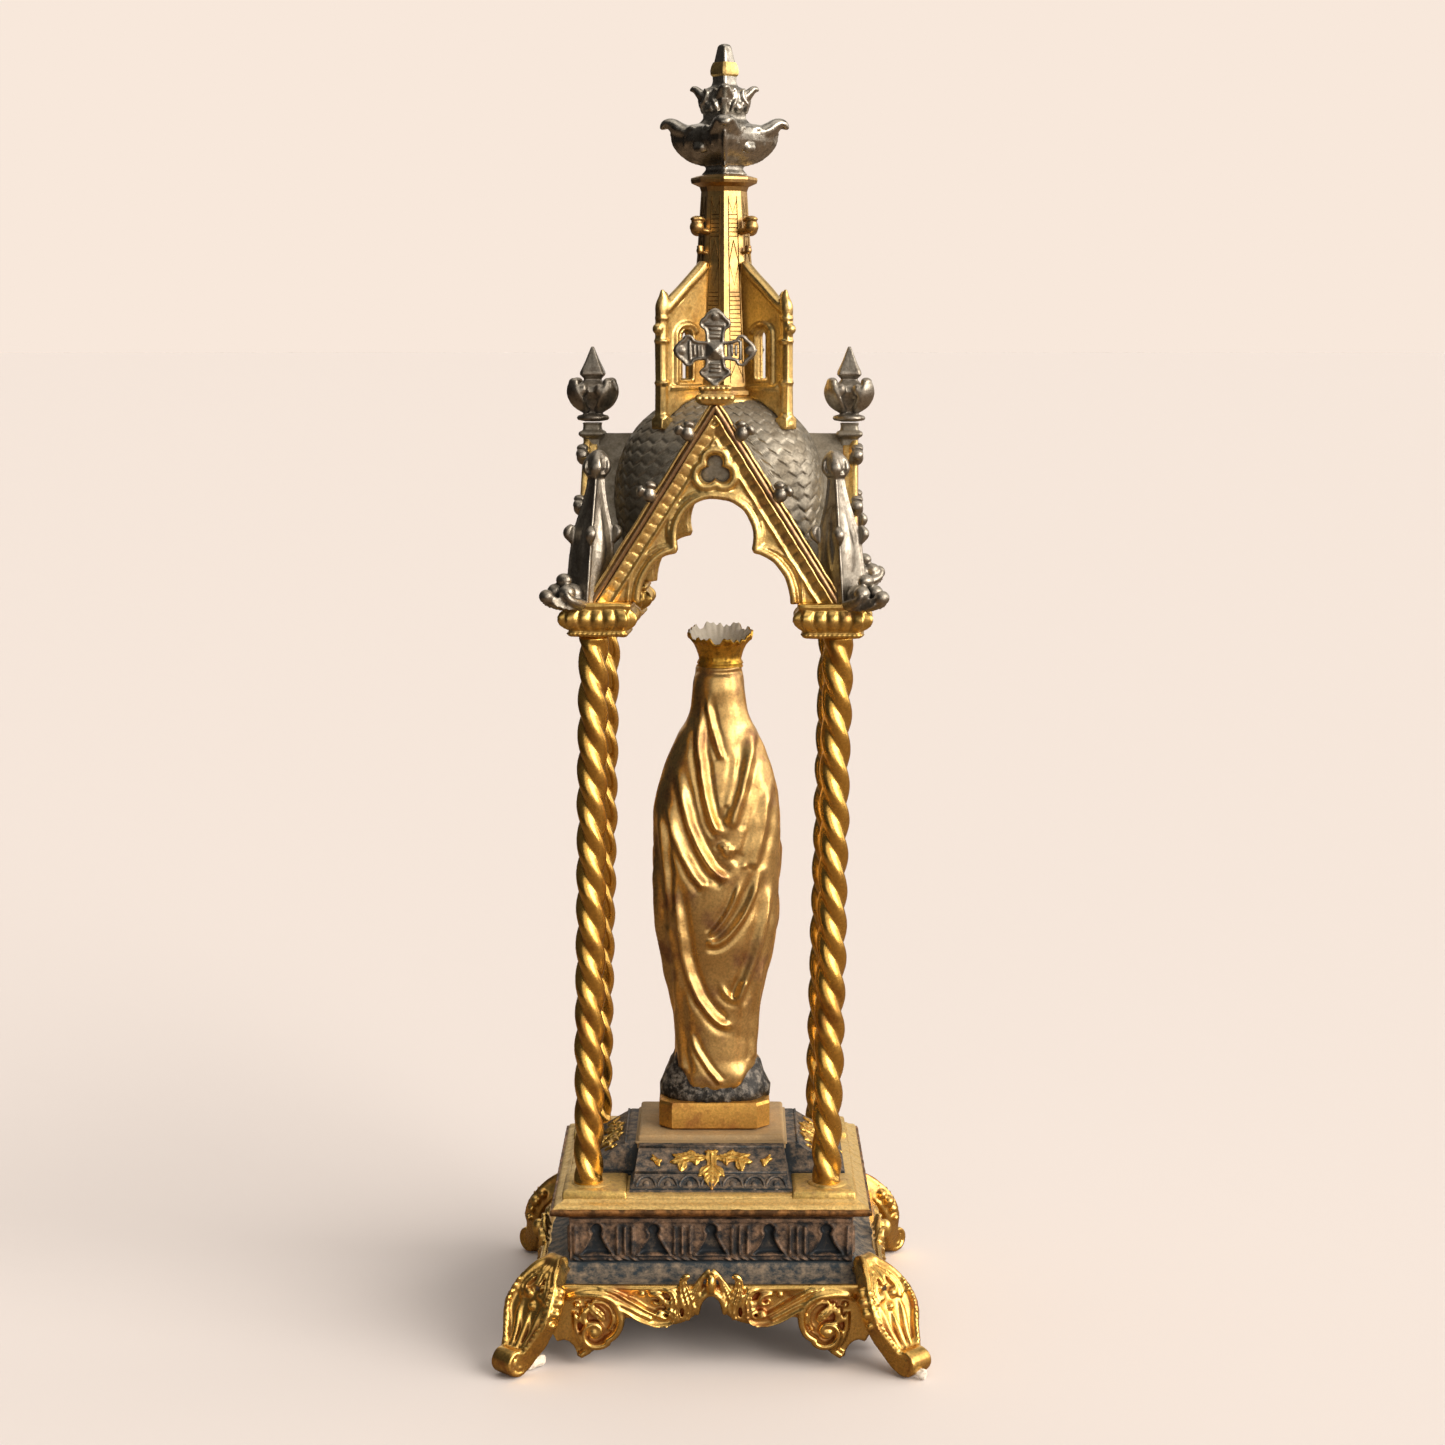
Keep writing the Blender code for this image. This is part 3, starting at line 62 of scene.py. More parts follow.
# Softboxes: the side that each stands on, cosines of its soft edge and of its full part, and brightness
SOFTBOXES = (((0.80, -0.55, 0.42), 0.86, 0.95, 7.4),       # key, from the right and above
             ((0.05, 0.1, 1.0), 0.70, 0.95, 1.2),          # overhead
             ((0.10, -1.0, 0.12), 0.80, 0.95, 1.15),       # low fill in front
             ((0.93, 0.30, 0.25), 0.82, 0.95, 1.9),        # rim, from the right and behind
             ((0.05, 1.0, 0.16), 0.80, 0.94, 0.9))         # low one behind
FLOOR_PAPER = "#E6E1E2"
FLOOR_PAINTED_DARK_IN_REFLECTIONS = "#8C7864"           # painted shade: the floor's colour in the metal's reflections, darker than the paper
PAINTED_BLACK_IN_LEFT_REFLECTIONS = "#15110E"               # painted shade: black in the reflections towards the left
PAINTED_BLACK_FADE = (-0.9, 0.1)              # metres along X over which the painted black gives way


def linear(colour, alpha=1.0):
    """Linear red, green, blue and alpha of an sRGB hex colour."""
    values = [int(colour[i:i + 2], 16) / 255 for i in (1, 3, 5)]
    return (*(v / 12.92 if v <= 0.04045 else ((v + 0.055) / 1.055) ** 2.4 for v in values), alpha)


def add_node(tree, kind, inputs=None, **settings):
    """Add a node, give it its settings, and set or link its inputs."""
    node = tree.nodes.new("ShaderNode" + kind)
    for name, value in settings.items():
        setattr(node, name, value)
    for key, value in (inputs or {}).items():
        if isinstance(value, bpy.types.NodeSocket):
            tree.links.new(value, node.inputs[key])
        else:
            node.inputs[key].default_value = value
    return node


def new_material(name):
    """New material, its node tree, its shader, and the place on the piece that its patterns follow."""
    material = bpy.data.materials.new(name)
    material.use_nodes = True
    tree = material.node_tree
    return material, tree, tree.nodes["Principled BSDF"], add_node(tree, "TexCoord").outputs["Object"]


camera_data = bpy.data.cameras.new("camera")
camera_data.sensor_width = SENSOR
camera_data.lens = SENSOR * FOCAL_PIXELS / PICTURE_SIDE
camera_data.clip_end = 100.0
camera = bpy.data.objects.new("camera", camera_data)
camera.location = Vector(CAMERA_PLACE) * MM
camera.rotation_euler = (math.radians(90.0 - CAMERA_DOWN), 0.0, 0.0)
bpy.context.scene.collection.objects.link(camera)
bpy.context.scene.camera = camera
bpy.context.scene.view_settings.view_transform = "Standard"

bpy.ops.mesh.primitive_circle_add(vertices=96, radius=FLOOR_RADIUS * MM, fill_type="NGON")
floor = bpy.context.object
floor.name = "floor"
# Matt paper: no gloss and no pattern, so nothing but the object's own shadow shows on it to the camera; in
# the metal's reflections it is painted darker, and black towards the left, as painted shade
floor_paint, tree, paper, spot = new_material("paper_floor_painted_dark_in_reflections")
mirrored = add_node(tree, "LightPath").outputs["Is Glossy Ray"]
sideways = add_node(tree, "SeparateXYZ", {0: spot}).outputs["X"]
painted_black_fade_share = add_node(tree, "MapRange", {"Value": sideways, "From Min": PAINTED_BLACK_FADE[0],
                                      "From Max": PAINTED_BLACK_FADE[1]}).outputs[0]
reflected_floor_painted_dark = add_node(tree, "Mix", {0: painted_black_fade_share, 6: linear(PAINTED_BLACK_IN_LEFT_REFLECTIONS), 7: linear(FLOOR_PAINTED_DARK_IN_REFLECTIONS)},
                    data_type="RGBA").outputs[2]
tone = add_node(tree, "Mix", {0: mirrored, 6: linear(FLOOR_PAPER), 7: reflected_floor_painted_dark}, data_type="RGBA")
tree.links.new(tone.outputs[2], paper.inputs["Base Color"])
paper.inputs["Roughness"].default_value = 0.9
paper.inputs["Specular IOR Level"].default_value = 0.1
floor.data.materials.append(floor_paint)


world = bpy.data.worlds.new("studio_air")
bpy.context.scene.world = world
world.use_nodes = True
air = world.node_tree
air.nodes.clear()
toward = add_node(air, "TexCoord").outputs["Generated"]


def softbox(direction, edge, middle, brightness):
    """Large diffused lamp far away: brightness of the air towards a direction, soft at its edge."""
    aim = Vector(direction).normalized()
    near = add_node(air, "VectorMath", {0: toward, 1: aim}, operation="DOT_PRODUCT").outputs["Value"]
    return add_node(air, "MapRange", {"Value": near, "From Min": edge, "From Max": middle,
                                      "To Max": brightness}, interpolation_type="SMOOTHSTEP").outputs[0]


light = ROOM_LIGHT
for lamp in SOFTBOXES:
    light = add_node(air, "Math", {0: softbox(*lamp), 1: light}).outputs[0]
lit = add_node(air, "Background", {"Color": linear(LAMP_COLOUR), "Strength": light})
seen = add_node(air, "Background", {"Color": linear(BACKDROP), "Strength": 1.0})
look = add_node(air, "LightPath").outputs["Is Camera Ray"]
both = add_node(air, "MixShader", {0: look, 1: lit.outputs[0], 2: seen.outputs[0]})
add_node(air, "OutputWorld", {"Surface": both.outputs[0]})


# Stand: one hollow casting of gilt zinc. A dark patinated frieze of bell-shaped niches, a sloped
# shoulder, a pierced and scrolled skirt on each side, and four bracket legs on rolled feet. The
# skirts and legs are soldered to the box of the frieze from inside.
COLUMN_HALF_X = 32.4                 # column axes, which every plan line is measured from
COLUMN_HALF_Y = 29.0
FRIEZE_OUT = 5.9
FRIEZE_TOP = 38.4
FRIEZE_FOOT = 26.5
SHOULDER_OUT = 14.6
SHOULDER_FOOT = 22.4
WALL = 2.8                           # thickness of the casting
SIDES = ("front", "right", "rear", "left")
CORNERS = (("front_left", -1, -1), ("rear_left", -1, 1), ("front_right", 1, -1), ("rear_right", 1, 1))
FRIEZE_PITCH = 15.6                  # from one niche to the next
SHORT_SIDE_PITCH = 0.91              # share of it on the two shorter sides
NICHES = 5
NICHE_DEPTH = 1.3
NICHE_HEAD, NICHE_HEAD_RADIUS = 8.7, 1.55        # level of the round head over the frieze's foot
NICHE_NECK, NICHE_SPREAD = 1.0, 3.1              # half width of the bell's neck, and what it gains below
NICHE_FOOT, NICHE_SHOULDER = 2.0, 8.2            # levels between which the bell runs
BAR_PITCH = 2.05                     # the three upright bars between two niches
BAR_HALF_WIDTH = 0.42
BAR_FOOT, BAR_TOP = 1.6, 9.9
FRAME_FOOT, FRAME_TOP = 1.4, 10.9    # the flat frame round the row of niches
FRAME_HEIGHT = 0.35
CORD_TOP = 1.3
CORD_TWIST = 2.3                     # from one turn of the twisted cord to the next
SKIRT_HALF = 47.0                    # half length of the front skirt, which the others are fitted to
VOXEL = 0.36
KEPT_FACES = 0.32                    # share of a fused skin's faces that its form needs
STEP = 0.45                          # spacing of points along a rib


def full_turn(count):
    """Even angles once round."""
    return np.linspace(0, 2 * math.pi, count, endpoint=False)


ROUND = np.array([(math.cos(a), math.sin(a)) for a in full_turn(12)])
ACROSS = np.linspace(1.0, -1.0, 13)
# Leaf seen from its tip: a midrib, a hollow each side of it and rolled edges, over a flat back
LEAF = np.array([(b, 0.25 + 0.75 * math.exp(-(b / 0.16) ** 2) + 0.55 * abs(b) ** 3) for b in ACROSS]
                + [(-0.9, -1.2), (0.9, -1.2)])
# Gutter: two raised edges with a hollow between them
GUTTER = np.array([(b, 0.15 + 0.85 * min(1.0, abs(b) * 1.25) ** 4) for b in ACROSS]
                  + [(-1.0, -1.2), (1.0, -1.2)])


def skin(rows, around=True, ends=True):
    """Points and faces over rows of points, each a closed ring or an open line."""
    rows = np.asarray(rows, float)
    count, width = rows.shape[:2]
    index = np.arange(count * width).reshape(count, width)
    left = index if around else index[:, :-1]
    right = np.roll(index, -1, axis=1) if around else index[:, 1:]
    faces = np.stack([left[:-1], right[:-1], right[1:], left[1:]], axis=-1).reshape(-1, 4).tolist()
    if around and ends:
        faces.append(index[0][::-1].tolist())
        faces.append(index[-1].tolist())
    return rows.reshape(-1, 3), faces


def spline(rows, step):
    """Even samples of a smooth curve through rows, whose first three columns are places."""
    rows = np.asarray(rows, float)
    ends = np.vstack([2 * rows[0] - rows[1], rows, 2 * rows[-1] - rows[-2]])
    fine = []
    for p0, p1, p2, p3 in zip(ends, ends[1:], ends[2:], ends[3:]):
        t = np.linspace(0.0, 1.0, 12, endpoint=False)[:, None]
        fine.append(0.5 * (2 * p1 + (p2 - p0) * t + (2 * p0 - 5 * p1 + 4 * p2 - p3) * t ** 2
                           + (3 * p1 - p0 - 3 * p2 + p3) * t ** 3))
    fine = np.vstack(fine + [rows[-1:]])
    run = np.concatenate([[0.0], np.cumsum(np.linalg.norm(np.diff(fine[:, :3], axis=0), axis=1))])
    at = np.linspace(0.0, run[-1], max(3, int(run[-1] / step) + 1))
    return np.stack([np.interp(at, run, column) for column in fine.T], axis=1)


def rib(rows, up=None, across=None, section=ROUND, step=STEP, smooth=True):
    """Bar swept along rows of x, y, z, half width and half height. Its width lies square to up, or
    along across."""
    path = spline(rows, step) if smooth else np.asarray(rows, float)
    run = np.gradient(path[:, :3], axis=0)
    run /= np.linalg.norm(run, axis=1)[:, None]
    if across is None:
        side = np.cross(run, np.asarray(up, float))
        side /= np.linalg.norm(side, axis=1)[:, None]
    else:
        side = np.tile(np.asarray(across, float), (len(path), 1))
    lift = np.cross(side, run)
    lift /= np.linalg.norm(lift, axis=1)[:, None]
    rings = (path[:, None, :3] + side[:, None] * section[None, :, :1] * path[:, None, 3:4]
             + lift[:, None] * section[None, :, 1:] * path[:, None, 4:5])
    return skin(rings)


def egg(place, radii, turn=None):
    """Ellipsoid with three radii."""
    rows = []
    for polar in np.linspace(0.12, math.pi - 0.12, 11):
        rows.append([(radii[0] * math.sin(polar) * math.cos(a), radii[1] * math.sin(polar) * math.sin(a),
                      radii[2] * math.cos(polar)) for a in full_turn(18)])
    points, faces = skin(rows)
    if turn is not None:
        points = points @ np.array(turn.to_3x3()).T
    return points + np.asarray(place, float), faces


def slab(outlines, low, high, place=None):
    """Flat plate between two levels. The first outline is its edge and the others are holes."""
    curve = bpy.data.curves.new("outline", "CURVE")
    curve.dimensions = "2D"
    curve.fill_mode = "BOTH"
    curve.extrude = (high - low) / 2
    for outline in outlines:
        line = curve.splines.new("POLY")
        line.points.add(len(outline) - 1)
        line.points.foreach_set("co", [v for u in outline for v in (u[0], u[1], 0.0, 1.0)])
        line.use_cyclic_u = True
    holder = bpy.data.objects.new("outline", curve)
    bpy.context.scene.collection.objects.link(holder)
    bpy.context.view_layer.update()
    mesh = bpy.data.meshes.new_from_object(holder.evaluated_get(bpy.context.evaluated_depsgraph_get()))
    bpy.data.objects.remove(holder)
    points = np.array([vertex.co for vertex in mesh.vertices]) + (0.0, 0.0, (high + low) / 2)
    return moved((points, [list(face.vertices) for face in mesh.polygons]), place or Matrix())


def moved(part, place):
    """Points and faces, moved by a matrix."""
    points = part[0] @ np.array(place.to_3x3()).T + np.array(place.translation)
    return points, part[1]


def flipped(part, axis=0):
    """Mirror image of points and faces."""
    points = part[0].copy()
    points[:, axis] *= -1.0
    return points, [face[::-1] for face in part[1]]


def both_hands(*parts):
    """Parts and their mirror images."""
    return [*parts] + [flipped(part) for part in parts]


def ring(radius, level, count, middle=(0.0, 0.0)):
    """Level circle of points."""
    return [(middle[0] + radius * math.cos(a), middle[1] + radius * math.sin(a), level)
            for a in full_turn(count)]


def mesh_of(name, parts, weld=0.0):
    """Mesh of several parts together, in metres, with its faces pointing out."""
    points, faces = [], []
    for part_points, part_faces in parts:
        offset = sum(len(p) for p in points)
        points.append(part_points)
        faces += [[i + offset for i in face] for face in part_faces]
    mesh = bpy.data.meshes.new(name)
    mesh.from_pydata((np.vstack(points) * MM).tolist(), [], faces)
    bm = bmesh.new()
    bm.from_mesh(mesh)
    if weld:
        bmesh.ops.remove_doubles(bm, verts=bm.verts, dist=weld * MM)
    bmesh.ops.recalc_face_normals(bm, faces=bm.faces)
    bm.to_mesh(mesh)
    bm.free()
    return mesh


def worked(parts, **steps):
    """Points and faces of parts after modifiers, each given as its kind with its settings."""
    holder = bpy.data.objects.new("worked", mesh_of("worked", parts, 0.001))
    bpy.context.scene.collection.objects.link(holder)
    for kind, settings in steps.items():
        step = holder.modifiers.new(kind, kind)
        for name, value in settings.items():
            setattr(step, name, value)
    mesh = bpy.data.meshes.new_from_object(holder.evaluated_get(bpy.context.evaluated_depsgraph_get()))
    bpy.data.objects.remove(holder)
    points = np.empty(len(mesh.vertices) * 3)
    mesh.vertices.foreach_get("co", points)
    return points.reshape(-1, 3) / MM, [list(face.vertices) for face in mesh.polygons]


def fused(parts, voxel=VOXEL, softening=3):
    """Overlapping parts run together into one skin with soft edges, as a worn mould gives them."""
    return worked(parts, REMESH={"mode": "VOXEL", "voxel_size": voxel * MM},
                  SMOOTH={"factor": 0.5, "iterations": softening}, DECIMATE={"ratio": KEPT_FACES})


def split(part, chosen):
    """Two parts from one: its faces that are chosen, and the others."""
    halves = []
    for keep in (chosen, ~chosen):
        used, faces = np.unique(np.array(part[1])[keep], return_inverse=True)
        halves.append((part[0][used], faces.reshape(-1, 4).tolist()))
    return halves


def uneven(part, size, amount, seed=1):
    """Slight waviness of a hand-finished casting, with bumps about as wide as the size given."""
    points = part[0].copy()
    dice = np.random.default_rng(seed)
    for _ in range(7):
        wave = dice.normal(size=3)
        wave *= 2 * math.pi / (size * np.linalg.norm(wave)) * dice.uniform(0.6, 1.7)
        shift = dice.normal(size=3)
        shift *= amount * 0.4 / np.linalg.norm(shift)
        points += np.outer(np.sin(part[0] @ wave + dice.uniform(0, 6.3)), shift)
    return points, part[1]


def piece(name, finishes, nodes, crease=None):
    """Object of one casting from its parts by material. It rides on the body and stands for its nodes."""
    parts = [part for group in finishes.values() for part in group]
    mesh = mesh_of(name, parts)
    marks = [index for index, group in enumerate(finishes.values()) for part in group for _ in part[1]]
    for finish in finishes:
        mesh.materials.append(finish)
    mesh.polygons.foreach_set("material_index", marks)
    mesh.shade_smooth()
    if crease:
        mesh.set_sharp_from_angle(angle=math.radians(crease))
    obj = bpy.data.objects.new(name, mesh)
    bpy.context.scene.collection.objects.link(obj)
    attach(obj, "root")
    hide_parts(*nodes)
    return obj


def side_place(side, out=0.0, level=0.0):
    """Frame of a wall: x along it, y up, z out of it. Side 0 faces -Y, side 1 +X, 2 +Y and 3 -X."""
    reach = (COLUMN_HALF_Y if side % 2 == 0 else COLUMN_HALF_X) + out
    wall = Matrix(((1, 0, 0, 0), (0, 0, -1, -reach), (0, 1, 0, level), (0, 0, 0, 1)))
    return Matrix.Rotation(side * math.pi / 2, 4, "Z") @ wall


def walls(profile, relief=None, step=0.36):
    """Four mitred walls, as one part per side, from a profile of out and level. The relief is a
    function of the place along the wall and the level, and of the side, and stands the wall out."""
    profile = np.asarray(profile, float)
    parts = []
    for side in range(4):
        half, reach = (COLUMN_HALF_X, COLUMN_HALF_Y) if side % 2 == 0 else (COLUMN_HALF_Y, COLUMN_HALF_X)
        longest = half + profile[:, 0].max()
        share = np.linspace(-1.0, 1.0, max(2, int(2 * longest / step) + 1))
        out, level = profile[:, :1], profile[:, 1:2]
        along = (half + out) * share[None]
        level = level + 0.0 * along
        stand_out = relief(along, level, side) if relief else 0.0 * along
        grid = np.stack([along, -(reach + out + stand_out), level], axis=-1)
        turn = np.array(Matrix.Rotation(side * math.pi / 2, 3, "Z"))
        parts.append(skin(grid @ turn.T, around=False))
    return parts


def ramp(low, high, value):
    """Smooth step from 0 at low to 1 at high."""
    t = np.clip((value - low) / (high - low), 0.0, 1.0)
    return t * t * (3 - 2 * t)


CASTING_GRAIN = 0.7                  # mm, coarser than the real sand grain of the mould, so that it shows
PATINA_GRAIN = 0.5                   # mm, brush marks and pits in the paint
DUST = "#B9AA92"


def gilt_zinc(name, gold, worn, hollow, wear=0.5, hollow_size=2.4, patch=9.0, roughness=0.33, dust=0.0,
              granular=0.35):
    """Cast zinc with antique gilding: bright where it was burnished, rubbed to a pinkish brown in patches,
    and darkened towards the hollow colour where ambient occlusion finds hollows: dirt and dark varnish
    there, together with painted shade, which gives each ornament its outline."""
    material, tree, shader, place = new_material(name)
    patches = add_node(tree, "TexNoise", {"Vector": place, "Scale": 1 / (patch * MM), "Detail": 5.0,
                                          "Roughness": 0.62}).outputs["Fac"]
    grain = add_node(tree, "TexNoise", {"Vector": place, "Scale": 1 / (CASTING_GRAIN * MM), "Detail": 3.0,
                                        "Roughness": 0.6}).outputs["Fac"]
    rubbed = add_node(tree, "MapRange", {"Value": patches, "From Min": 0.62 - 0.22 * wear,
                                         "From Max": 0.78 - 0.22 * wear}).outputs[0]
    rubbed = add_node(tree, "Math", {0: rubbed, 1: 0.8}, operation="MULTIPLY").outputs[0]
    base = add_node(tree, "Mix", {0: rubbed, 6: linear(gold), 7: linear(worn)}, data_type="RGBA").outputs[2]
    speck = add_node(tree, "MapRange", {"Value": grain, "From Min": 0.3, "From Max": 0.7,
                                        "To Min": 0.72, "To Max": 1.12}).outputs[0]
    base = add_node(tree, "Mix", {0: 1.0, 6: base, 7: speck}, data_type="RGBA",
                    blend_type="MULTIPLY").outputs[2]
    # Painted shade, with dirt: hollows that ambient occlusion finds go towards the hollow colour and lose
    # gloss and metal
    open_air = add_node(tree, "AmbientOcclusion", {"Distance": hollow_size * MM}, samples=6,
                        only_local=True).outputs["AO"]
    dirt_and_painted_shade = add_node(tree, "MapRange", {"Value": open_air, "From Min": 0.78, "From Max": 0.3}).outputs[0]
    dirt_and_painted_shade = add_node(tree, "Math", {0: dirt_and_painted_shade, 1: patches}, operation="MULTIPLY").outputs[0]
    dirt_and_painted_shade = add_node(tree, "Math", {0: dirt_and_painted_shade, 1: 1.9}, operation="MULTIPLY", use_clamp=True).outputs[0]
    colour = add_node(tree, "Mix", {0: dirt_and_painted_shade, 6: base, 7: linear(hollow)}, data_type="RGBA").outputs[2]
    matt = add_node(tree, "MapRange", {"Value": patches, "From Min": 0.3, "From Max": 0.8,
                                       "To Min": roughness - 0.06, "To Max": roughness + 0.16}).outputs[0]
    matt = add_node(tree, "Math", {0: dirt_and_painted_shade, 1: 0.22, 2: matt}, operation="MULTIPLY_ADD").outputs[0]
    metal = add_node(tree, "MapRange", {"Value": dirt_and_painted_shade, "To Min": 1.0, "To Max": 0.45}).outputs[0]
    if dust:
        facing = add_node(tree, "NewGeometry").outputs["Normal"]
        upward = add_node(tree, "SeparateXYZ", {0: facing}).outputs["Z"]
        settled = add_node(tree, "MapRange", {"Value": upward, "From Min": 0.35, "From Max": 0.95,
                                              "To Max": dust}).outputs[0]
        settled = add_node(tree, "Math", {0: settled, 1: patches}, operation="MULTIPLY").outputs[0]
        colour = add_node(tree, "Mix", {0: settled, 6: colour, 7: linear(DUST)}, data_type="RGBA").outputs[2]
        metal = add_node(tree, "Math", {0: metal, 1: settled}, operation="SUBTRACT",
                         use_clamp=True).outputs[0]
        matt = add_node(tree, "Math", {0: matt, 1: settled}, operation="ADD", use_clamp=True).outputs[0]
    bump = add_node(tree, "Bump", {"Height": grain, "Strength": granular,
                                   "Distance": 0.09 * MM}).outputs["Normal"]
    bump = add_node(tree, "Bump", {"Height": patches, "Strength": 0.4, "Distance": 0.25 * MM,
                                   "Normal": bump}).outputs["Normal"]
    for socket, value in (("Base Color", colour), ("Roughness", matt), ("Metallic", metal),
                          ("Normal", bump)):
        tree.links.new(value, shader.inputs[socket])
    return material


def dark_patina(name, dark, worn, wear, wear_size=5.0, roughness=0.6, metallic=0.35, ground="#6E5238"):
    """Blue-black patina painted on the zinc, rubbed through to a tan ground on what stands out."""
    material, tree, shader, place = new_material(name)
    shader.inputs["Metallic"].default_value = metallic
    patches = add_node(tree, "TexNoise", {"Vector": place, "Scale": 1 / (wear_size * MM), "Detail": 8.0,
                                          "Roughness": 0.7}).outputs["Fac"]
    grain = add_node(tree, "TexNoise", {"Vector": place, "Scale": 1 / (PATINA_GRAIN * MM),
                                        "Detail": 3.0}).outputs["Fac"]
    open_air = add_node(tree, "AmbientOcclusion", {"Distance": 2.2 * MM}, samples=8,
                        only_local=True).outputs["AO"]
    raised = add_node(tree, "MapRange", {"Value": open_air, "From Min": 0.45, "From Max": 0.95,
                                         "To Min": -0.42, "To Max": 0.12}).outputs[0]
    rubbed = add_node(tree, "Math", {0: raised, 1: patches}).outputs[0]
    rubbed = add_node(tree, "MapRange", {"Value": rubbed, "From Min": 0.73 - 0.4 * wear,
                                         "From Max": 0.97 - 0.4 * wear}).outputs[0]
    tone = add_node(tree, "Mix", {0: grain, 6: linear(worn), 7: linear(ground)}, data_type="RGBA").outputs[2]
    colour = add_node(tree, "Mix", {0: rubbed, 6: linear(dark), 7: tone}, data_type="RGBA").outputs[2]
    matt = add_node(tree, "MapRange", {"Value": grain, "To Min": roughness - 0.15,
                                       "To Max": roughness + 0.15}).outputs[0]
    bump = add_node(tree, "Bump", {"Height": grain, "Strength": 0.5,
                                   "Distance": 0.12 * MM}).outputs["Normal"]
    bump = add_node(tree, "Bump", {"Height": patches, "Strength": 0.4, "Distance": 0.3 * MM,
                                   "Normal": bump}).outputs["Normal"]
    for socket, value in (("Base Color", colour), ("Roughness", matt), ("Normal", bump)):
        tree.links.new(value, shader.inputs[socket])
    return material


def frieze_relief(along, level, side):
    """Bell-shaped niches with a round head, raised bars between them and a twisted cord below."""
    pitch = FRIEZE_PITCH * (1.0 if side % 2 == 0 else SHORT_SIDE_PITCH)
    nearest = np.clip(np.round(along / pitch), -(NICHES // 2), NICHES // 2) * pitch
    u = along - nearest
    v = level - FRIEZE_FOOT
    head = np.hypot(u, v - NICHE_HEAD) - NICHE_HEAD_RADIUS
    fall = np.clip((NICHE_SHOULDER - 0.2 - v) / (NICHE_SHOULDER - NICHE_FOOT), 0.0, 1.0)
    bell = np.abs(u) - (NICHE_NECK + NICHE_SPREAD * fall ** 1.5)
    bell = np.maximum(bell, np.maximum(v - NICHE_SHOULDER, NICHE_FOOT - v))
    inside = np.minimum(head, bell)
    relief = -NICHE_DEPTH * ramp(0.15, -0.55, inside) + 0.42 * np.exp(-((inside - 0.45) / 0.3) ** 2)
    between = along - (np.floor(along / pitch) + 0.5) * pitch
    for shift in (-BAR_PITCH, 0.0, BAR_PITCH):
        bar = np.exp(-((between - shift) / BAR_HALF_WIDTH) ** 4)
        bar *= ramp(BAR_FOOT, BAR_FOOT + 0.5, v) * ramp(BAR_TOP, BAR_TOP - 0.5, v)
        bar *= np.abs(along) < NICHES / 2 * pitch
        relief = np.where(bar > 0.02, np.maximum(relief, 0.75 * bar), relief)
    sunk = ramp(FRAME_FOOT, FRAME_FOOT + 0.3, v) * ramp(FRAME_TOP, FRAME_TOP - 0.3, v)
    relief += FRAME_HEIGHT * (1.0 - sunk) * (v > 1.0)
    cord = (v > -0.2) & (v < CORD_TOP)
    twist = 0.5 + 0.5 * np.sin(2 * math.pi * (along + 1.4 * v) / CORD_TWIST)
    broken = np.abs(between) < 4.6
    relief = np.where(cord, np.where(broken, 0.55 * twist, 0.15) * np.sin(math.pi * (v + 0.2) / 1.5), relief)
    edge = (COLUMN_HALF_X if side % 2 == 0 else COLUMN_HALF_Y) + FRIEZE_OUT
    return relief * ramp(edge - 0.2, edge - 1.4, np.abs(along))


frieze_rows = [(FRIEZE_OUT - 2.6, FRIEZE_TOP), (FRIEZE_OUT, FRIEZE_TOP)]
frieze_rows += [(FRIEZE_OUT, level) for level in np.arange(FRIEZE_TOP - 0.15, FRIEZE_FOOT - 0.3, -0.3)]
shoulder_rows = [(FRIEZE_OUT, FRIEZE_FOOT - 0.2), (FRIEZE_OUT + 0.9, FRIEZE_FOOT - 0.5),
                 (FRIEZE_OUT + 1.1, FRIEZE_FOOT - 1.2)]
for share in np.linspace(0.0, 1.0, 22)[1:]:
    hollow = 0.7 * math.sin(math.pi * share)
    shoulder_rows.append((FRIEZE_OUT + 1.1 + share * (SHOULDER_OUT - FRIEZE_OUT - 1.1) - hollow * 0.4,
                          FRIEZE_FOOT - 1.2 - share * (FRIEZE_FOOT - 1.2 - SHOULDER_FOOT) - hollow))
inner_rows = [(SHOULDER_OUT, SHOULDER_FOOT), (SHOULDER_OUT + 0.1, SHOULDER_FOOT - 1.2),
              (SHOULDER_OUT - WALL, SHOULDER_FOOT - 1.6), (FRIEZE_OUT - WALL, FRIEZE_FOOT - WALL),
              (FRIEZE_OUT - WALL, FRIEZE_TOP - WALL)]

frieze_patina = dark_patina("dark_patina_frieze", "#1A1F24", "#A5876E", 0.60, 3.0, ground="#75583F")
shoulder_patina = dark_patina("dark_patina_shoulder", "#303B43", "#A3937F", 0.52, 2.6, ground="#857562")
# Niches: blue-black paint that rubbing spared in the hollows, with darker tan tones as painted shade in the
# niches
niche_patina_and_shade = dark_patina("blue_black_paint_and_painted_shade_in_niches", "#1C242C", "#8A7A68", 0.46, 3.0, ground="#5E5246")
stand_inside = dark_patina("bare_zinc_inside", "#4A4238", "#6A5A48", 0.5, 9.0, 0.7, 0.5)


def level_plate(out, low, high):
    """Rectangular plate between two levels, whose edges stand out past the column axes."""
    x, y = COLUMN_HALF_X + out, COLUMN_HALF_Y + out
    return slab([[(-x, -y), (x, -y), (x, y), (-x, y)]], low, high)


top_plate = level_plate(3.6, FRIEZE_TOP - WALL, FRIEZE_TOP - 0.02)
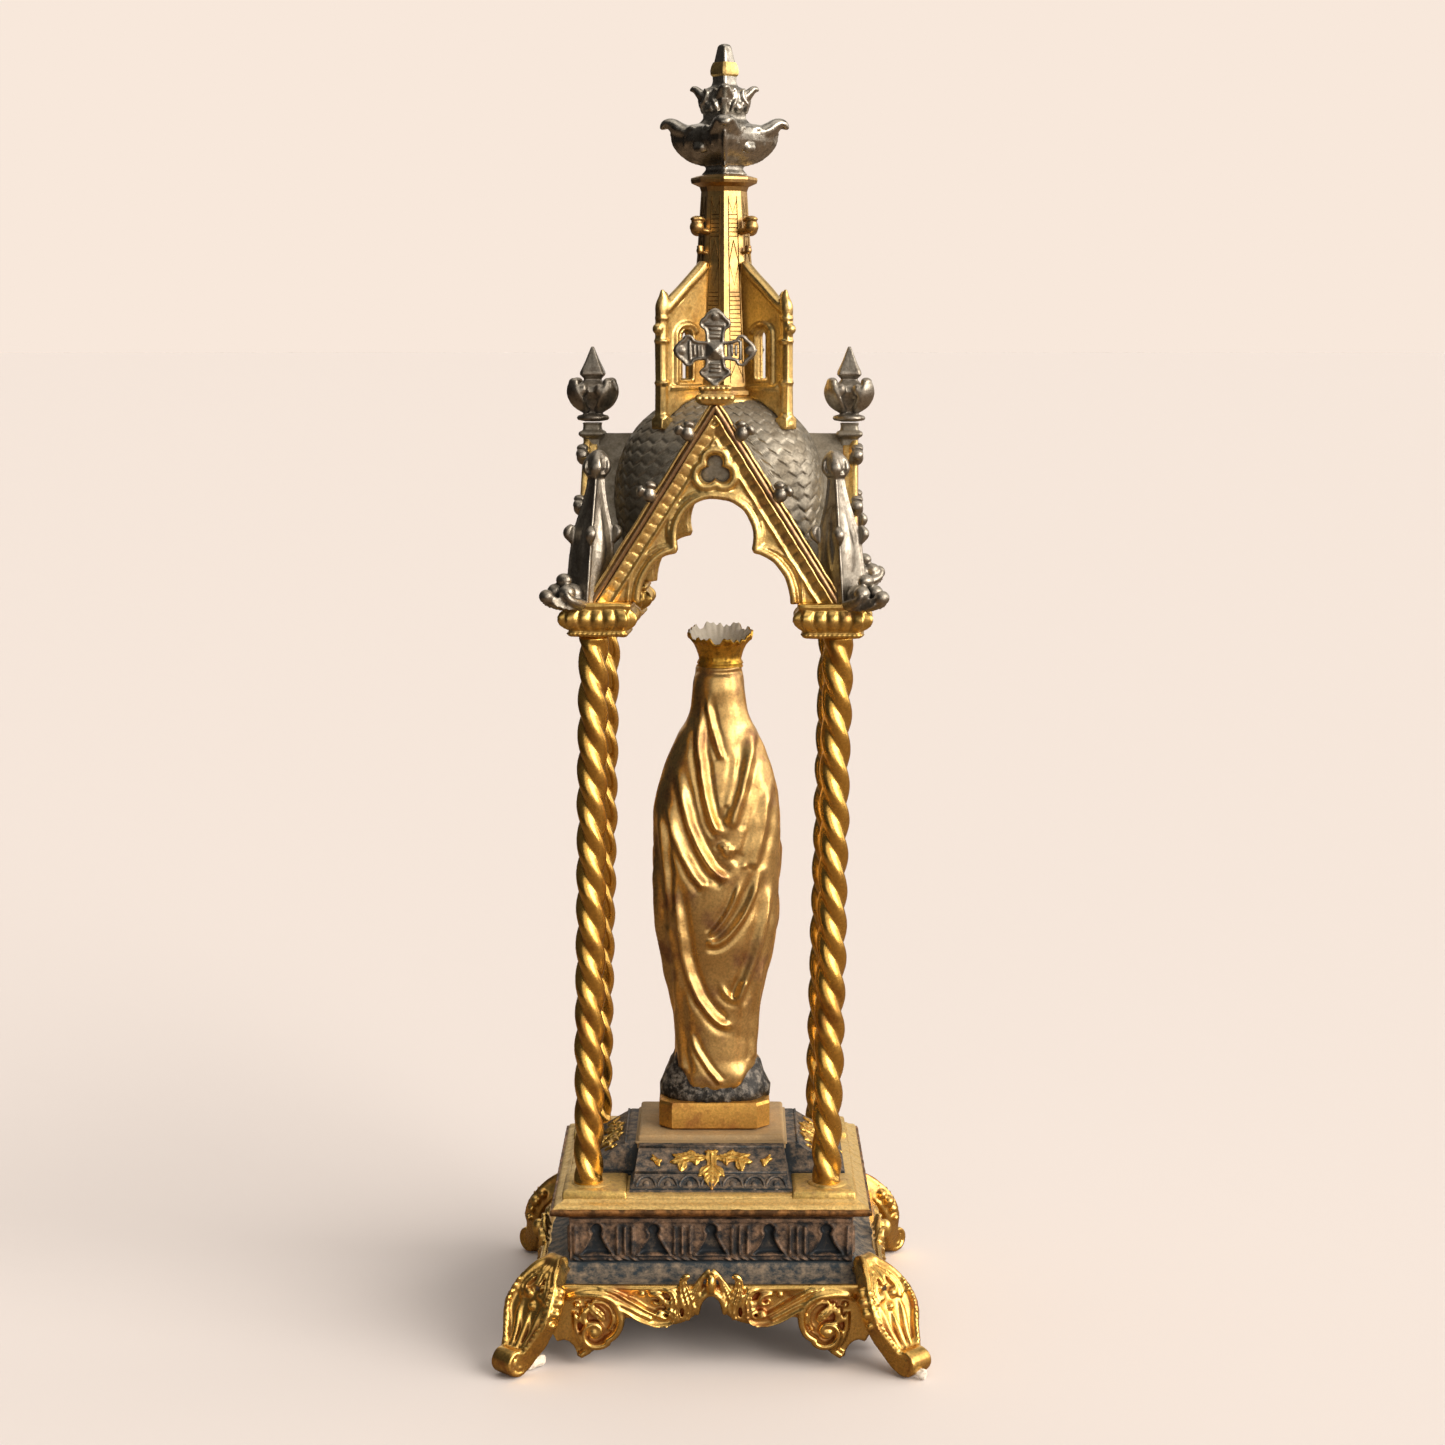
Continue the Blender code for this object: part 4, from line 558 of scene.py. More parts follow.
# Faces sunk more than 0.6 mm into the niches take the niches' darker finish, partly painted shade
niches, wall_faces = [], []
for side, part in enumerate(walls(frieze_rows, frieze_relief)):
    along = (part[0] @ np.array(Matrix.Rotation(side * math.pi / 2, 3, "Z")))[:, 0]
    depth = frieze_relief(along, part[0][:, 2], side)[np.array(part[1])].mean(axis=1)
    for group, half in zip((niches, wall_faces), split(part, depth < -0.6)):
        group.append(uneven(half, 6.0, 0.10))
piece("stand_box", {
    frieze_patina: wall_faces,
    niche_patina_and_shade: niches,
    shoulder_patina: [uneven(part, 6.0, 0.10) for part in walls(shoulder_rows, None, 0.9)],
    stand_inside: walls(inner_rows, None, 6.0) + [top_plate],
}, ["stand"])


def coil(centre, start_radius, end_radius, start, turns, wide, high, level=0.0):
    """Rows of a flat spiral that winds in from its start angle, in degrees."""
    rows = []
    for t in np.linspace(0.0, 1.0, max(6, int(abs(turns) / 18))):
        radius = start_radius + (end_radius - start_radius) * t ** 0.9
        a = math.radians(start + turns * t)
        rows.append((centre[0] + radius * math.cos(a), centre[1] + radius * math.sin(a), level,
                     wide[0] + (wide[1] - wide[0]) * t, high[0] + (high[1] - high[0]) * t))
    return rows


def skirt_edge():
    """Outline of the skirt: a pointed gap in the middle, then a hanging lobe, the C-scroll and its
    pointed tip, and a notch beside the leg, on each side."""
    right = [(0.0, 20.2), (1.6, 19.6), (2.6, 17.6), (3.4, 15.2), (4.4, 13.7), (7.5, 12.0), (11.0, 11.2),
             (14.5, 11.2), (18.5, 12.2), (21.6, 13.2), (23.6, 12.8), (24.2, 11.0), (25.0, 8.9), (27.2, 6.9),
             (30.5, 4.6), (33.2, 2.9), (35.9, 2.2), (36.5, 4.2), (38.2, 6.3), (40.0, 6.9), (41.5, 6.4),
             (42.4, 8.0)]
    smooth = spline([(u, v, 0.0) for u, v in right], 0.7)[:, :2].tolist()
    left = [(-u, v) for u, v in reversed(smooth[1:])]
    return left + smooth + [(SKIRT_HALF - 1.5, 12.0), (SKIRT_HALF - 0.6, 22.5), (-SKIRT_HALF + 0.6, 22.5),
                            (-SKIRT_HALF + 1.5, 12.0)]


UP = (0.0, 0.0, 1.0)


def half_skirt():
    """Ornament of the right half of a skirt: C-scroll, long leaf, curls, flame leaves and half bud."""
    parts = [
        # C-scroll: a raised round rim that winds down and in to a rolled eye, with thinner lines inside
        rib([(38.8, 19.0, -0.4, 0.8, 0.8), (35.4, 20.2, 0.2, 1.0, 1.2)]
            + coil((31.0, 13.2), 7.0, 6.6, 95, 150, (1.1, 1.05), (1.7, 1.6), 0.5), UP),
        rib(coil((31.2, 9.7), 4.6, 1.5, 215, 330, (1.0, 0.75), (1.6, 1.2), 0.5), UP),
        egg((31.2, 9.6, 0.4), (1.8, 1.8, 1.4)),
        rib(coil((31.0, 13.2), 5.0, 4.6, 80, 140, (0.45, 0.4), (1.0, 0.9), 0.0), UP),
        # Small leaf with two lobes that grows into the ring of the scroll from above
        rib([(33.4, 17.8, 0.0, 0.5, 0.6), (31.8, 16.2, 0.5, 1.1, 1.0), (29.8, 14.4, 0.7, 1.2, 1.2),
             (28.8, 12.9, 0.6, 0.5, 0.8)], UP, section=LEAF),
        rib([(34.2, 16.6, 0.0, 0.5, 0.6), (34.4, 14.4, 0.4, 1.0, 1.0), (33.9, 12.4, 0.5, 0.8, 0.9)], UP,
            section=LEAF),
        # Outer contour of the scroll, which ends in the pointed tip
        rib([(36.6, 15.0, 0.0, 0.6, 0.8), (36.3, 10.4, 0.0, 0.7, 0.9), (34.6, 6.4, 0.1, 0.9, 1.0),
             (31.4, 5.4, 0.0, 0.9, 0.9), (28.0, 7.2, 0.0, 0.6, 0.8)], UP),
        rib([(32.6, 4.6, 0.0, 1.0, 0.8), (35.4, 2.9, 0.0, 0.9, 0.8)], UP),
        egg((34.0, 15.3, 0.4), (1.0, 1.0, 0.9)), egg((36.0, 17.3, 0.3), (0.9, 0.9, 0.8)),
        egg((35.4, 13.4, 0.3), (0.8, 0.8, 0.8)),
        # Long leaf that sweeps from the top of the scroll to a curl in the middle of the lobe
        rib([(30.5, 21.2, 0.0, 0.9, 0.9), (26.4, 19.6, 0.4, 1.6, 1.3), (22.0, 16.9, 0.5, 1.9, 1.5),
             (17.6, 14.2, 0.5, 1.9, 1.5), (13.6, 12.7, 0.5, 1.5, 1.4), (11.0, 13.2, 0.6, 1.1, 1.3),
             (10.5, 15.1, 0.9, 0.8, 1.1), (12.2, 15.9, 1.0, 0.6, 0.9)], UP, section=GUTTER),
        rib([(29.0, 20.2, 0.6, 0.4, 0.8), (22.4, 16.9, 1.0, 0.5, 0.8), (16.0, 13.4, 1.0, 0.5, 0.8)], UP),
        egg((13.6, 14.9, 0.5), (1.3, 1.2, 1.2)),
        # Curls over the hollow with its small piercing
        rib([(16.4, 20.4, 0.0, 0.7, 0.9), (14.2, 20.2, 0.4, 0.8, 1.1), (13.0, 18.6, 0.5, 0.8, 1.1),
             (14.2, 17.4, 0.4, 0.6, 0.9), (15.6, 18.2, 0.3, 0.5, 0.8)], UP),
        egg((18.6, 20.2, 0.2), (0.9, 0.8, 0.8)), egg((11.6, 17.6, 0.4), (0.9, 1.2, 1.0)),
        # Flame leaves beside the gap
        rib([(12.6, 21.4, 0.0, 0.5, 0.8), (10.6, 21.0, 0.5, 1.0, 1.2), (9.4, 18.4, 0.7, 1.3, 1.5),
             (9.6, 15.2, 0.6, 1.3, 1.4), (8.6, 12.6, 0.3, 0.8, 1.0)], UP, section=LEAF),
        rib([(5.6, 25.2, 0.9, 0.35, 0.6), (6.6, 25.6, 1.2, 0.7, 0.9), (7.5, 23.6, 0.9, 1.1, 1.3),
             (6.8, 20.2, 0.8, 1.3, 1.6), (5.9, 16.8, 0.8, 1.4, 1.6), (6.6, 13.2, 0.4, 0.9, 1.1)], UP,
            section=LEAF),
        # Lip round the gap, and the leaf that springs from it
        rib([(3.7, 14.6, 0.2, 0.7, 0.9), (3.6, 16.4, 0.4, 0.9, 1.2), (2.9, 18.8, 0.5, 1.0, 1.3),
             (1.2, 20.7, 0.5, 1.0, 1.3), (0.0, 21.1, 0.5, 1.0, 1.3)], UP),
        rib([(0.3, 27.2, 0.5, 0.4, 0.6), (1.9, 25.7, 0.6, 0.5, 0.8), (3.3, 23.0, 0.6, 1.0, 1.1),
             (4.6, 20.0, 0.5, 1.1, 1.3), (4.9, 17.2, 0.4, 0.7, 1.0)], UP, section=LEAF),
    ]
    return parts


sheet = slab([skirt_edge()], -2.3, -0.9)
band = rib([(-SKIRT_HALF + 1.0, 21.8, -0.5, 1.0, 1.1), (SKIRT_HALF - 1.0, 21.8, -0.5, 1.0, 1.1)], UP,
           smooth=False)
low_band = rib([(-SKIRT_HALF + 1.0, 20.4, -0.7, 0.7, 0.7), (-21.0, 20.4, -0.7, 0.7, 0.7)], UP, smooth=False)
ornament = half_skirt()
bud = [egg((0.0, 23.9, 2.2), (1.45, 2.8, 1.9)),
       rib([(0.0, 22.0, 0.4, 0.6, 1.0), (0.0, 20.0, 0.3, 0.9, 1.2)], UP)]
skirt = fused([sheet, band] + bud + both_hands(low_band, *ornament))
# Its orange-brown hollow colour is painted light, the glow reflected between gilt surfaces in the hollows,
# together with dirt
skirt_gilding = gilt_zinc("burnished_gilt_skirt", "#EBC474", "#A8764C", "#8A4206", 0.35, 3.2, 8.0, 0.26)
for side, side_name in enumerate(SIDES):
    fit = 1.0 if side % 2 == 0 else (COLUMN_HALF_Y + SHOULDER_OUT) / SKIRT_HALF
    shape = (skirt[0] * (fit, 1.0, 1.0), skirt[1])
    piece(f"stand_skirt_{side_name}", {skirt_gilding: [
        uneven(moved(shape, side_place(side, SHOULDER_OUT)), 9.0, 0.14, side)]}, ["stand"])


# Bracket legs: a cupped leaf face between two beaded straps runs down the corner and rolls up into
# a scroll foot, and a small volute sits at its head on the shoulder. Cast in one and soldered on.
LEG_SPINE = ((11.6, 26.8, 2.2), (15.6, 24.2, 5.2), (19.6, 19.6, 8.2), (22.0, 14.6, 8.9), (24.0, 9.6, 7.0),
             (27.2, 4.6, 4.6), (30.2, 2.4, 3.4))       # out along the diagonal, level, half width
LEG_FACE = np.array([(b, 0.30 + 0.70 * abs(b) ** 3) for b in ACROSS]
                    + [(-0.92, -0.8), (0.0, -1.15), (0.92, -0.8)])
FOOT_CENTRE = (30.1, 4.25)
FOOT_RADIUS = 3.4
FOOT_HALF_WIDTH = 3.2
HEAD_CENTRE = (12.9, 26.7)

leg_path = spline([(d, 0.0, z, half) for d, z, half in LEG_SPINE], 0.4)
leg_run = np.gradient(leg_path[:, :3], axis=0)
leg_run /= np.linalg.norm(leg_run, axis=1)[:, None]
leg_lift = np.cross((0.0, -1.0, 0.0), leg_run)


def on_leg(share, across, lift, wide=0.8, high=0.8):
    """Row of a rib on the face of the leg, at a share of its length and of its half width."""
    i = min(int(share * (len(leg_path) - 1)), len(leg_path) - 1)
    place = leg_path[i, :3] + leg_lift[i] * lift + np.array((0.0, across * leg_path[i, 3], 0.0))
    return (*place, wide, high)


def leg_rib(rows, section=ROUND):
    """Rib along the face of the leg from rows of share, across, lift, half width and half height."""
    return rib([on_leg(*row) for row in rows], up=(0.75, 0.0, 0.66), section=section)


def roll(centre, radius, half_width, start, turns, thick):
    """Strap rolled up across the leg, with raised edges on both of its flat sides."""
    rows = []
    for t in np.linspace(0.0, 1.0, 26):
        a = math.radians(start + turns * t)
        r = radius * (1.0 - 0.72 * t ** 1.3)
        rows.append((centre[0] + r * math.cos(a), 0.0, centre[1] + r * math.sin(a), half_width, thick))
    strap = rib(rows, across=(0.0, 1.0, 0.0), smooth=False,
                section=np.array([(-1, -1), (-1.06, 0.2), (-0.86, 1), (0.86, 1), (1.06, 0.2), (1, -1)],
                                 float))
    edges = [rib([(x, side * half_width, z, 0.55, 0.75) for x, _, z, _, _ in rows], across=(0.0, 1.0, 0.0),
                 smooth=False) for side in (-1, 1)]
    return [strap] + edges


leg_parts = [rib([(d, 0.0, z, half, 3.0) for d, z, half in LEG_SPINE], across=(0.0, -1.0, 0.0),
                 section=LEG_FACE)]
for side in (-1, 1):
    # Beaded strap along each margin, and the lumps that stand out beyond it
    margin = ((0.04, 0.6), (0.2, 0.86), (0.45, 0.88), (0.7, 0.82), (0.9, 0.72), (1.0, 0.8))
    leg_parts.append(leg_rib([(share, side * out, 2.3, 0.95, 1.0) for share, out in margin]))
    for share in np.arange(0.30, 0.96, 0.052):
        leg_parts.append(egg(on_leg(share, side * (0.88 - 0.12 * share), 3.1)[:3], (0.62, 0.55, 0.6)))
    for share, size in ((0.27, 1.5), (0.36, 1.7), (0.46, 1.4), (0.56, 1.1)):
        leg_parts.append(egg(on_leg(share, side, 0.4)[:3], (size, size, size)))
    # Leaf tips at the head, and the flutes that draw together at the foot
    leg_parts.append(leg_rib([(0.10, side * 0.2, 1.4, 0.5, 0.7), (0.22, side * 0.5, 1.9, 1.3, 1.2),
                              (0.33, side * 0.62, 1.6, 1.4, 1.3), (0.42, side * 0.5, 1.2, 0.6, 0.9)], LEAF))
    leg_parts.append(leg_rib([(0.42, side * 0.46, 0.7, 0.5, 0.6), (0.56, side * 0.42, 1.2, 1.0, 1.1),
                              (0.74, side * 0.40, 1.4, 0.9, 1.1), (0.94, side * 0.42, 1.5, 0.5, 0.8)]))
    leg_parts.append(egg(on_leg(0.37, side * 0.30, 1.1)[:3], (1.4, 1.5, 1.4)))
leg_parts.append(leg_rib([(0.50, 0.0, 0.8, 0.5, 0.6), (0.62, 0.0, 1.4, 1.0, 1.2), (0.78, 0.0, 1.6, 0.9, 1.1),
                          (0.96, 0.0, 1.7, 0.5, 0.8)]))
leg_parts.append(leg_rib([(0.06, 0.0, 1.2, 0.8, 0.9), (0.18, 0.0, 1.9, 1.2, 1.3),
                          (0.30, 0.0, 1.8, 1.0, 1.2)], LEAF))
leg_parts.append(egg(on_leg(0.46, 0.0, 1.0)[:3], (1.2, 1.3, 1.2)))
leg_parts += roll(FOOT_CENTRE, FOOT_RADIUS, FOOT_HALF_WIDTH, -125, 500, 0.75)
leg_parts.append(egg((FOOT_CENTRE[0], 0.0, FOOT_CENTRE[1]), (1.1, FOOT_HALF_WIDTH + 0.3, 1.1)))
leg_parts += roll(HEAD_CENTRE, 2.2, 2.0, -60, 470, 0.6)
leg_parts.append(egg((HEAD_CENTRE[0], 0.0, HEAD_CENTRE[1]), (0.9, 2.5, 0.9)))
leg_parts.append(rib([(9.4, 0.0, 24.6, 1.6, 1.0), (12.0, 0.0, 24.0, 2.4, 1.4), (15.4, 0.0, 22.0, 3.4, 1.6)],
                     across=(0.0, -1.0, 0.0)))
leg = fused(leg_parts, 0.33)
leg = (leg[0] + (0.0, 0.0, max(0.0, -leg[0][:, 2].min())), leg[1])

leg_gilding = gilt_zinc("burnished_gilt_legs", "#EBC06C", "#A9704A", "#7A3A0C", 0.45, 3.0, 7.0, 0.28)
bare_plaster = dark_patina("chipped_plaster", "#CFC6B8", "#F3EEE4", 0.9, 2.0, 0.9, 0.0, "#D8CEC0")
for name, sign_x, sign_y in CORNERS[::2] + CORNERS[::-2]:        # once round the stand
    corner = Matrix.Translation((sign_x * COLUMN_HALF_X, sign_y * COLUMN_HALF_Y, 0.0))
    corner = corner @ Matrix.Rotation(math.atan2(sign_y, sign_x), 4, "Z")
    shape = uneven(moved(leg, corner), 8.0, 0.16, 11 + sign_x + 2 * sign_y)
    piece("stand_leg_" + name, {leg_gilding: [shape]}, ["stand"])


def plaster_chip(name, place, length, turn):
    """Rough white patch of plaster left on a foot, from an old repair."""
    lumps = []
    dice = random.Random(name)
    for i in range(7):
        at = (length * (i / 6 - 0.5), dice.uniform(-0.5, 0.5), dice.uniform(-0.3, 0.4))
        lumps.append(egg(at, (dice.uniform(0.9, 1.5), dice.uniform(0.9, 1.4), dice.uniform(1.0, 1.7))))
    chip = uneven(fused(lumps, 0.22, 1), 1.1, 0.30, 5)
    chip = moved(chip, Matrix.Translation(place) @ Matrix.Rotation(math.radians(turn), 4, "Z"))
    piece(name, {bare_plaster: [(chip[0] + (0, 0, max(0.0, -chip[0][:, 2].min())), chip[1])]}, ["stand"])


plaster_chip("plaster_on_left_foot", (-48.0, -46.6, 2.2), 6.0, 42)
plaster_chip("plaster_on_right_foot", (53.6, -51.6, 1.7), 6.5, -30)


# Base plate: a moulded square plate of gilt zinc, cast in one with a low cross-shaped plinth. The
# plinth's slopes are patinated blue-black under gilt leaf sprays, and its top carries the figure.
PLATE_TOP = 45.3
PLINTH_HALF_X = 22.2                 # half width of the arm that runs front to back
PLINTH_HALF_Y = 18.8
PLINTH_OUT = 4.6
SLOPE_RUN = 11.6
SLOPE_RISE = 7.2
SLOPE_START = 1.6                    # level of the slope's foot over the plate
PLATFORM_TOP = 56.3

plate_gilding = gilt_zinc("satin_gilt_plate", "#EECE86", "#C8A462", "#5A3A1C", 0.4, 1.6, 2.4, 0.38, 0.2, 1.0)
rubbed_and_shaded_plate_edge = gilt_zinc("rubbed_gilt_with_painted_shade_under_plate", "#A87A4C", "#3E322A", "#1E1814", 0.9, 1.8, 3.0, 0.45)
plinth_patina = dark_patina("dark_patina_plinth", "#263038", "#9A8876", 0.52, 2.2, ground="#756452")
dusty_top = dark_patina("dusty_gilt_platform", "#A08A68", "#C8B088", 0.6, 6.0, 0.7, 0.3, "#A07C48")

under = [(5.6, 38.72), (6.4, 38.9), (8.4, 39.5), (9.9, 40.2), (10.5, 40.5)]
fascia = [(10.5, 40.5), (10.85, 40.7), (10.95, 41.0), (10.95, 41.8), (10.75, 42.15), (10.2, 42.25)]
ogee = [(10.2, 42.25), (10.1, 42.5), (9.8, 42.9), (9.2, 43.25), (8.5, 43.45), (7.9, 43.75), (7.5, 44.15),
        (7.2, 44.3)]
strip = [(7.2, 44.3), (6.9, 44.3), (6.8, 44.65), (6.5, 44.85), (5.4, 45.15), (4.8, 45.3), (2.0, PLATE_TOP)]
bed = level_plate(2.6, 38.75, PLATE_TOP)
# Underside and fascia: gilding rubbed to a dark ground, worn on the fascia, and on the underside also
# painted shade under the overhang
edge_parts = walls(under, None, 0.8) + walls(fascia, None, 0.8)
bright_parts = walls(ogee, None, 0.8) + walls(strip, None, 0.8)
piece("base_plate_mouldings", {rubbed_and_shaded_plate_edge: [uneven(part, 5.0, 0.10) for part in edge_parts],
                               plate_gilding: [uneven(part, 5.0, 0.10) for part in bright_parts] + [bed]},
      ["base_plate"], crease=50)


def level_box(half_x, half_y, rows, centre=(0.0, 0.0), corner=0.5):
    """Stack of level rectangles with small round corners, from rows of inset and level."""
    rings = []
    for inset, level in rows:
        outline = []
        for sx, sy, start in ((1, 1, 0), (-1, 1, 90), (-1, -1, 180), (1, -1, 270)):
            for turn in (0, 30, 60, 90):
                a = math.radians(start + turn)
                outline.append((centre[0] + sx * (half_x - inset - corner) + corner * math.cos(a),
                                centre[1] + sy * (half_y - inset - corner) + corner * math.sin(a), level))
        rings.append(outline)
    return skin(rings)


blocks = []
for _, sign_x, sign_y in CORNERS:
    centre = (sign_x * (COLUMN_HALF_X - 1.4) - 0.55, sign_y * (COLUMN_HALF_Y - 1.4))
    blocks.append(level_box(8.6, 8.6, ((0.0, 44.0), (0.0, 45.6), (0.3, 46.1), (1.2, 46.5)), centre, 0.4))
    pad_middle = (centre[0] + sign_x * 1.2, centre[1] + sign_y * 1.0)
    blocks.append(skin([ring(r, z, 28, pad_middle) for r, z in ((5.6, 46.2), (5.2, 46.9), (4.2, 47.1))]))
block_gilding = gilt_zinc("worn_gilt_blocks", "#DFBF72", "#A88858", "#40301E", 0.6, 2.6, 2.4, 0.40, 0.25,
                          1.0)
piece("column_blocks", {block_gilding: [uneven(part, 5.0, 0.10) for part in blocks]}, ["base_plate"],
      crease=50)

arm_x, arm_y = COLUMN_HALF_X + PLINTH_OUT, COLUMN_HALF_Y + PLINTH_OUT
foot = ((0.0, PLATE_TOP - 1.0), (0.0, PLATE_TOP + 0.5), (0.35, PLATE_TOP + 0.7), (0.3, PLATE_TOP + 1.1),
        (0.7, PLATE_TOP + 1.3))


def arm(half_x, half_y, ends_on_y):
    """One bar of the cross plinth, sloped at its two ends and nearly upright along its sides."""
    rings = []
    rows = [(inset, inset, level) for inset, level in foot]
    rows += [(0.9 + 1.4 * t, 2.0 + SLOPE_RUN * t, PLATE_TOP + SLOPE_START + SLOPE_RISE * t)
             for t in np.linspace(0.0, 1.0, 5)]
    rows.append((2.4, 2.4 + SLOPE_RUN, PLATE_TOP + SLOPE_START + SLOPE_RISE + 0.1))
    for side_in, end_in, level in rows:
        x = half_x - (side_in if ends_on_y else end_in)
        y = half_y - (end_in if ends_on_y else side_in)
        rings.append([(-x, -y, level), (x, -y, level), (x, y, level), (-x, y, level)])
    return skin(rings)


plinth_parts = [arm(PLINTH_HALF_X, arm_y, True), arm(arm_x - 0.05, PLINTH_HALF_Y, False)]
platform_rows = ((0.0, 52.6), (0.0, 53.9), (-0.4, 54.0), (-0.4, 54.25), (0.3, 54.5), (0.3, 55.7),
                 (0.55, 56.1), (1.1, PLATFORM_TOP))
platform = level_box(PLINTH_HALF_X - 1.6, PLINTH_HALF_Y - 1.6, platform_rows, corner=0.6)
piece("cross_plinth", {plinth_patina: [uneven(part, 6.0, 0.08) for part in plinth_parts]}, ["base_plate"],
      crease=40)
piece("platform", {dusty_top: [uneven(platform, 6.0, 0.10)]}, ["base_plate"], crease=50)


def slope_place(side):
    """Frame of a slope of the plinth: x along it, y up the slope from its foot, z out of it."""
    lean = Matrix.Rotation(-math.atan2(SLOPE_RUN, SLOPE_RISE), 4, "X")
    return side_place(side, PLINTH_OUT - 2.0, PLATE_TOP + SLOPE_START) @ lean


def leaf_blade(spine, lobes, wide, high):
    """Lobed leaf: a blade along its spine with pointed lobes that leave it on both sides."""
    parts = [rib([(*place, 0.0, wide * w, high) for *place, w in spine], UP, section=LEAF)]
    for start, end, size in lobes:
        middle = [(a + b) / 2 for a, b in zip(start, end)]
        parts.append(rib([(*start, 0.0, 0.5 * size, high), (*middle, 0.15, size, high * 1.1),
                          (*end, 0.0, 0.15 * size, high * 0.6)], UP, section=LEAF))
    return parts


spray_parts = leaf_blade(
    ((0.0, 11.6, 0.4), (0.0, 9.6, 0.8), (0.1, 6.6, 0.75), (0.1, 3.4, 1.2), (0.1, 1.0, 1.0),
     (0.1, -2.2, 0.15)),
    (((-0.4, 6.2), (-3.6, 2.6), 1.3), ((0.6, 6.2), (3.6, 2.6), 1.3), ((-0.3, 3.2), (-1.9, 0.6), 1.0),
     ((0.4, 3.2), (2.1, 0.6), 1.0), ((0.0, 11.0), (-1.9, 11.4), 0.8), ((0.0, 11.0), (2.0, 11.5), 0.8)),
    1.8, 0.85)
side_leaf = leaf_blade(
    ((1.6, 9.4, 0.5), (4.0, 9.2, 1.0), (6.4, 9.6, 1.2), (8.6, 8.4, 0.9), (10.6, 7.2, 0.2)),
    (((5.0, 9.6), (6.0, 12.2), 0.9), ((7.6, 9.0), (10.8, 10.6), 1.0), ((7.4, 8.2), (8.4, 4.2), 1.4),
     ((4.0, 9.0), (4.2, 6.4), 0.9), ((9.2, 8.0), (11.4, 7.8), 0.8)), 1.5, 0.8)
sprig = leaf_blade(((14.2, 6.2, 0.4), (14.9, 8.0, 0.9), (16.2, 10.4, 0.3)),
                   (((14.8, 7.6), (13.4, 8.6), 0.6), ((15.2, 8.6), (16.8, 8.8), 0.6)), 0.9, 0.7)
spray = fused(spray_parts + both_hands(*side_leaf, *sprig), 0.27, 2)
spray_gilding = gilt_zinc("gilt_leaf_spray", "#E2BA66", "#B08048", "#5A3A18", 0.45, 1.4, 4.0, 0.34)
for side in range(4):
    place = slope_place(side)
    fit = 1.0 if side % 2 == 0 else 0.82
    shape = (spray[0] * (fit, 1.0, 1.0), spray[1])
    edge = PLINTH_HALF_X - 1.6 if side % 2 == 0 else PLINTH_HALF_Y - 1.6
    arcs = []
    count = 7 if side % 2 == 0 else 6
    for i in range(count):
        centre = (2 * i + 1 - count) * edge / count
        arcs.append(rib([(centre + 0.46 * edge / count * 2 * math.cos(a), -1.2 + 3.9 * math.sin(a), 0.0,
                          0.45, 0.5) for a in np.linspace(0.0, math.pi, 9)], UP))
        arcs.append(egg((centre, -0.4, -0.2), (1.1, 1.9, 0.7)))
    arcs.append(rib([(-edge, 4.1, 0.0, 0.4, 0.45), (edge, 4.1, 0.0, 0.4, 0.45)], UP, smooth=False))
    arcs.append(rib([(-edge + 1.0, 13.2, 0.0, 0.4, 0.5), (edge - 1.0, 13.2, 0.0, 0.4, 0.5)], UP,
                    smooth=False))
    piece(f"plinth_scallops_{side}", {plinth_patina: [uneven(moved(part, place), 4.0, 0.08)
                                                      for part in arcs]}, ["base_plate"])
    piece(f"plinth_leaves_{side}", {spray_gilding: [moved(shape, place)]}, ["base_plate"])


# Twisted columns: three strands of cast zinc wound to the left, gilt, each screwed between a block
# of the base plate and a capital. They stand a little out of true.
COLUMN_FOOT = 46.8
COLUMN_HEAD = 196.1
COLUMN_PITCH = 28.5                  # height of a whole turn of a strand
STRANDS = 3
STRAND_OFFSET = 1.75
STRAND_RADIUS = 2.35
COLUMN_END_RADIUS = 3.9              # of the plain collar at each end
COLUMN_FOOT_SHIFT = -1.1
COLUMN_HEAD_SHIFT = 1.8
COLUMN_HEAD_TURN = math.radians(-1.0)

column_gilding = gilt_zinc("burnished_gilt_columns", "#EBBB60", "#A87038", "#4A2408", 0.4, 3.0, 12.0, 0.24)
share = np.linspace(0.0, 1.0, 250)[:, None]
around = full_turn(42)[None]
twist = -2 * math.pi * (COLUMN_HEAD - COLUMN_FOOT) / COLUMN_PITCH * share
strand = np.remainder(around - twist, 2 * math.pi / STRANDS) - math.pi / STRANDS
radius = STRAND_OFFSET * np.cos(strand) + np.sqrt(STRAND_RADIUS ** 2 - (STRAND_OFFSET * np.sin(strand)) ** 2)
end = np.minimum(share, 1 - share) * (COLUMN_HEAD - COLUMN_FOOT)
radius += (COLUMN_END_RADIUS - radius) * ramp(2.2, 0.6, end)
twisted = np.stack([radius * np.cos(around), radius * np.sin(around), 0.0 * radius], axis=-1)
for name, sign_x, sign_y in sorted(CORNERS):
    axis = Vector((sign_x * COLUMN_HALF_X, sign_y * COLUMN_HALF_Y, 0.0))
    foot_place = np.array(axis + Vector((COLUMN_FOOT_SHIFT, 0.0, COLUMN_FOOT)))
    head_place = np.array(Matrix.Rotation(COLUMN_HEAD_TURN, 4, "Z") @ axis
                          + Vector((COLUMN_HEAD_SHIFT, 0.0, COLUMN_HEAD)))
    column = skin(twisted + foot_place + (head_place - foot_place) * share[..., None])
    piece("twisted_column_" + name, {column_gilding: [uneven(column, 14.0, 0.16, 3 + sign_x + 2 * sign_y)]},
          ["column_" + name])


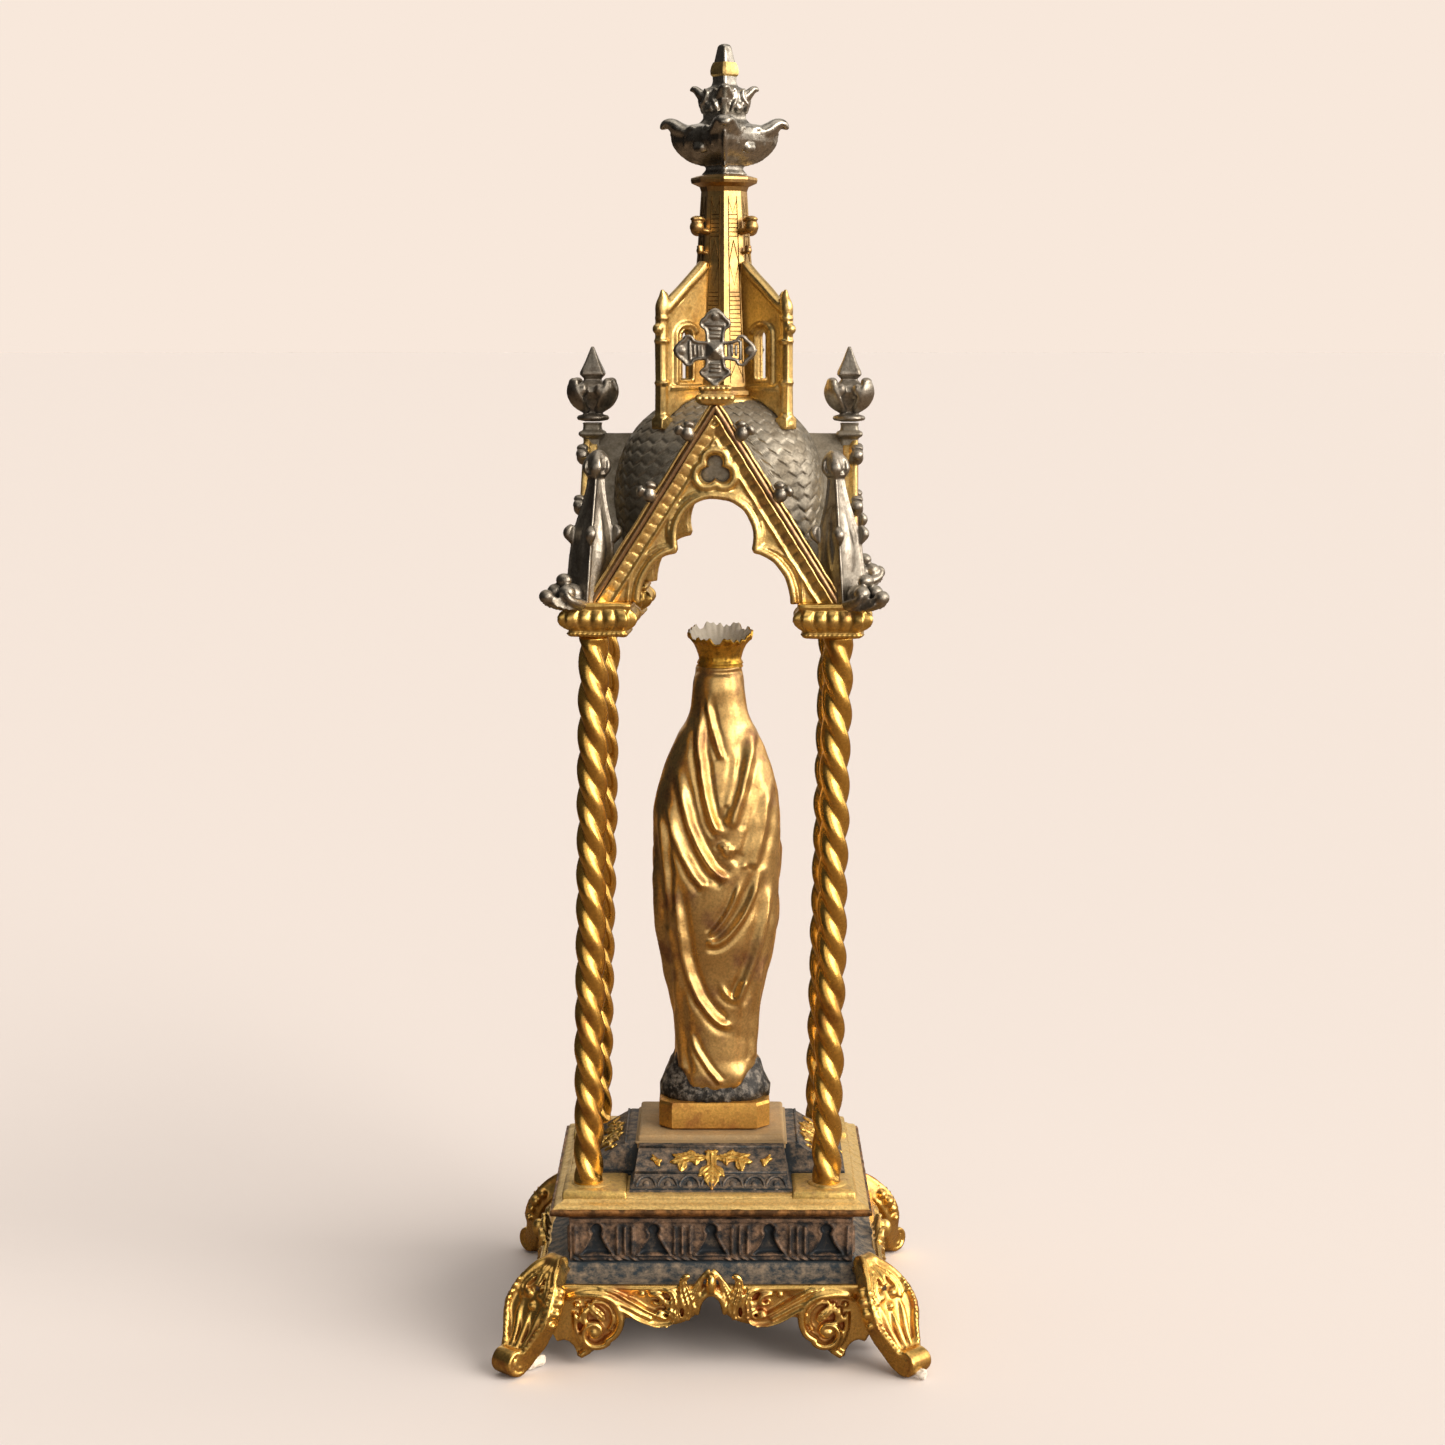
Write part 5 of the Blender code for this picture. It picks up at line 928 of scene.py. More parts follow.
# Figure: one hollow casting of gilt zinc in a mantle that covers the head, with a scalloped crown, a
# rough dark rock and a chamfered plinth. It looks along +Y. The mantle is drawn into hanging folds
# over the back, and its two edges part over a gown in front. The face is a plain calm one.

# Level, half width, middle, and depth as a share of the width
FIGURE_ROWS = ((66.0, 9.6, 1.3, 0.95), (68.5, 10.6, 1.3, 0.94), (73.0, 11.4, 1.2, 0.92),
               (78.0, 11.5, 1.2, 0.90), (84.0, 11.8, 1.24, 0.87), (91.0, 12.8, 1.2, 0.84),
               (98.4, 14.3, 1.3, 0.80), (104.7, 15.6, 1.6, 0.77), (111.0, 16.8, 1.4, 0.76),
               (117.0, 17.4, 1.2, 0.75), (125.0, 17.5, 1.3, 0.75), (133.0, 17.6, 1.5, 0.75),
               (140.0, 17.7, 1.5, 0.74), (146.7, 17.3, 1.5, 0.74), (153.5, 15.9, 1.7, 0.74),
               (160.0, 13.8, 1.8, 0.76), (166.0, 11.2, 1.8, 0.84), (169.5, 9.2, 2.0, 0.94),
               (173.7, 7.8, 2.1, 1.05), (180.0, 7.1, 1.9, 1.12), (185.0, 6.0, 2.2, 1.10))
FIGURE_SQUARENESS = 2.25
# Folds of the back and of the front: crest as across and level, height, half width
BACK_FOLDS = (
    (((-1.1, 178.0), (-0.3, 171.5), (1.8, 163.7), (3.0, 160.0)), 0.8, 0.75),
    (((-2.6, 175.0), (-3.3, 165.1), (-1.7, 151.9), (0.5, 143.3), (2.6, 139.6)), 1.45, 0.95),
    (((10.0, 172.0), (10.8, 164.6), (8.4, 151.9), (5.2, 141.4)), 1.3, 1.25),
    (((7.2, 164.0), (6.2, 155.0), (4.2, 147.0)), 0.5, 0.8),
    (((-9.6, 159.0), (-6.4, 144.9), (-2.8, 135.5), (0.5, 130.2), (4.6, 127.0)), 1.6, 1.0),
    (((-12.8, 149.0), (-9.1, 137.1), (-5.0, 129.0), (-1.5, 124.6)), 1.3, 0.95),
    (((-14.6, 149.0), (-13.5, 135.5), (-12.0, 121.8), (-10.4, 112.0)), 0.9, 0.8),
    (((-16.0, 142.0), (-15.4, 125.0), (-14.6, 110.0), (-12.6, 96.0), (-11.4, 86.0)), 0.8, 0.8),
    (((15.8, 155.0), (13.9, 141.0), (11.0, 130.0)), 1.2, 1.2),
    (((12.8, 148.0), (11.6, 140.0), (8.6, 130.0)), 0.5, 0.8),
    (((13.4, 131.0), (11.2, 122.5), (8.2, 116.4), (4.6, 111.6), (1.2, 109.4), (-1.6, 109.8)), 1.35, 0.85),
    (((8.6, 128.0), (5.7, 120.1), (2.6, 114.8), (-0.6, 111.2)), 0.9, 0.7),
    (((-10.8, 129.0), (-8.4, 111.1), (-5.9, 99.5), (-2.9, 92.8), (1.8, 86.9), (4.4, 85.6), (5.8, 86.2)),
     1.55, 1.0),
    (((17.0, 128.0), (13.6, 111.0), (10.1, 99.8), (6.8, 90.8)), 1.2, 0.95),
    (((2.4, 98.4), (4.2, 94.6), (6.6, 93.4), (9.0, 98.4)), 0.7, 0.8),
    (((3.2, 133.6), (5.2, 136.6)), 1.0, 1.4), (((1.4, 137.0), (4.0, 136.4)), 0.7, 1.0),
    (((-10.2, 101.0), (-9.6, 88.0), (-8.6, 77.0), (-7.2, 70.0)), 0.7, 0.9),
    (((-6.6, 84.0), (-2.9, 76.6), (1.2, 71.0), (2.8, 68.6)), 0.75, 0.6),
    (((15.0, 105.0), (13.0, 95.0), (12.4, 84.0), (11.8, 74.0)), 0.7, 0.8),
)
FRONT_FOLDS = (
    (((-6.0, 166.0), (-9.6, 158.0), (-11.0, 148.0), (-7.6, 140.0), (-4.2, 137.6)), 1.1, 1.1),
    (((9.4, 166.0), (13.0, 158.0), (14.2, 148.0), (10.8, 140.0), (7.4, 137.6)), 1.1, 1.1),
    (((-12.6, 152.0), (-14.0, 141.0), (-10.4, 131.0), (-6.4, 127.6)), 1.3, 1.1),
    (((16.0, 152.0), (17.4, 141.0), (13.6, 131.0), (9.6, 127.6)), 1.3, 1.1),
    (((-15.0, 141.0), (-15.0, 128.0), (-11.4, 118.0), (-7.6, 114.4)), 1.3, 1.1),
    (((18.4, 141.0), (18.2, 128.0), (14.4, 118.0), (10.8, 114.4)), 1.3, 1.1),
    (((-15.4, 128.0), (-14.6, 112.0), (-11.0, 101.0), (-8.6, 97.6)), 1.2, 1.0),
    (((18.4, 128.0), (17.4, 112.0), (13.4, 101.0), (11.2, 97.6)), 1.2, 1.0),
    (((-12.4, 106.0), (-10.6, 94.0), (-9.0, 84.0)), 0.9, 0.9),
    (((15.0, 106.0), (13.2, 94.0), (11.6, 84.0)), 0.9, 0.9),
)
# Level, and half of the opening between the two edges
MANTLE_EDGE = ((64.0, 9.6), (84.0, 8.6), (100.0, 8.4), (118.0, 7.4), (134.0, 5.8), (146.0, 4.4),
               (156.0, 3.2), (164.0, 2.6), (168.0, 4.2), (176.0, 4.9), (184.0, 4.6), (188.0, 3.6))
FIGURE_MIDDLE = 1.6


def drawn_folds(across, level, folds):
    """How far the cloth stands out at each place: round crests with a hollow beside each."""
    out = np.zeros_like(across)
    for crest, height, half_width in folds:
        line = spline([(x, z, 0.0) for x, z in crest], 0.35)[:, :2]
        share = np.linspace(0.0, 1.0, len(line))
        near = (np.abs(level - line[:, 1].mean()) < np.ptp(line[:, 1]) / 2 + 6 * half_width)
        apart = np.hypot(across[near][:, None] - line[None, :, 0], level[near][:, None] - line[None, :, 1])
        nearest = apart.argmin(axis=1)
        apart = apart.min(axis=1) / half_width
        taper = ramp(0.0, 0.3, share) * ramp(1.0, 0.93, share)
        crest_form = np.exp(-apart ** 2) - 0.42 * np.exp(-((apart - 2.1) / 1.0) ** 2)
        out[near] += height * taper[nearest] * crest_form
    return out


def squarish(turns, power):
    """Reach of a rounded square towards each angle, as a share of its half width."""
    return (np.abs(np.cos(turns)) ** power + np.abs(np.sin(turns)) ** power) ** (-1 / power)


levels = np.concatenate([np.linspace(66.0, 168.0, 215, endpoint=False), np.linspace(168.0, 185.0, 40)])
smooth_rows = spline(FIGURE_ROWS, 0.3)
half_width, middle, depth_share = (np.interp(levels, smooth_rows[:, 0], smooth_rows[:, i])[:, None]
                                   for i in (1, 2, 3))
around = full_turn(224)[None]
unit = squarish(around, FIGURE_SQUARENESS)
across = half_width * unit * np.cos(around)
deep = half_width * depth_share * unit * np.sin(around)
height = levels[:, None] + 0.0 * around
faces_back = ramp(0.02, 0.30, -np.sin(around)) + 0.0 * height
faces_front = ramp(0.02, 0.30, np.sin(around)) + 0.0 * height
place_x = across + middle
stand_out = drawn_folds(place_x, height, BACK_FOLDS) * faces_back
stand_out += drawn_folds(place_x, height, FRONT_FOLDS) * faces_front
# The edges of the mantle stand over the gown, whose folds fall straight down, and over the face
edge = np.interp(levels, *np.array(MANTLE_EDGE).T)[:, None]
from_middle = np.abs(place_x - FIGURE_MIDDLE) - edge
opened = ramp(0.35, -0.35, from_middle) * faces_front
gown = 0.55 * np.cos(2 * math.pi * (place_x - FIGURE_MIDDLE) / 3.3 + 0.4 * np.sin(height / 9.0))
gown *= ramp(140.0, 118.0, height)
stand_out += opened * (gown - 1.1 - 2.2 * ramp(166.5, 170.0, height) * ramp(187.0, 183.0, height))
stand_out += 0.7 * np.exp(-((from_middle - 0.6) / 0.6) ** 2) * faces_front
# The forearms lift the mantle towards the joined hands
from_hands = np.abs(place_x - FIGURE_MIDDLE)
from_arm = height - (150.0 - 0.45 * (from_hands - 2.0))
stand_out += 1.8 * np.exp(-(from_arm / 3.6) ** 2) * faces_front * ramp(13.0, 9.0, from_hands)
stand_out -= 0.5 * np.exp(-((height - 183.6) / 0.5) ** 2) * faces_back
normal = np.stack([np.cos(around) + 0.0 * height, np.sin(around) / depth_share, 0.0 * height], axis=-1)
normal /= np.linalg.norm(normal, axis=-1)[..., None]
# Soft waves of the hem, and the pinch of the cloth over the rock
hem = ramp(76.0, 66.0, height)
stand_out += hem * (0.35 * np.sin(5 * around + 0.6) + 0.25 * np.sin(11 * around) + 1.1)
robe = np.stack([place_x, deep, height], axis=-1) + normal * stand_out[..., None]
robe[..., 2] += hem * (0.1 + 4.6 * np.minimum(1.2, np.abs(place_x - 0.9) / 10.5) ** 2.2
                       + 0.4 * np.sin(4 * around))

robe_gilding = gilt_zinc("dusty_gilt_robe", "#DDB878", "#9A6E54", "#2E1A0A", 0.5, 2.8, 9.0, 0.33, 0.15)
skin_gilding = gilt_zinc("gilt_face_and_hands", "#DDB878", "#A98860", "#5C3A14", 0.4, 1.2, 5.0, 0.36)
crown_gilding = gilt_zinc("pitted_gilt_crown", "#E0B04C", "#8A6A30", "#15120A", 0.6, 1.6, 2.2, 0.36)
crown_dust = dark_patina("pale_dust_in_crown", "#E4DCCC", "#F2ECE0", 0.9, 3.0, 0.9, 0.0, "#E4DCCC")
rock_paint = dark_patina("dark_rock_paint", "#0F0D0B", "#B0A89C", 0.36, 2.0, 0.5, 0.1, "#8A8278")
robe = worked([skin(robe)], DECIMATE={"ratio": 0.65})
piece("figure_robe", {robe_gilding: [uneven(robe, 9.0, 0.16, 21)]}, ["statue"])

# Head and joined hands, which look out between the edges of the mantle
HEAD_CENTRE_Z = 177.0
HEAD_HALF = (4.7, 5.6, 7.4)          # half width, half depth and half height
HEAD_FORWARD = 1.6


def on_face(x, up, lift=0.0):
    """Place on the front of the head, at shares of its half width and half height."""
    y = HEAD_HALF[1] * math.sqrt(max(0.05, 1.0 - x * x - up * up)) + lift
    return (FIGURE_MIDDLE + x * HEAD_HALF[0], HEAD_FORWARD + y, HEAD_CENTRE_Z + up * HEAD_HALF[2])


face_parts = [egg((FIGURE_MIDDLE, HEAD_FORWARD, HEAD_CENTRE_Z), HEAD_HALF),
              egg((FIGURE_MIDDLE, HEAD_FORWARD + 0.6, HEAD_CENTRE_Z - 3.0), (3.3, 4.6, 4.6)),
              egg(on_face(0.0, -0.82, -0.6), (1.5, 1.3, 1.1)),
              rib([(*on_face(0.0, 0.16, -0.1), 0.45, 0.5), (*on_face(0.0, 0.0, 0.25), 0.5, 0.6),
                   (*on_face(0.0, -0.24, 0.75), 0.75, 0.75)], (0.0, 1.0, 0.0)),
              egg(on_face(0.0, -0.27, 0.4), (0.95, 0.6, 0.45)),
              rib([(FIGURE_MIDDLE, HEAD_FORWARD - 0.4, 171.0, 3.1, 3.1),
                   (FIGURE_MIDDLE, 1.2, 163.0, 3.6, 3.2)], (0.0, 1.0, 0.0), smooth=False)]
for side in (-1, 1):
    face_parts += [
        egg(on_face(side * 0.40, 0.02, -0.75), (0.95, 0.8, 0.55)),
        rib([(*on_face(side * 0.16, 0.17, -0.35), 0.2, 0.3), (*on_face(side * 0.42, 0.22, -0.2), 0.25, 0.35),
             (*on_face(side * 0.64, 0.12, -0.3), 0.2, 0.3)], (0.0, 1.0, 0.0)),
        rib([(*on_face(0.0, -0.50, -0.05), 0.5, 0.28), (*on_face(side * 0.24, -0.49, -0.1), 0.3, 0.15)],
            (0.0, 1.0, 0.0), smooth=False),
        rib([(*on_face(0.0, -0.60, -0.05), 0.5, 0.3), (*on_face(side * 0.2, -0.58, -0.1), 0.3, 0.15)],
            (0.0, 1.0, 0.0), smooth=False),
        egg(on_face(side * 0.5, -0.35, -1.0), (1.2, 1.0, 1.5))]
    for lock in range(4):
        lift = 0.15 * (lock % 2)
        face_parts.append(rib([(*on_face(side * 0.05, 0.82 - 0.1 * lock, lift), 0.5, 0.5),
                               (*on_face(side * 0.45, 0.66 - 0.12 * lock, lift), 0.55, 0.6),
                               (*on_face(side * 0.78, 0.28 - 0.12 * lock, lift), 0.5, 0.6),
                               (*on_face(side * 0.84, -0.2 - 0.1 * lock, lift), 0.4, 0.5)], (0.0, 1.0, 0.0)))
hands = []
for side in (-1, 1):
    hand_x = FIGURE_MIDDLE + side * 0.9
    hands.append(egg((hand_x, 13.2, 150.4), (1.3, 1.9, 3.0), Matrix.Rotation(math.radians(-20), 3, "X")))
    for finger in range(4):
        middle_up, tip_up = 154.8 - 0.3 * abs(finger - 1.5), 158.2 - 0.7 * abs(finger - 1.2)
        hands.append(rib([(hand_x, 12.2 + 0.9 * finger, 151.0 - 0.2 * finger, 0.7, 0.55),
                          (hand_x - side * 0.2, 13.0 + 0.85 * finger, middle_up, 0.6, 0.5),
                          (hand_x - side * 0.35, 13.4 + 0.8 * finger, tip_up, 0.4, 0.35)], (0.0, 1.0, 0.0)))
    hands.append(rib([(FIGURE_MIDDLE + side * 7.4, 10.6, 146.6, 2.6, 2.4),
                      (FIGURE_MIDDLE + side * 4.0, 12.2, 148.0, 2.2, 2.1),
                      (FIGURE_MIDDLE + side * 1.4, 13.0, 149.2, 1.5, 1.6)], UP))
    hands.append(rib([(FIGURE_MIDDLE + side * 5.2, 11.4, 149.6, 0.6, 0.6),
                      (FIGURE_MIDDLE + side * 4.6, 13.2, 148.0, 0.6, 0.6),
                      (FIGURE_MIDDLE + side * 4.8, 12.6, 145.6, 0.6, 0.6)], UP))
piece("figure_face", {skin_gilding: [fused(face_parts, 0.2, 3)]}, ["statue"])
piece("figure_hands", {skin_gilding: [fused(hands, 0.24, 2)]}, ["statue"])

# Crown: a collar of two rings and a flared rim of eight worn scallops, hollow and pale with dust
CROWN_X = 2.4
turns = full_turn(160)
lobe = np.abs(np.sin(4 * turns + 0.5)) ** 0.7
ragged = 0.35 * np.sin(13 * turns + 1.0) + 0.3 * np.sin(29 * turns)
crown_rows = []
for share, radius, level, follow in ((0, 5.4, 184.3, 0), (0, 6.2, 184.6, 0), (0, 6.4, 185.0, 0),
                                     (0, 6.1, 185.4, 0), (0, 6.4, 185.8, 0), (0, 6.2, 186.3, 0),
                                     (0, 5.8, 186.9, 0), (0, 6.1, 188.2, 0), (0, 6.6, 189.6, 0.15),
                                     (0, 7.3, 191.2, 0.35), (0, 8.1, 192.4, 0.65), (0, 8.8, 193.2, 1.0),
                                     (0, 8.9, 193.6, 1.05), (0, 8.4, 193.8, 1.05), (0, 7.6, 192.8, 0.8),
                                     (0, 6.8, 191.4, 0.4), (0, 6.2, 190.4, 0.2), (0, 5.4, 189.8, 0.0),
                                     (0, 4.0, 189.5, 0.0)):
    level_here = level + follow * (1.4 * lobe - 0.7 + ragged + 1.5 * np.sin(turns))
    radius_here = radius + 0.25 * follow * lobe + 0.12 * ragged * (level > 186.5)
    crown_rows.append(np.stack([CROWN_X + radius_here * np.cos(turns), radius_here * np.sin(turns) * 0.96,
                                level_here], axis=-1))
crown_rows = np.array(crown_rows)
crown_floor = np.stack([CROWN_X + 0.2 * np.cos(turns), 0.2 * np.sin(turns), 189.4 + 0.0 * turns], axis=-1)
inside = np.concatenate([crown_rows[13:], crown_floor[None]])
piece("figure_crown", {crown_gilding: [skin(crown_rows[:14], ends=False)],
                       crown_dust: [skin(inside, ends=False)]}, ["statue"])

# Rock under the robe, rough and painted dark, and the chamfered gilt plinth
rock_turns = full_turn(112)
rock_plan = squarish(rock_turns, 2.6)
rock_rows = []
for level, half_x, half_y in ((63.6, 15.0, 12.0), (64.6, 15.4, 11.8), (67.0, 15.0, 10.6), (70.0, 13.8, 9.2),
                              (73.0, 12.4, 8.4), (76.0, 10.8, 7.6), (79.0, 9.4, 6.8)):
    rock_rows.append(np.stack([0.9 + half_x * rock_plan * np.cos(rock_turns),
                               half_y * rock_plan * np.sin(rock_turns), level + 0.0 * rock_turns], axis=-1))
rock = spline(np.array(rock_rows).reshape(len(rock_rows), -1), 3.0)
rock = rock.reshape(len(rock), -1, 3)
rock = uneven(uneven(skin(rock), 6.0, 0.8, 5), 1.6, 0.35, 9)
rock[0][:, 2] = np.maximum(rock[0][:, 2], 63.4)
piece("figure_rock", {rock_paint: [rock]}, ["statue"])

# Inset and level
PLINTH_RINGS = ((0.3, 56.7), (0.0, 57.0), (0.0, 63.2), (0.35, 64.0), (1.1, 64.3), (3.0, 64.2))


def chamfered(half_x, half_y, chamfer, inset, level):
    """Ring of a rectangle with its corners cut."""
    x, y = half_x - inset, half_y - inset
    cut = chamfer - 0.3 * inset
    return [(x, -y + cut, level), (x, y - cut, level), (x - cut, y, level), (-x + cut, y, level),
            (-x, y - cut, level), (-x, -y + cut, level), (-x + cut, -y, level), (x - cut, -y, level)]


plinth = skin([chamfered(15.4, 12.6, 3.6, inset, level) for inset, level in PLINTH_RINGS])
plinth = (plinth[0] + (0.8, 0.0, 0.0), plinth[1])
plinth_gilding = gilt_zinc("worn_gilt_figure_plinth", "#E0AE5C", "#B27C48", "#5C3A14", 0.5, 1.5, 5.0, 0.4)
piece("figure_plinth", {plinth_gilding: [plinth]}, ["statue"], crease=25)


# Canopy: one hollow casting of gilt zinc on the four columns. Four gables with a lobed arch and a
# trefoil stand before a ribbed and tiled dome, with capitals below and silvered crockets on the rakes.
CANOPY_SHIFT = 2.6                   # it sits a little to the right on its columns, and turned
CANOPY_TURN = math.radians(-2.6)
GABLE_FOOT = 205.4
GABLE_OUT = 4.0                      # face of a gable past the column axes
# Half foot, rise, arch, head and trefoil of the front and rear gables, and of the side ones
GABLE_FIT = ((33.5, 53.0, 20.7, 17.4, 1.0), (30.1, 44.0, 17.3, 13.8, 0.85))
GABLE_WALL = 3.0
ARCH_LOBE = 11.0
CROCKET_SHARES = (0.53, 0.83)
BRICK = 3.0                          # from one lump to the next of the band along the rakes
PINNACLE_FOOT = 205.0
PINNACLE_LEAN = 0.062                # how far a pinnacle leans in, as a share of its height
DOME_HALF = (COLUMN_HALF_X - 3.4, COLUMN_HALF_Y - 3.4)
DOME_SPRING = 228.4
DOME_RISE = 31.0
DOME_POWER = 2.4
DOME_SQUARENESS = 3.4
TILES_AROUND = 44
TILE_HEIGHT = 3.1
TILE_DEPTH = 0.34
SEAT_SHARE = 0.36
SLANT = np.array([(1.0, 0.9), (-1.0, -0.5), (-1.0, -1.6), (1.0, -1.6)])   # face that leans in to the middle

canopy_place = Matrix.Translation((CANOPY_SHIFT, 0.0, 0.0)) @ Matrix.Rotation(CANOPY_TURN, 4, "Z")
canopy_gilding = gilt_zinc("rubbed_gilt_canopy", "#F0CE86", "#B08458", "#4A2A08", 0.4, 1.8, 4.0, 0.32,
                           0.1, 0.8)
rubbed_rake = gilt_zinc("gilding_rubbed_to_the_ground", "#B08E68", "#8A6A54", "#2A160A", 0.5, 1.4, 6.0, 0.34)
silver_casting = gilt_zinc("tarnished_silvered_casting", "#A09A90", "#6E645A", "#14110E", 0.5, 1.9, 3.0,
                           0.36, 0.2, 0.7)
dome_patina = gilt_zinc("dusty_zinc_dome", "#9A9488", "#7A7264", "#14110E", 0.6, 1.3, 5.0, 0.48, 0.4)


def arch_line(half, head, fit):
    """Right half of the lobed arch, from its foot up to its crown: a lower lobe, a cusp, a round head."""
    lower = [(half - ARCH_LOBE * fit + ARCH_LOBE * fit * math.cos(a), 14.0 * head / 17.4 * math.sin(a))
             for a in np.radians(np.linspace(0, 86, 12))]
    start = math.asin(-3.2 / ARCH_LOBE)
    upper = [(ARCH_LOBE * fit * math.cos(a), head + ARCH_LOBE * fit * math.sin(a))
             for a in np.linspace(start, math.pi / 2, 14)]
    return lower + upper


def trefoil_line(fit, rise, grow=0.0):
    """Three round lobes round a centre, one up and two down."""
    points = []
    for a in full_turn(48):
        delta = abs((a - math.pi / 2 + math.pi / 3) % (2 * math.pi / 3) - math.pi / 3)
        reach = 2.1 * fit * math.cos(delta) + grow
        reach += math.sqrt((1.95 * fit) ** 2 - (2.1 * fit * math.sin(delta)) ** 2)
        points.append((reach * math.cos(a), rise + reach * math.sin(a)))
    return points


def along_rake(half, rise, inset, lift, share):
    """Place beside the rake: an inset down into the gable, and a share of the way up."""
    length = math.hypot(half, rise)
    x, y = half * (1 - share), rise * share
    return (x - inset * rise / length, y - inset * half / length, lift)


def rake_rib(half, rise, inset, lift, wide, high, low=0.0, top=1.0, section=ROUND):
    """Straight moulding beside both rakes of a gable, which meet at its top."""
    start = along_rake(half, rise, inset, lift, low)
    end = along_rake(half, rise, inset, lift, min(top, 1.0 - inset * rise / math.hypot(half, rise) / half))
    bar = rib([(*start, wide, high), (*end, wide, high)], UP, section=section, smooth=False)
    return both_hands(bar)


def hooded_crocket(size):
    """Ball under a hood of two thick leaf halves, on a short stem that curls back down."""
    leaves = [egg((0.0, -0.32 * size, 0.2 * size), (0.72 * size, 0.82 * size, 0.72 * size)),
              rib([(0.0, -0.6 * size, -0.2 * size, 0.5 * size, 0.5 * size),
                   (0.0, -1.1 * size, -0.1 * size, 0.36 * size, 0.4 * size),
                   (0.1 * size, -1.4 * size, 0.1 * size, 0.3 * size, 0.3 * size)], UP)]
    for side in (-1, 1):
        leaves.append(rib([(side * 0.12 * size, 0.52 * size, 0.35 * size, 0.3 * size, 0.5 * size),
                           (side * 0.52 * size, 0.46 * size, 0.3 * size, 0.42 * size, 0.62 * size),
                           (side * 0.86 * size, 0.12 * size, 0.15 * size, 0.3 * size, 0.5 * size)], UP))
    return fused(leaves, 0.26, 2)


crocket_shape = hooded_crocket(2.7)
for side in range(4):
    half, rise, arch_half, head, fit = GABLE_FIT[side % 2]
    wall = canopy_place @ side_place(side, GABLE_OUT, GABLE_FOOT)
    arch = arch_line(arch_half, head, fit)
    edge = [(half, 0.0), (0.0, rise), (-half, 0.0)] + [(-x, y) for x, y in arch] + arch[::-1]
    trefoil_rise = 34.7 * (rise / 53.0)
    parts = [slab([edge, trefoil_line(fit, trefoil_rise)], -GABLE_WALL, -0.4)]
    parts += rake_rib(half, rise, -0.3, 0.0, 0.5, 1.0)
    parts += rake_rib(half, rise, 2.1, 0.2, 0.45, 0.9)
    parts += rake_rib(half, rise, 3.7, -0.2, 1.4, 0.9, 0.0, 1.0, SLANT)
    parts += rake_rib(half, rise, 5.4, -0.1, 0.4, 0.55, 0.02, 1.0)
    length = math.hypot(half, rise)
    for i in range(int(length / BRICK) - 1):
        low, high = (i * BRICK + 0.4) / length, (i * BRICK + BRICK - 0.5) / length
        parts += rake_rib(half, rise, 3.65, 0.15, 0.95, 0.7, low, high, SLANT)
    arch_roll = rib([(x, y, -0.1, 1.0, 1.1) for x, y in arch], UP, smooth=False)
    inner = rib([(x * 1.09 + 0.5, y + 1.2 * (y > 2), -0.2, 0.35, 0.5) for x, y in arch], UP, smooth=False)
    parts += both_hands(arch_roll, inner)
    frame_line = trefoil_line(fit, trefoil_rise, 1.5)
    parts.append(rib([(x, y, -0.1, 1.05, 1.0) for x, y in frame_line + frame_line[:2]], UP, smooth=False))
    gable = fused(parts, 0.34, 2)
    name = SIDES[side]
    back = slab([trefoil_line(fit, trefoil_rise, 1.6)], -GABLE_WALL - 0.7, -GABLE_WALL + 0.2)
    rolls = rake_rib(half, rise, 0.95, 0.0, 0.95, 1.15)
    piece(f"gable_{name}", {canopy_gilding: [uneven(moved(gable, wall), 8.0, 0.14, side)],
                            rubbed_rake: [uneven(moved(bar, wall), 8.0, 0.14, side) for bar in rolls],
                            dome_patina: [moved(back, wall)]}, ["canopy"], crease=60)
    knobs = []
    for sign in (-1, 1):
        for share in CROCKET_SHARES:
            spot = along_rake(half, rise, -2.2, -1.2, share)
            turn = Matrix.Rotation(-sign * math.atan2(half, rise) * 0.9, 4, "Z")
            knobs.append(moved(crocket_shape, Matrix.Translation((sign * spot[0], spot[1], 0.0)) @ turn))
    piece(f"crockets_{name}", {silver_casting: [moved(knob, wall) for knob in knobs]}, ["canopy"])


def tiles(u, v):
    """Height of pointed tiles whose lower edges are cut into the surface in zigzag lines."""
    height = np.ones_like(u)
    for k in (-1, 0, 1, 2):
        row = np.floor(v) + k
        x = np.mod(u + 0.5 * np.mod(row, 2) + 0.5, 1.0) - 0.5
        tip = row - 0.55 + 0.9 * np.abs(x)
        height = np.minimum(height, 1.0 - np.exp(-((v - tip) / 0.11) ** 2))
    return height


def under_roof(half, rise, drop, across):
    """Level of a line that runs under a rake at a drop, at a distance from the middle of the gable."""
    return GABLE_FOOT + rise - drop - rise / half * np.abs(across)


def dome_share(level):
    """Half width of the dome at a level, as a share of its half width at the springing."""
    up = np.clip((level - DOME_SPRING) / DOME_RISE, 0.0, 0.999)
    return (1.0 - up ** DOME_POWER) ** (1 / DOME_POWER)


# Dome: a tiled shell, whose lower edge follows the roofs, so that the way through the arches is open
seat_up = (1.0 - SEAT_SHARE ** DOME_POWER) ** (1 / DOME_POWER)
climb = np.linspace(0.0, math.asin(seat_up ** (DOME_POWER / 2)), 96)
profile_up = np.concatenate([[-20.0, -0.4], DOME_RISE * np.sin(climb) ** (2 / DOME_POWER)])
profile_in = np.concatenate([[1.0, 1.0], np.cos(climb) ** (2 / DOME_POWER)])
profile_run = np.concatenate([[0.0], np.cumsum(np.hypot(np.diff(profile_up), 28.0 * np.diff(profile_in)))])
turns = full_turn(440)[None]
plan_ring = squarish(turns, DOME_SQUARENESS)


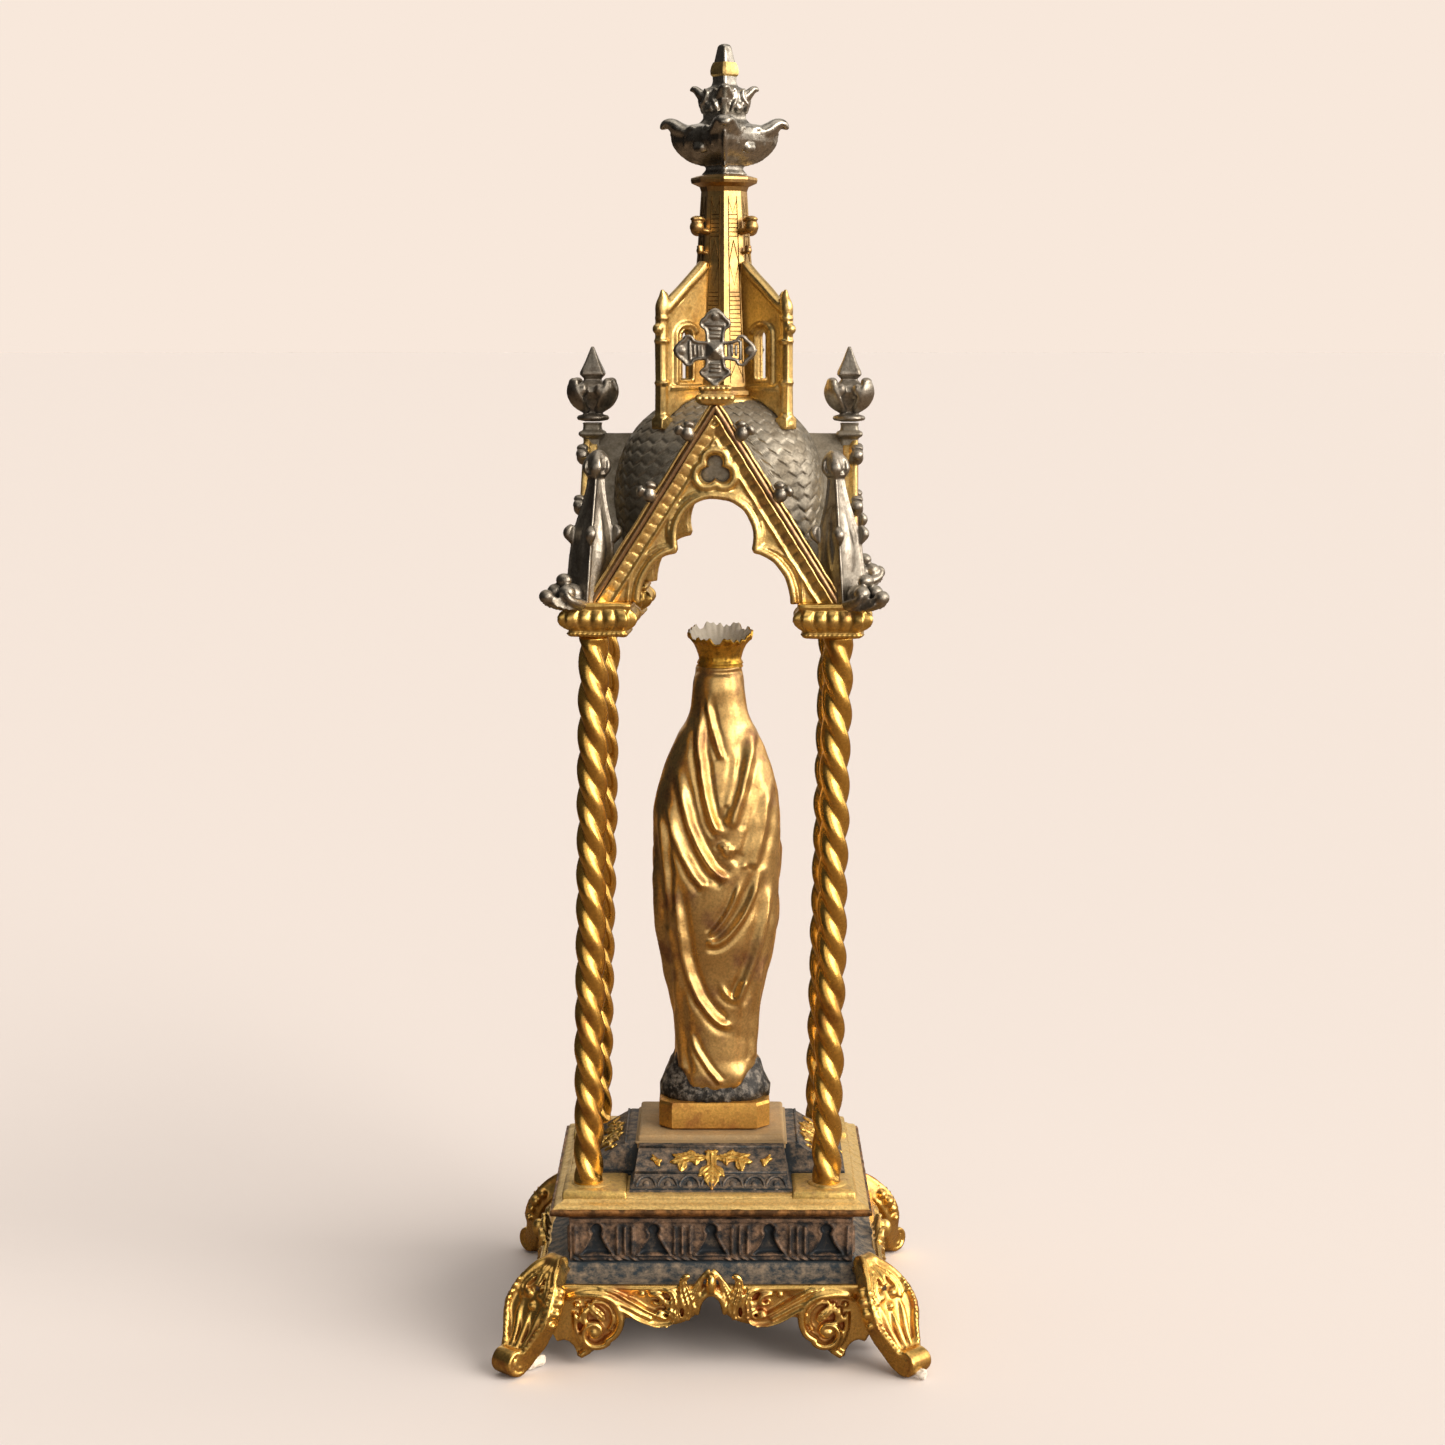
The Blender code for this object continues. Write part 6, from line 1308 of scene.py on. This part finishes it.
def dome_skin(wall, rows, tiled):
    """Rows of the dome's skin, at a wall's depth inside it, from the roofs up to the seat."""
    lower = profile_run[1] * np.ones_like(turns)
    for _ in range(6):
        inward = np.interp(lower, profile_run, profile_in)
        x = (DOME_HALF[0] * inward - wall) * plan_ring * np.cos(turns)
        y = (DOME_HALF[1] * inward - wall) * plan_ring * np.sin(turns)
        edge = np.maximum(under_roof(*GABLE_FIT[0][:2], 3.4, x), under_roof(*GABLE_FIT[1][:2], 3.4, y))
        lower = np.interp(np.maximum(edge, GABLE_FOOT + 3.0) - DOME_SPRING, profile_up, profile_run)
    run = lower + (profile_run[-1] - lower) * np.linspace(0.0, 1.0, rows)[:, None]
    up, inward = np.interp(run, profile_run, profile_up), np.interp(run, profile_run, profile_in)
    scale = tiles(turns / (2 * math.pi) * TILES_AROUND + 0.0 * run, run / TILE_HEIGHT) * TILE_DEPTH * tiled
    reach = scale - 0.4 - wall
    return np.stack([(DOME_HALF[0] * inward + reach) * plan_ring * np.cos(turns),
                     (DOME_HALF[1] * inward + reach) * plan_ring * np.sin(turns),
                     DOME_SPRING + up - wall * up / DOME_RISE + 0.3 * scale * up / DOME_RISE], axis=-1)


dome_rows = np.concatenate([dome_skin(0.0, 150, 1.0), dome_skin(2.2, 12, 0.0)[::-1]])
dome_rows = np.concatenate([dome_rows, dome_rows[:1]])
seat = [ring(r, z, 40)
        for r, z in ((11.4, 256.2), (12.2, 256.8), (12.2, 257.8), (11.6, 258.6), (10.8, 258.9))]
dome = worked([skin(dome_rows, ends=False)], DECIMATE={"ratio": 0.6})
piece("tiled_dome", {dome_patina: [uneven(moved(dome, canopy_place), 9.0, 0.12)]}, ["canopy"])
piece("dome_seat", {canopy_gilding: [moved(skin(seat), canopy_place @ Matrix.Translation((0.9, 0, 0)))]},
      ["canopy"])

# Roofs: two plain slopes behind each gable, which end on the dome and meet in the corners
for side in range(4):
    half, rise = GABLE_FIT[side % 2][:2]
    other_half, other_rise = GABLE_FIT[1 - side % 2][:2]
    reach = (COLUMN_HALF_Y if side % 2 == 0 else COLUMN_HALF_X) + GABLE_OUT - 2.4
    dome_x, dome_y = DOME_HALF[side % 2], DOME_HALF[1 - side % 2]
    rows = []
    for across in np.linspace(-half + 1.4, half - 1.4, 61):
        outline = []
        for drop, wall in ((0.6, 0.6), (4.6, 2.2)):
            level = float(under_roof(half, rise, drop, across))
            share = float(dome_share(level)) - wall / dome_x
            room = 1.0 - min(1.0, abs(across) / (dome_x * share)) ** DOME_SQUARENESS
            valley = other_half * (1.0 - (level + drop - GABLE_FOOT) / other_rise)
            inner = max(dome_y * share * room ** (1 / DOME_SQUARENESS), valley - wall)
            line = [(across, -reach + (reach - inner) * t, level) for t in (0.0, 0.5, 1.0)]
            outline += line if drop < 3 else line[::-1]
        rows.append(outline)
    roof = moved(skin(rows), canopy_place @ Matrix.Rotation(side * math.pi / 2, 4, "Z"))
    piece("roof_" + SIDES[side], {dome_patina: [uneven(roof, 8.0, 0.14, side)]},
          ["canopy"], crease=30)

# Capitals: swelling gadroons between a beaded fillet and the foot of the gables
CAPITAL_ROWS = ((7.2, 196.4, 0), (7.6, 196.5, 0), (7.9, 196.9, 0), (8.2, 197.3, 0), (7.8, 197.7, 0),
                (7.7, 198.1, 0.1), (8.6, 198.7, 0.6), (9.5, 199.6, 0.9), (10.0, 200.7, 1.0),
                (10.0, 201.8, 1.0), (9.6, 202.8, 0.8), (9.0, 203.5, 0.4), (8.8, 204.0, 0.0), (9.2, 204.4, 0),
                (9.2, 205.2, 0), (8.6, 205.6, 0))
capital_rows = []
for half, level, swell in CAPITAL_ROWS:
    outline = []
    for quarter in range(4):
        for share in np.linspace(-1.0, 1.0, 48, endpoint=False):
            middle = ramp(0.60, 0.50, abs(share))
            gadroon = swell * (middle * 0.9 * (abs(math.cos(math.pi * share * 3.0)) ** 0.7 - 0.75)
                               + 0.5 * math.cos(math.pi * (min(1.0, max(0.5, abs(share))) - 0.75) * 2.0)
                               * (abs(share) > 0.5))
            bead = 0.14 * math.sin(share * 40) * (196.8 < level < 197.5)
            corner_cut = (0.35 + 1.5 * swell) * max(0.0, abs(share) - 0.80) / 0.20
            x, y = (half - corner_cut) * share, -(half + gadroon + bead - corner_cut)
            a = quarter * math.pi / 2
            outline.append((x * math.cos(a) - y * math.sin(a), x * math.sin(a) + y * math.cos(a), level))
    capital_rows.append(outline)
capital = skin(capital_rows)
capital_gilding = gilt_zinc("burnished_gilt_capitals", "#E2BC6C", "#B08050", "#5A3A18", 0.4, 2.0, 5.0, 0.30)
pinnacle_rows = ((6.0, 205.2), (5.9, 211.0), (5.6, 218.0), (5.2, 223.0), (4.2, 227.0), (3.1, 231.0),
                 (2.3, 235.0), (1.9, 238.4))
pinnacle_parts = [skin([[(h, 0, z), (0, h, z), (-h, 0, z), (0, -h, z)] for h, z in pinnacle_rows])]
for a in full_turn(4):
    c, s = math.cos(a), math.sin(a)
    pinnacle_parts.append(rib([(h * c, h * s, z, 0.4, 0.4) for h, z in pinnacle_rows], (c, s, 0.0),
                              smooth=False))
    pinnacle_parts.append(rib([(5.65 * c, 5.65 * s, 221.2, 0.75, 0.6), (6.7 * c, 6.7 * s, 223.6, 1.5, 1.35),
                               (5.65 * c, 5.65 * s, 225.55, 0.75, 0.6)], (c, s, 0.0)))
for a in full_turn(4) + math.pi / 4:
    c, s = 0.7 * math.cos(a), 0.7 * math.sin(a)
    pinnacle_parts.append(rib([(5.3 * c, 5.3 * s, 214.0, 1.2, 0.5), (5.2 * c, 5.2 * s, 219.0, 1.7, 0.8),
                               (4.6 * c, 4.6 * s, 224.0, 0.9, 0.6), (3.0 * c, 3.0 * s, 230.0, 0.5, 0.4)],
                              (c, s, 0.0)))
pinnacle_parts += [egg((0, 0, 238.9), (2.6, 2.6, 0.9)), egg((0, 0, 241.8), (2.6, 2.6, 3.6))]
for a in full_turn(4):
    c, s = math.cos(a), math.sin(a)
    pinnacle_parts.append(rib([(1.9 * c, 1.9 * s, 238.6, 1.0, 0.7), (3.0 * c, 3.0 * s, 240.4, 1.6, 0.8),
                               (2.6 * c, 2.6 * s, 242.6, 1.2, 0.7), (1.1 * c, 1.1 * s, 244.8, 0.5, 0.4)],
                              across=(-s, c, 0.0)))
pinnacle = fused(pinnacle_parts, 0.3, 2)
# Leaf at the corner over each capital: balls held by a leaf band, and a curled tip that reaches out
corner_parts = [egg((6.0, 0.0, 4.6), (3.1, 3.1, 3.0)), egg((9.6, 2.4, 5.4), (2.3, 2.2, 2.2)),
                egg((9.6, -2.4, 5.4), (2.3, 2.2, 2.2)), egg((3.4, 0.0, 2.2), (2.6, 3.6, 2.0)),
                egg((8.6, 0.0, 8.6), (2.0, 2.4, 1.8)),
                rib([(2.0, 0.0, 0.8, 3.4, 1.2), (6.6, 0.0, 1.7, 3.6, 1.4), (11.0, 0.0, 2.2, 3.0, 1.4),
                     (14.0, 0.0, 3.4, 2.2, 1.2)], across=(0.0, 1.0, 0.0), section=LEAF),
                egg((14.6, 0.0, 4.6), (1.9, 2.1, 1.9))]
for side in (-1, 1):
    corner_parts.append(rib([(3.0, side * 3.0, 1.8, 1.2, 1.2), (7.0, side * 4.0, 2.6, 1.4, 1.3),
                             (10.4, side * 4.6, 3.8, 1.0, 1.0), (11.6, side * 4.4, 5.6, 0.6, 0.7)], UP))
corner_leaf = fused(corner_parts, 0.32, 2)
for name, sign_x, sign_y in CORNERS:
    seat_at = canopy_place @ Matrix.Translation((sign_x * (COLUMN_HALF_X - 1.5),
                                                 sign_y * (COLUMN_HALF_Y - 1.5), 0))
    piece("capital_" + name, {capital_gilding: [uneven(moved(capital, seat_at), 6.0, 0.15)]}, ["canopy"])
    lean = Matrix(((1, 0, -sign_x * PINNACLE_LEAN, 0), (0, 1, -sign_y * PINNACLE_LEAN, 0),
                   (0, 0, 1, 0), (0, 0, 0, 1)))
    spot = canopy_place @ Matrix.Translation((sign_x * 33.6, sign_y * 29.6, PINNACLE_FOOT)) @ lean
    spot = spot @ Matrix.Translation((0, 0, -PINNACLE_FOOT))
    piece("pinnacle_" + name, {silver_casting: [moved(pinnacle, spot)]}, ["canopy"])
    corner = canopy_place @ Matrix.Translation((sign_x * 33.4, sign_y * 29.6, 203.0))
    corner = corner @ Matrix.Rotation(math.atan2(sign_y, sign_x), 4, "Z")
    piece("corner_leaf_" + name, {silver_casting: [moved(corner_leaf, corner)]}, ["canopy"])

# Foot of each gable cross, with two beaded bands, and the posts of the side gables
foot_ring = ((3.4, 257.0), (4.6, 257.6), (5.1, 258.4), (5.1, 259.4), (4.7, 260.0), (4.1, 260.3),
             (4.0, 260.8), (4.3, 261.1), (4.3, 261.8), (4.0, 262.1), (3.4, 262.3))
for sign_y, name in ((-1, "front"), (1, "rear")):
    seat_at = canopy_place @ Matrix.Translation((0.0, sign_y * (COLUMN_HALF_Y + GABLE_OUT - 1.6), 0.0))
    parts = [skin([chamfered(half, half * 0.72, 1.4, 0.0, level) for half, level in foot_ring])]
    for level, half in ((258.9, 5.1), (261.5, 4.3)):
        for x in np.linspace(-half + 0.9, half - 0.9, 6):
            for y in (-half * 0.72, half * 0.72):
                parts.append(egg((x, y, level), (0.75, 0.55, 0.55)))
    piece("cross_foot_" + name, {canopy_gilding: [moved(fused(parts, 0.25, 2), seat_at)]}, ["canopy"])
post_ring = ((2.4, 243.0), (2.4, 247.4), (3.4, 248.0), (3.7, 248.6), (3.4, 249.2), (2.5, 249.6),
             (2.4, 251.0), (2.6, 251.6))
for sign_x, name in ((-1, "left"), (1, "right")):
    seat_at = canopy_place @ Matrix.Translation((sign_x * (COLUMN_HALF_X + GABLE_OUT - 1.35), 0.0, 0.0))
    parts = [skin([chamfered(half, half, 0.6, 0.0, level) for half, level in post_ring])]
    piece("finial_post_" + name, {dome_patina: [moved(fused(parts, 0.25, 2), seat_at)]}, ["canopy"])


# Spire: one casting of gilt zinc, eight-sided and incised with a ladder and lozenges, that stands on
# the dome between four pierced buttress fins with colonnettes.
SPIRE_X = CANOPY_SHIFT + 0.9
SPIRE_ROWS = ((10.6, 258.9), (11.0, 259.3), (11.0, 260.4), (10.3, 261.0), (9.8, 261.4), (7.4, 295.3),
              (7.3, 296.2), (6.2, 313.4), (6.6, 314.6), (8.8, 315.6), (9.0, 316.4), (8.9, 317.0),
              (7.4, 317.5), (6.4, 317.7))
FIN_HALF = 1.2
spire_gilding = gilt_zinc("rubbed_gilt_spire", "#C6A368", "#A98560", "#3E260E", 0.5, 1.7, 6.0, 0.33, 0.2)
spire_lines = gilt_zinc("bright_gilt_spire_lines", "#E6C682", "#B08850", "#4E3014", 0.4, 1.2, 4.0, 0.32)

shaft = skin([ring(radius, level, 8) for radius, level in SPIRE_ROWS])


def on_spire(face, across, level, lift=0.0):
    """Place on one of the eight faces: across it in shares of its half width, at a level."""
    radius = np.interp(level, [z for _, z in SPIRE_ROWS], [r for r, _ in SPIRE_ROWS])
    a = -math.pi / 2 + (face + 0.5) * math.pi / 4
    out = radius * math.cos(math.pi / 8) + lift
    side = across * radius * math.sin(math.pi / 8)
    return (out * math.cos(a) - side * math.sin(a), out * math.sin(a) + side * math.cos(a), level)


def cut_line(face, points):
    """Thin dark line on a face of the spire, a fine rib half sunk in it that stands for a scratched line:
    its dark colour is dirt and the painted shade of the groove.
    """
    a = -math.pi / 2 + (face + 0.5) * math.pi / 4
    return rib([(*on_spire(face, x, z), 0.13, 0.07) for x, z in points], (math.cos(a), math.sin(a), 0.0),
               smooth=False, section=ROUND[::2])


# Dark colour of the lines: dirt in them, and painted shade of grooves that the thin ribs do not cut
spire_cuts = gilt_zinc("grime_and_painted_groove_shade_in_scratched_lines", "#5E4420", "#4A3418", "#20140A", 0.5, 1.0, 4.0, 0.5)
cuts = []
for face in range(8):
    cuts += [cut_line(face, [(x, 262.5), (x, 312.0)]) for x in (-0.5, 0.5)]
    cuts += [cut_line(face, [(-0.5, 311.0), (0.0, 307.6), (0.5, 311.0)]),
             cut_line(face, [(0.0, 300.4), (0.48, 294.4), (0.0, 288.4), (-0.48, 294.4), (0.0, 300.4)]),
             cut_line(face, [(-0.5, 264.0), (0.0, 268.0), (0.5, 264.0)])]
    for level in list(np.arange(270.5, 287.4, 1.15)) + list(np.arange(301.4, 307.6, 1.15)):
        cuts.append(cut_line(face, [(-0.44, level), (0.44, level)]))
upright = Matrix.Translation((SPIRE_X, 0, 0))
piece("spire_shaft", {spire_gilding: [moved(shaft, upright)],
                      spire_cuts: [moved(cut, upright) for cut in cuts]}, ["spire"], crease=20)

dome_at = [(8.0, 259.4), (12.0, 258.4), (16.0, 256.9), (20.0, 254.6), (24.9, 250.8)]
fin_edge = [(7.4, 259.4)] + dome_at[1:] + [(24.9, 281.6), (23.0, 282.2), (7.4, 294.8)]
opening = [(12.9, 263.2), (17.9, 263.2), (17.9, 274.6)]
opening += [(15.4 + 2.5 * math.cos(a), 274.6 + 2.4 * math.sin(a))
            for a in np.linspace(0.2, math.pi - 0.2, 8)]
opening += [(12.9, 274.6)]
frame_line = [(15.4 + 1.55 * (x - 15.4), 269.4 + 1.14 * (y - 269.4)) for x, y in opening[1:-1]]
fin_parts = [slab([fin_edge, opening], -FIN_HALF, FIN_HALF)]
for face in (-1, 1):
    lift = face * FIN_HALF
    fin_parts += [rib([(8.0, 293.4, lift, 0.9, 0.6), (22.4, 281.8, lift, 0.9, 0.6)], UP, smooth=False),
                  rib([(*at, lift, 0.4, 0.5) for at in opening + opening[:1]], UP, smooth=False),
                  rib([(*at, lift, 0.75, 0.8) for at in frame_line], UP, smooth=False),
                  rib([(9.6, 261.4, lift, 0.6, 0.7), (21.4, 261.4, lift, 0.6, 0.7)], UP, smooth=False)]
fin_parts += [rib([(8.0, 294.4, 0.0, 0.7, 1.8), (22.8, 282.4, 0.0, 0.7, 1.8)], UP, smooth=False)]
# Colonnette on the outer edge, with a ring, a ball knob, a base block and a leaf-shaped tip
for radius, level in ((2.3, 251.6), (2.1, 253.6), (1.5, 254.6)):
    fin_parts.append(egg((23.4, level, 0.0), (radius, 1.2, radius)))
fin_parts.append(rib([(23.4, 251.0, 0.0, 1.5, 1.5), (23.4, 281.0, 0.0, 1.5, 1.5)], UP, smooth=False))
fin_parts.append(slab([[(21.2, 250.4), (25.4, 250.4), (25.4, 253.4), (21.2, 253.4)]], -2.1, 2.1))
for level in (273.6, 262.6):
    fin_parts.append(egg((23.4, level, 0.0), (2.1, 0.75, 2.1)))
fin_parts += [egg((24.9, 276.8, 0.0), (1.5, 1.5, 1.5)), egg((23.4, 279.6, 0.0), (1.9, 0.8, 1.9)),
              rib([(23.6, 279.6, 0.0, 1.4, 1.4), (23.2, 282.4, 0.0, 2.1, 1.8), (22.8, 285.0, 0.0, 1.5, 1.2),
                   (23.2, 287.2, 0.0, 0.4, 0.3)], UP)]
fin = fused(fin_parts, 0.33, 2)
hooks = []
for size, out, level in ((1.95, 10.3, 303.8), (1.0, 9.2, 297.6)):
    hooks += [egg((out, 0.0, level), (size, size, size)),
              rib([(6.4, 0.0, level - 0.6 * size, 0.8 * size, 0.5 * size),
                   (out, 0.0, level - 0.4 * size, 0.7 * size, 0.4 * size)], across=(0, 1, 0)),
              rib([(out - 1.1 * size, 0.0, level + 0.9 * size, 0.7 * size, 0.35 * size),
                   (out, 0.0, level + 1.15 * size, 0.9 * size, 0.4 * size),
                   (out + 0.9 * size, 0.0, level + 1.0 * size, 0.4 * size, 0.25 * size)], across=(0, 1, 0))]
hooks = fused(hooks, 0.25, 2)
stand_up = Matrix(((1, 0, 0, 0), (0, 0, -1, 0), (0, 1, 0, 0), (0, 0, 0, 1)))
for quarter in range(4):
    turn = Matrix.Translation((SPIRE_X, 0, 0)) @ Matrix.Rotation(math.pi / 4 + quarter * math.pi / 2, 4, "Z")
    piece(f"spire_fin_{quarter}", {spire_lines: [uneven(moved(fin, turn @ stand_up), 7.0, 0.10, quarter)]},
          ["spire"])
    piece(f"spire_crockets_{quarter}", {spire_gilding: [moved(hooks, turn)]}, ["spire"])


# Top finial: a silvered casting screwed on the spire. Two tiers of four leaves curl out from a square
# stem that stands on its corner, under a gilt collar and a blunt tip.
FINIAL_X = 3.6
finial_silver = gilt_zinc("tarnished_silvered_finial", "#B2AEA6", "#6E685E", "#0E0C0A", 0.6, 2.6, 3.0, 0.27)
FINIAL_ROWS = ((6.3, 317.9), (5.9, 318.3), (5.1, 319.2), (5.1, 320.4), (6.6, 321.3), (9.6, 322.6),
               (12.0, 324.2), (13.4, 326.4), (13.6, 328.6), (12.6, 330.2), (9.6, 331.0), (7.0, 331.4),
               (5.8, 332.6), (5.9, 334.0), (7.0, 335.8), (7.3, 337.4), (6.9, 339.2), (5.4, 340.4),
               (3.6, 341.2), (3.2, 342.4), (3.3, 344.0), (3.4, 345.2), (2.9, 347.2), (2.3, 349.8),
               (1.9, 351.6), (1.2, 352.2), (0.4, 352.3))


def square_ring(half, level, cut=0.12):
    """Ring of a square that stands on its corner, with its corners a little cut."""
    return [(half * math.cos(a) * w, half * math.sin(a) * w, level)
            for q in range(4) for a, w in ((q * math.pi / 2 - cut, 0.99), (q * math.pi / 2 + cut, 0.99),
                                           (q * math.pi / 2 + math.pi / 4, 0.74))]


finial_parts = [skin([square_ring(half, level) for half, level in FINIAL_ROWS])]
for quarter in range(4):
    turn = Matrix.Rotation(quarter * math.pi / 2, 4, "Z")
    leaf_parts = [
        # Curled tips of the two tiers, broad where they leave the stem
        rib([(9.0, 0, 328.2, 5.0, 2.2), (12.0, 0, 329.6, 4.0, 2.2), (13.9, 0, 331.0, 3.2, 1.8),
             (15.4, 0, 331.4, 2.4, 1.3), (16.4, 0, 330.8, 1.8, 1.0), (16.5, 0, 329.8, 1.2, 0.8)],
            across=(0, 1, 0)),
        rib([(5.2, 0, 337.8, 2.8, 1.4), (6.6, 0, 339.2, 2.2, 1.3), (7.7, 0, 340.3, 1.6, 1.0),
             (8.5, 0, 340.4, 1.2, 0.8), (8.8, 0, 339.7, 0.8, 0.6)], across=(0, 1, 0)),
        # Midrib of the lower leaf up its outer side
        rib([(5.4, 0, 320.6, 0.5, 0.7), (9.6, 0, 322.2, 0.6, 0.8), (13.0, 0, 325.4, 0.6, 0.8),
             (13.9, 0, 328.8, 0.6, 0.8)], across=(0, 1, 0))]
    for side in (-1, 1):
        leaf_parts += [
            # Lobed edge of the lower leaf, which rolls over the face of the bowl
            rib([(10.4, side * 3.2, 325.0, 0.5, 0.6), (10.2, side * 3.6, 328.0, 0.8, 0.8),
                 (8.8, side * 4.6, 329.8, 0.9, 0.9), (7.4, side * 5.6, 328.6, 0.7, 0.7),
                 (7.8, side * 5.4, 326.6, 0.5, 0.6)], (1.0, side, 0.2)),
            egg((7.0, side * 6.0, 324.6), (1.4, 1.4, 1.5)),
            # Comma-shaped scroll on the side of the upper leaf
            rib([(5.6, side * 1.6, 334.2, 0.5, 0.7), (6.0, side * 2.4, 336.0, 0.6, 0.8),
                 (5.0, side * 3.0, 337.6, 0.6, 0.8), (4.6, side * 2.8, 339.4, 0.6, 0.8),
                 (5.4, side * 2.2, 340.2, 0.5, 0.6)], (1.0, side, 0.2)),
            egg((4.2, side * 3.6, 335.2), (1.0, 1.0, 1.4))]
    finial_parts += [moved(part, turn) for part in leaf_parts]
finial_body = fused(finial_parts, 0.34, 2)
collar_rows = ((3.2, 343.6), (3.8, 344.2), (3.9, 345.2), (3.6, 346.4), (3.1, 347.4))
collar = skin([square_ring(half, level) for half, level in collar_rows])
top_place = Matrix.Translation((FINIAL_X, 0, 0))
piece("finial_leaves", {finial_silver: [moved(finial_body, top_place)]}, ["finial"])
piece("finial_collar", {spire_lines: [moved(collar, top_place)]}, ["finial"], crease=30)


# Gable crosses: silvered castings with trefoil ends, ribbed sunk panels and a raised boss, each on
# the foot at the top of its gable.
CROSS_CENTRE = 271.2
CROSS_FOOT_ARM = 0.82                # length of the arm that stands on the foot, as a share of the others
CROSS_ARM = ((2.0, 2.1), (4.6, 2.3), (6.0, 2.7), (6.5, 3.7), (7.3, 4.1), (8.1, 3.7), (8.6, 2.9), (9.6, 2.2),
             (10.6, 1.0), (11.0, 0.0))           # along an arm from the centre, and half width
cross_outline = []
for quarter in range(4):
    turn = quarter * math.pi / 2
    stretch = CROSS_FOOT_ARM if quarter == 3 else 1.0
    for a, b in [*CROSS_ARM] + [(a, -b) for a, b in CROSS_ARM[-2::-1]]:
        cross_outline.append((a * stretch * math.cos(turn) + b * math.sin(turn),
                              a * stretch * math.sin(turn) - b * math.cos(turn)))
cross_parts = [slab([cross_outline], -1.0, 1.0)]
edge_line = [(x * 0.93, y * 0.93) for x, y in cross_outline + cross_outline[:1]]
for face in (-1, 1):
    cross_parts.append(rib([(*at, face, 0.4, 0.5) for at in edge_line], UP, smooth=False))
    for quarter in range(4):
        c, s = math.cos(quarter * math.pi / 2), math.sin(quarter * math.pi / 2)
        for a in (3.4, 4.4, 5.4, 6.6):
            wide = 1.3 if a < 6 else 2.4
            cross_parts.append(rib([(a * c + wide * s, a * s - wide * c, face, 0.28, 0.4),
                                    (a * c - wide * s, a * s + wide * c, face, 0.28, 0.4)], UP,
                                   smooth=False))
        cross_parts.append(egg((8.9 * c, 8.9 * s, face), (1.1, 1.1, 0.6)))
    boss = ((2.3, 0.0), (2.1, 1.3 * face), (0.2, 2.4 * face))
    cross_parts.append(skin([[(h, h, z), (-h, h, z), (-h, -h, z), (h, -h, z)][::face] for h, z in boss]))
cross = fused(cross_parts, 0.27, 2)
for sign_y, name in ((-1, "front"), (1, "rear")):
    low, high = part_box("cross_" + name)
    spot = Matrix.Translation(((low.x + high.x) / 2 / MM, (low.y + high.y) / 2 / MM, CROSS_CENTRE))
    shape = moved(cross, spot @ Matrix.Rotation(CANOPY_TURN, 4, "Z") @ stand_up)
    piece("trefoil_cross_" + name, {silver_casting: [shape]}, ["cross_" + name])


# Side finials: silvered castings on the posts of the side gables, a ring, a cup of four leaves and
# a small pyramid.
CUP_ROWS = ((2.4, 251.9), (2.6, 252.2), (2.6, 254.6), (3.4, 256.4), (5.2, 258.2), (6.4, 260.0), (5.6, 261.6),
            (3.6, 262.6), (2.8, 263.4), (3.6, 264.0), (4.3, 264.6), (4.2, 265.4), (2.6, 268.0), (0.5, 272.2))
CUP_RING = ((2.6, 252.0), (4.2, 252.3), (4.5, 252.9), (4.2, 253.5), (2.6, 253.9))
side_parts = [skin([square_ring(half, level) for half, level in CUP_ROWS]),
              skin([ring(radius, level, 24) for radius, level in CUP_RING])]
for quarter in range(4):
    turn = Matrix.Rotation(quarter * math.pi / 2, 4, "Z")
    leaf_parts = [rib([(2.4, 0, 254.8, 1.4, 0.9), (4.8, 0, 256.6, 2.8, 1.2), (6.4, 0, 259.2, 3.0, 1.3),
                       (6.9, 0, 261.6, 2.2, 1.1), (6.4, 0, 263.4, 0.9, 0.7)], across=(0, 1, 0)),
                  egg((6.6, 0, 262.6), (1.3, 1.8, 1.2))]
    for side in (-1, 1):
        leaf_parts.append(egg((5.4, side * 2.4, 260.6), (1.3, 1.3, 1.7)))
    side_parts += [moved(part, turn) for part in leaf_parts]
cup = fused(side_parts, 0.3, 2)
for name in ("left", "right"):
    low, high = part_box("side_finial_" + name)
    spot = Matrix.Translation(((low.x + high.x) / 2 / MM, (low.y + high.y) / 2 / MM, 0.0))
    shape = moved(cup, spot @ Matrix.Rotation(CANOPY_TURN + math.pi / 4, 4, "Z"))
    piece("leaf_cup_" + name, {silver_casting: [shape]}, ["side_finial_" + name])
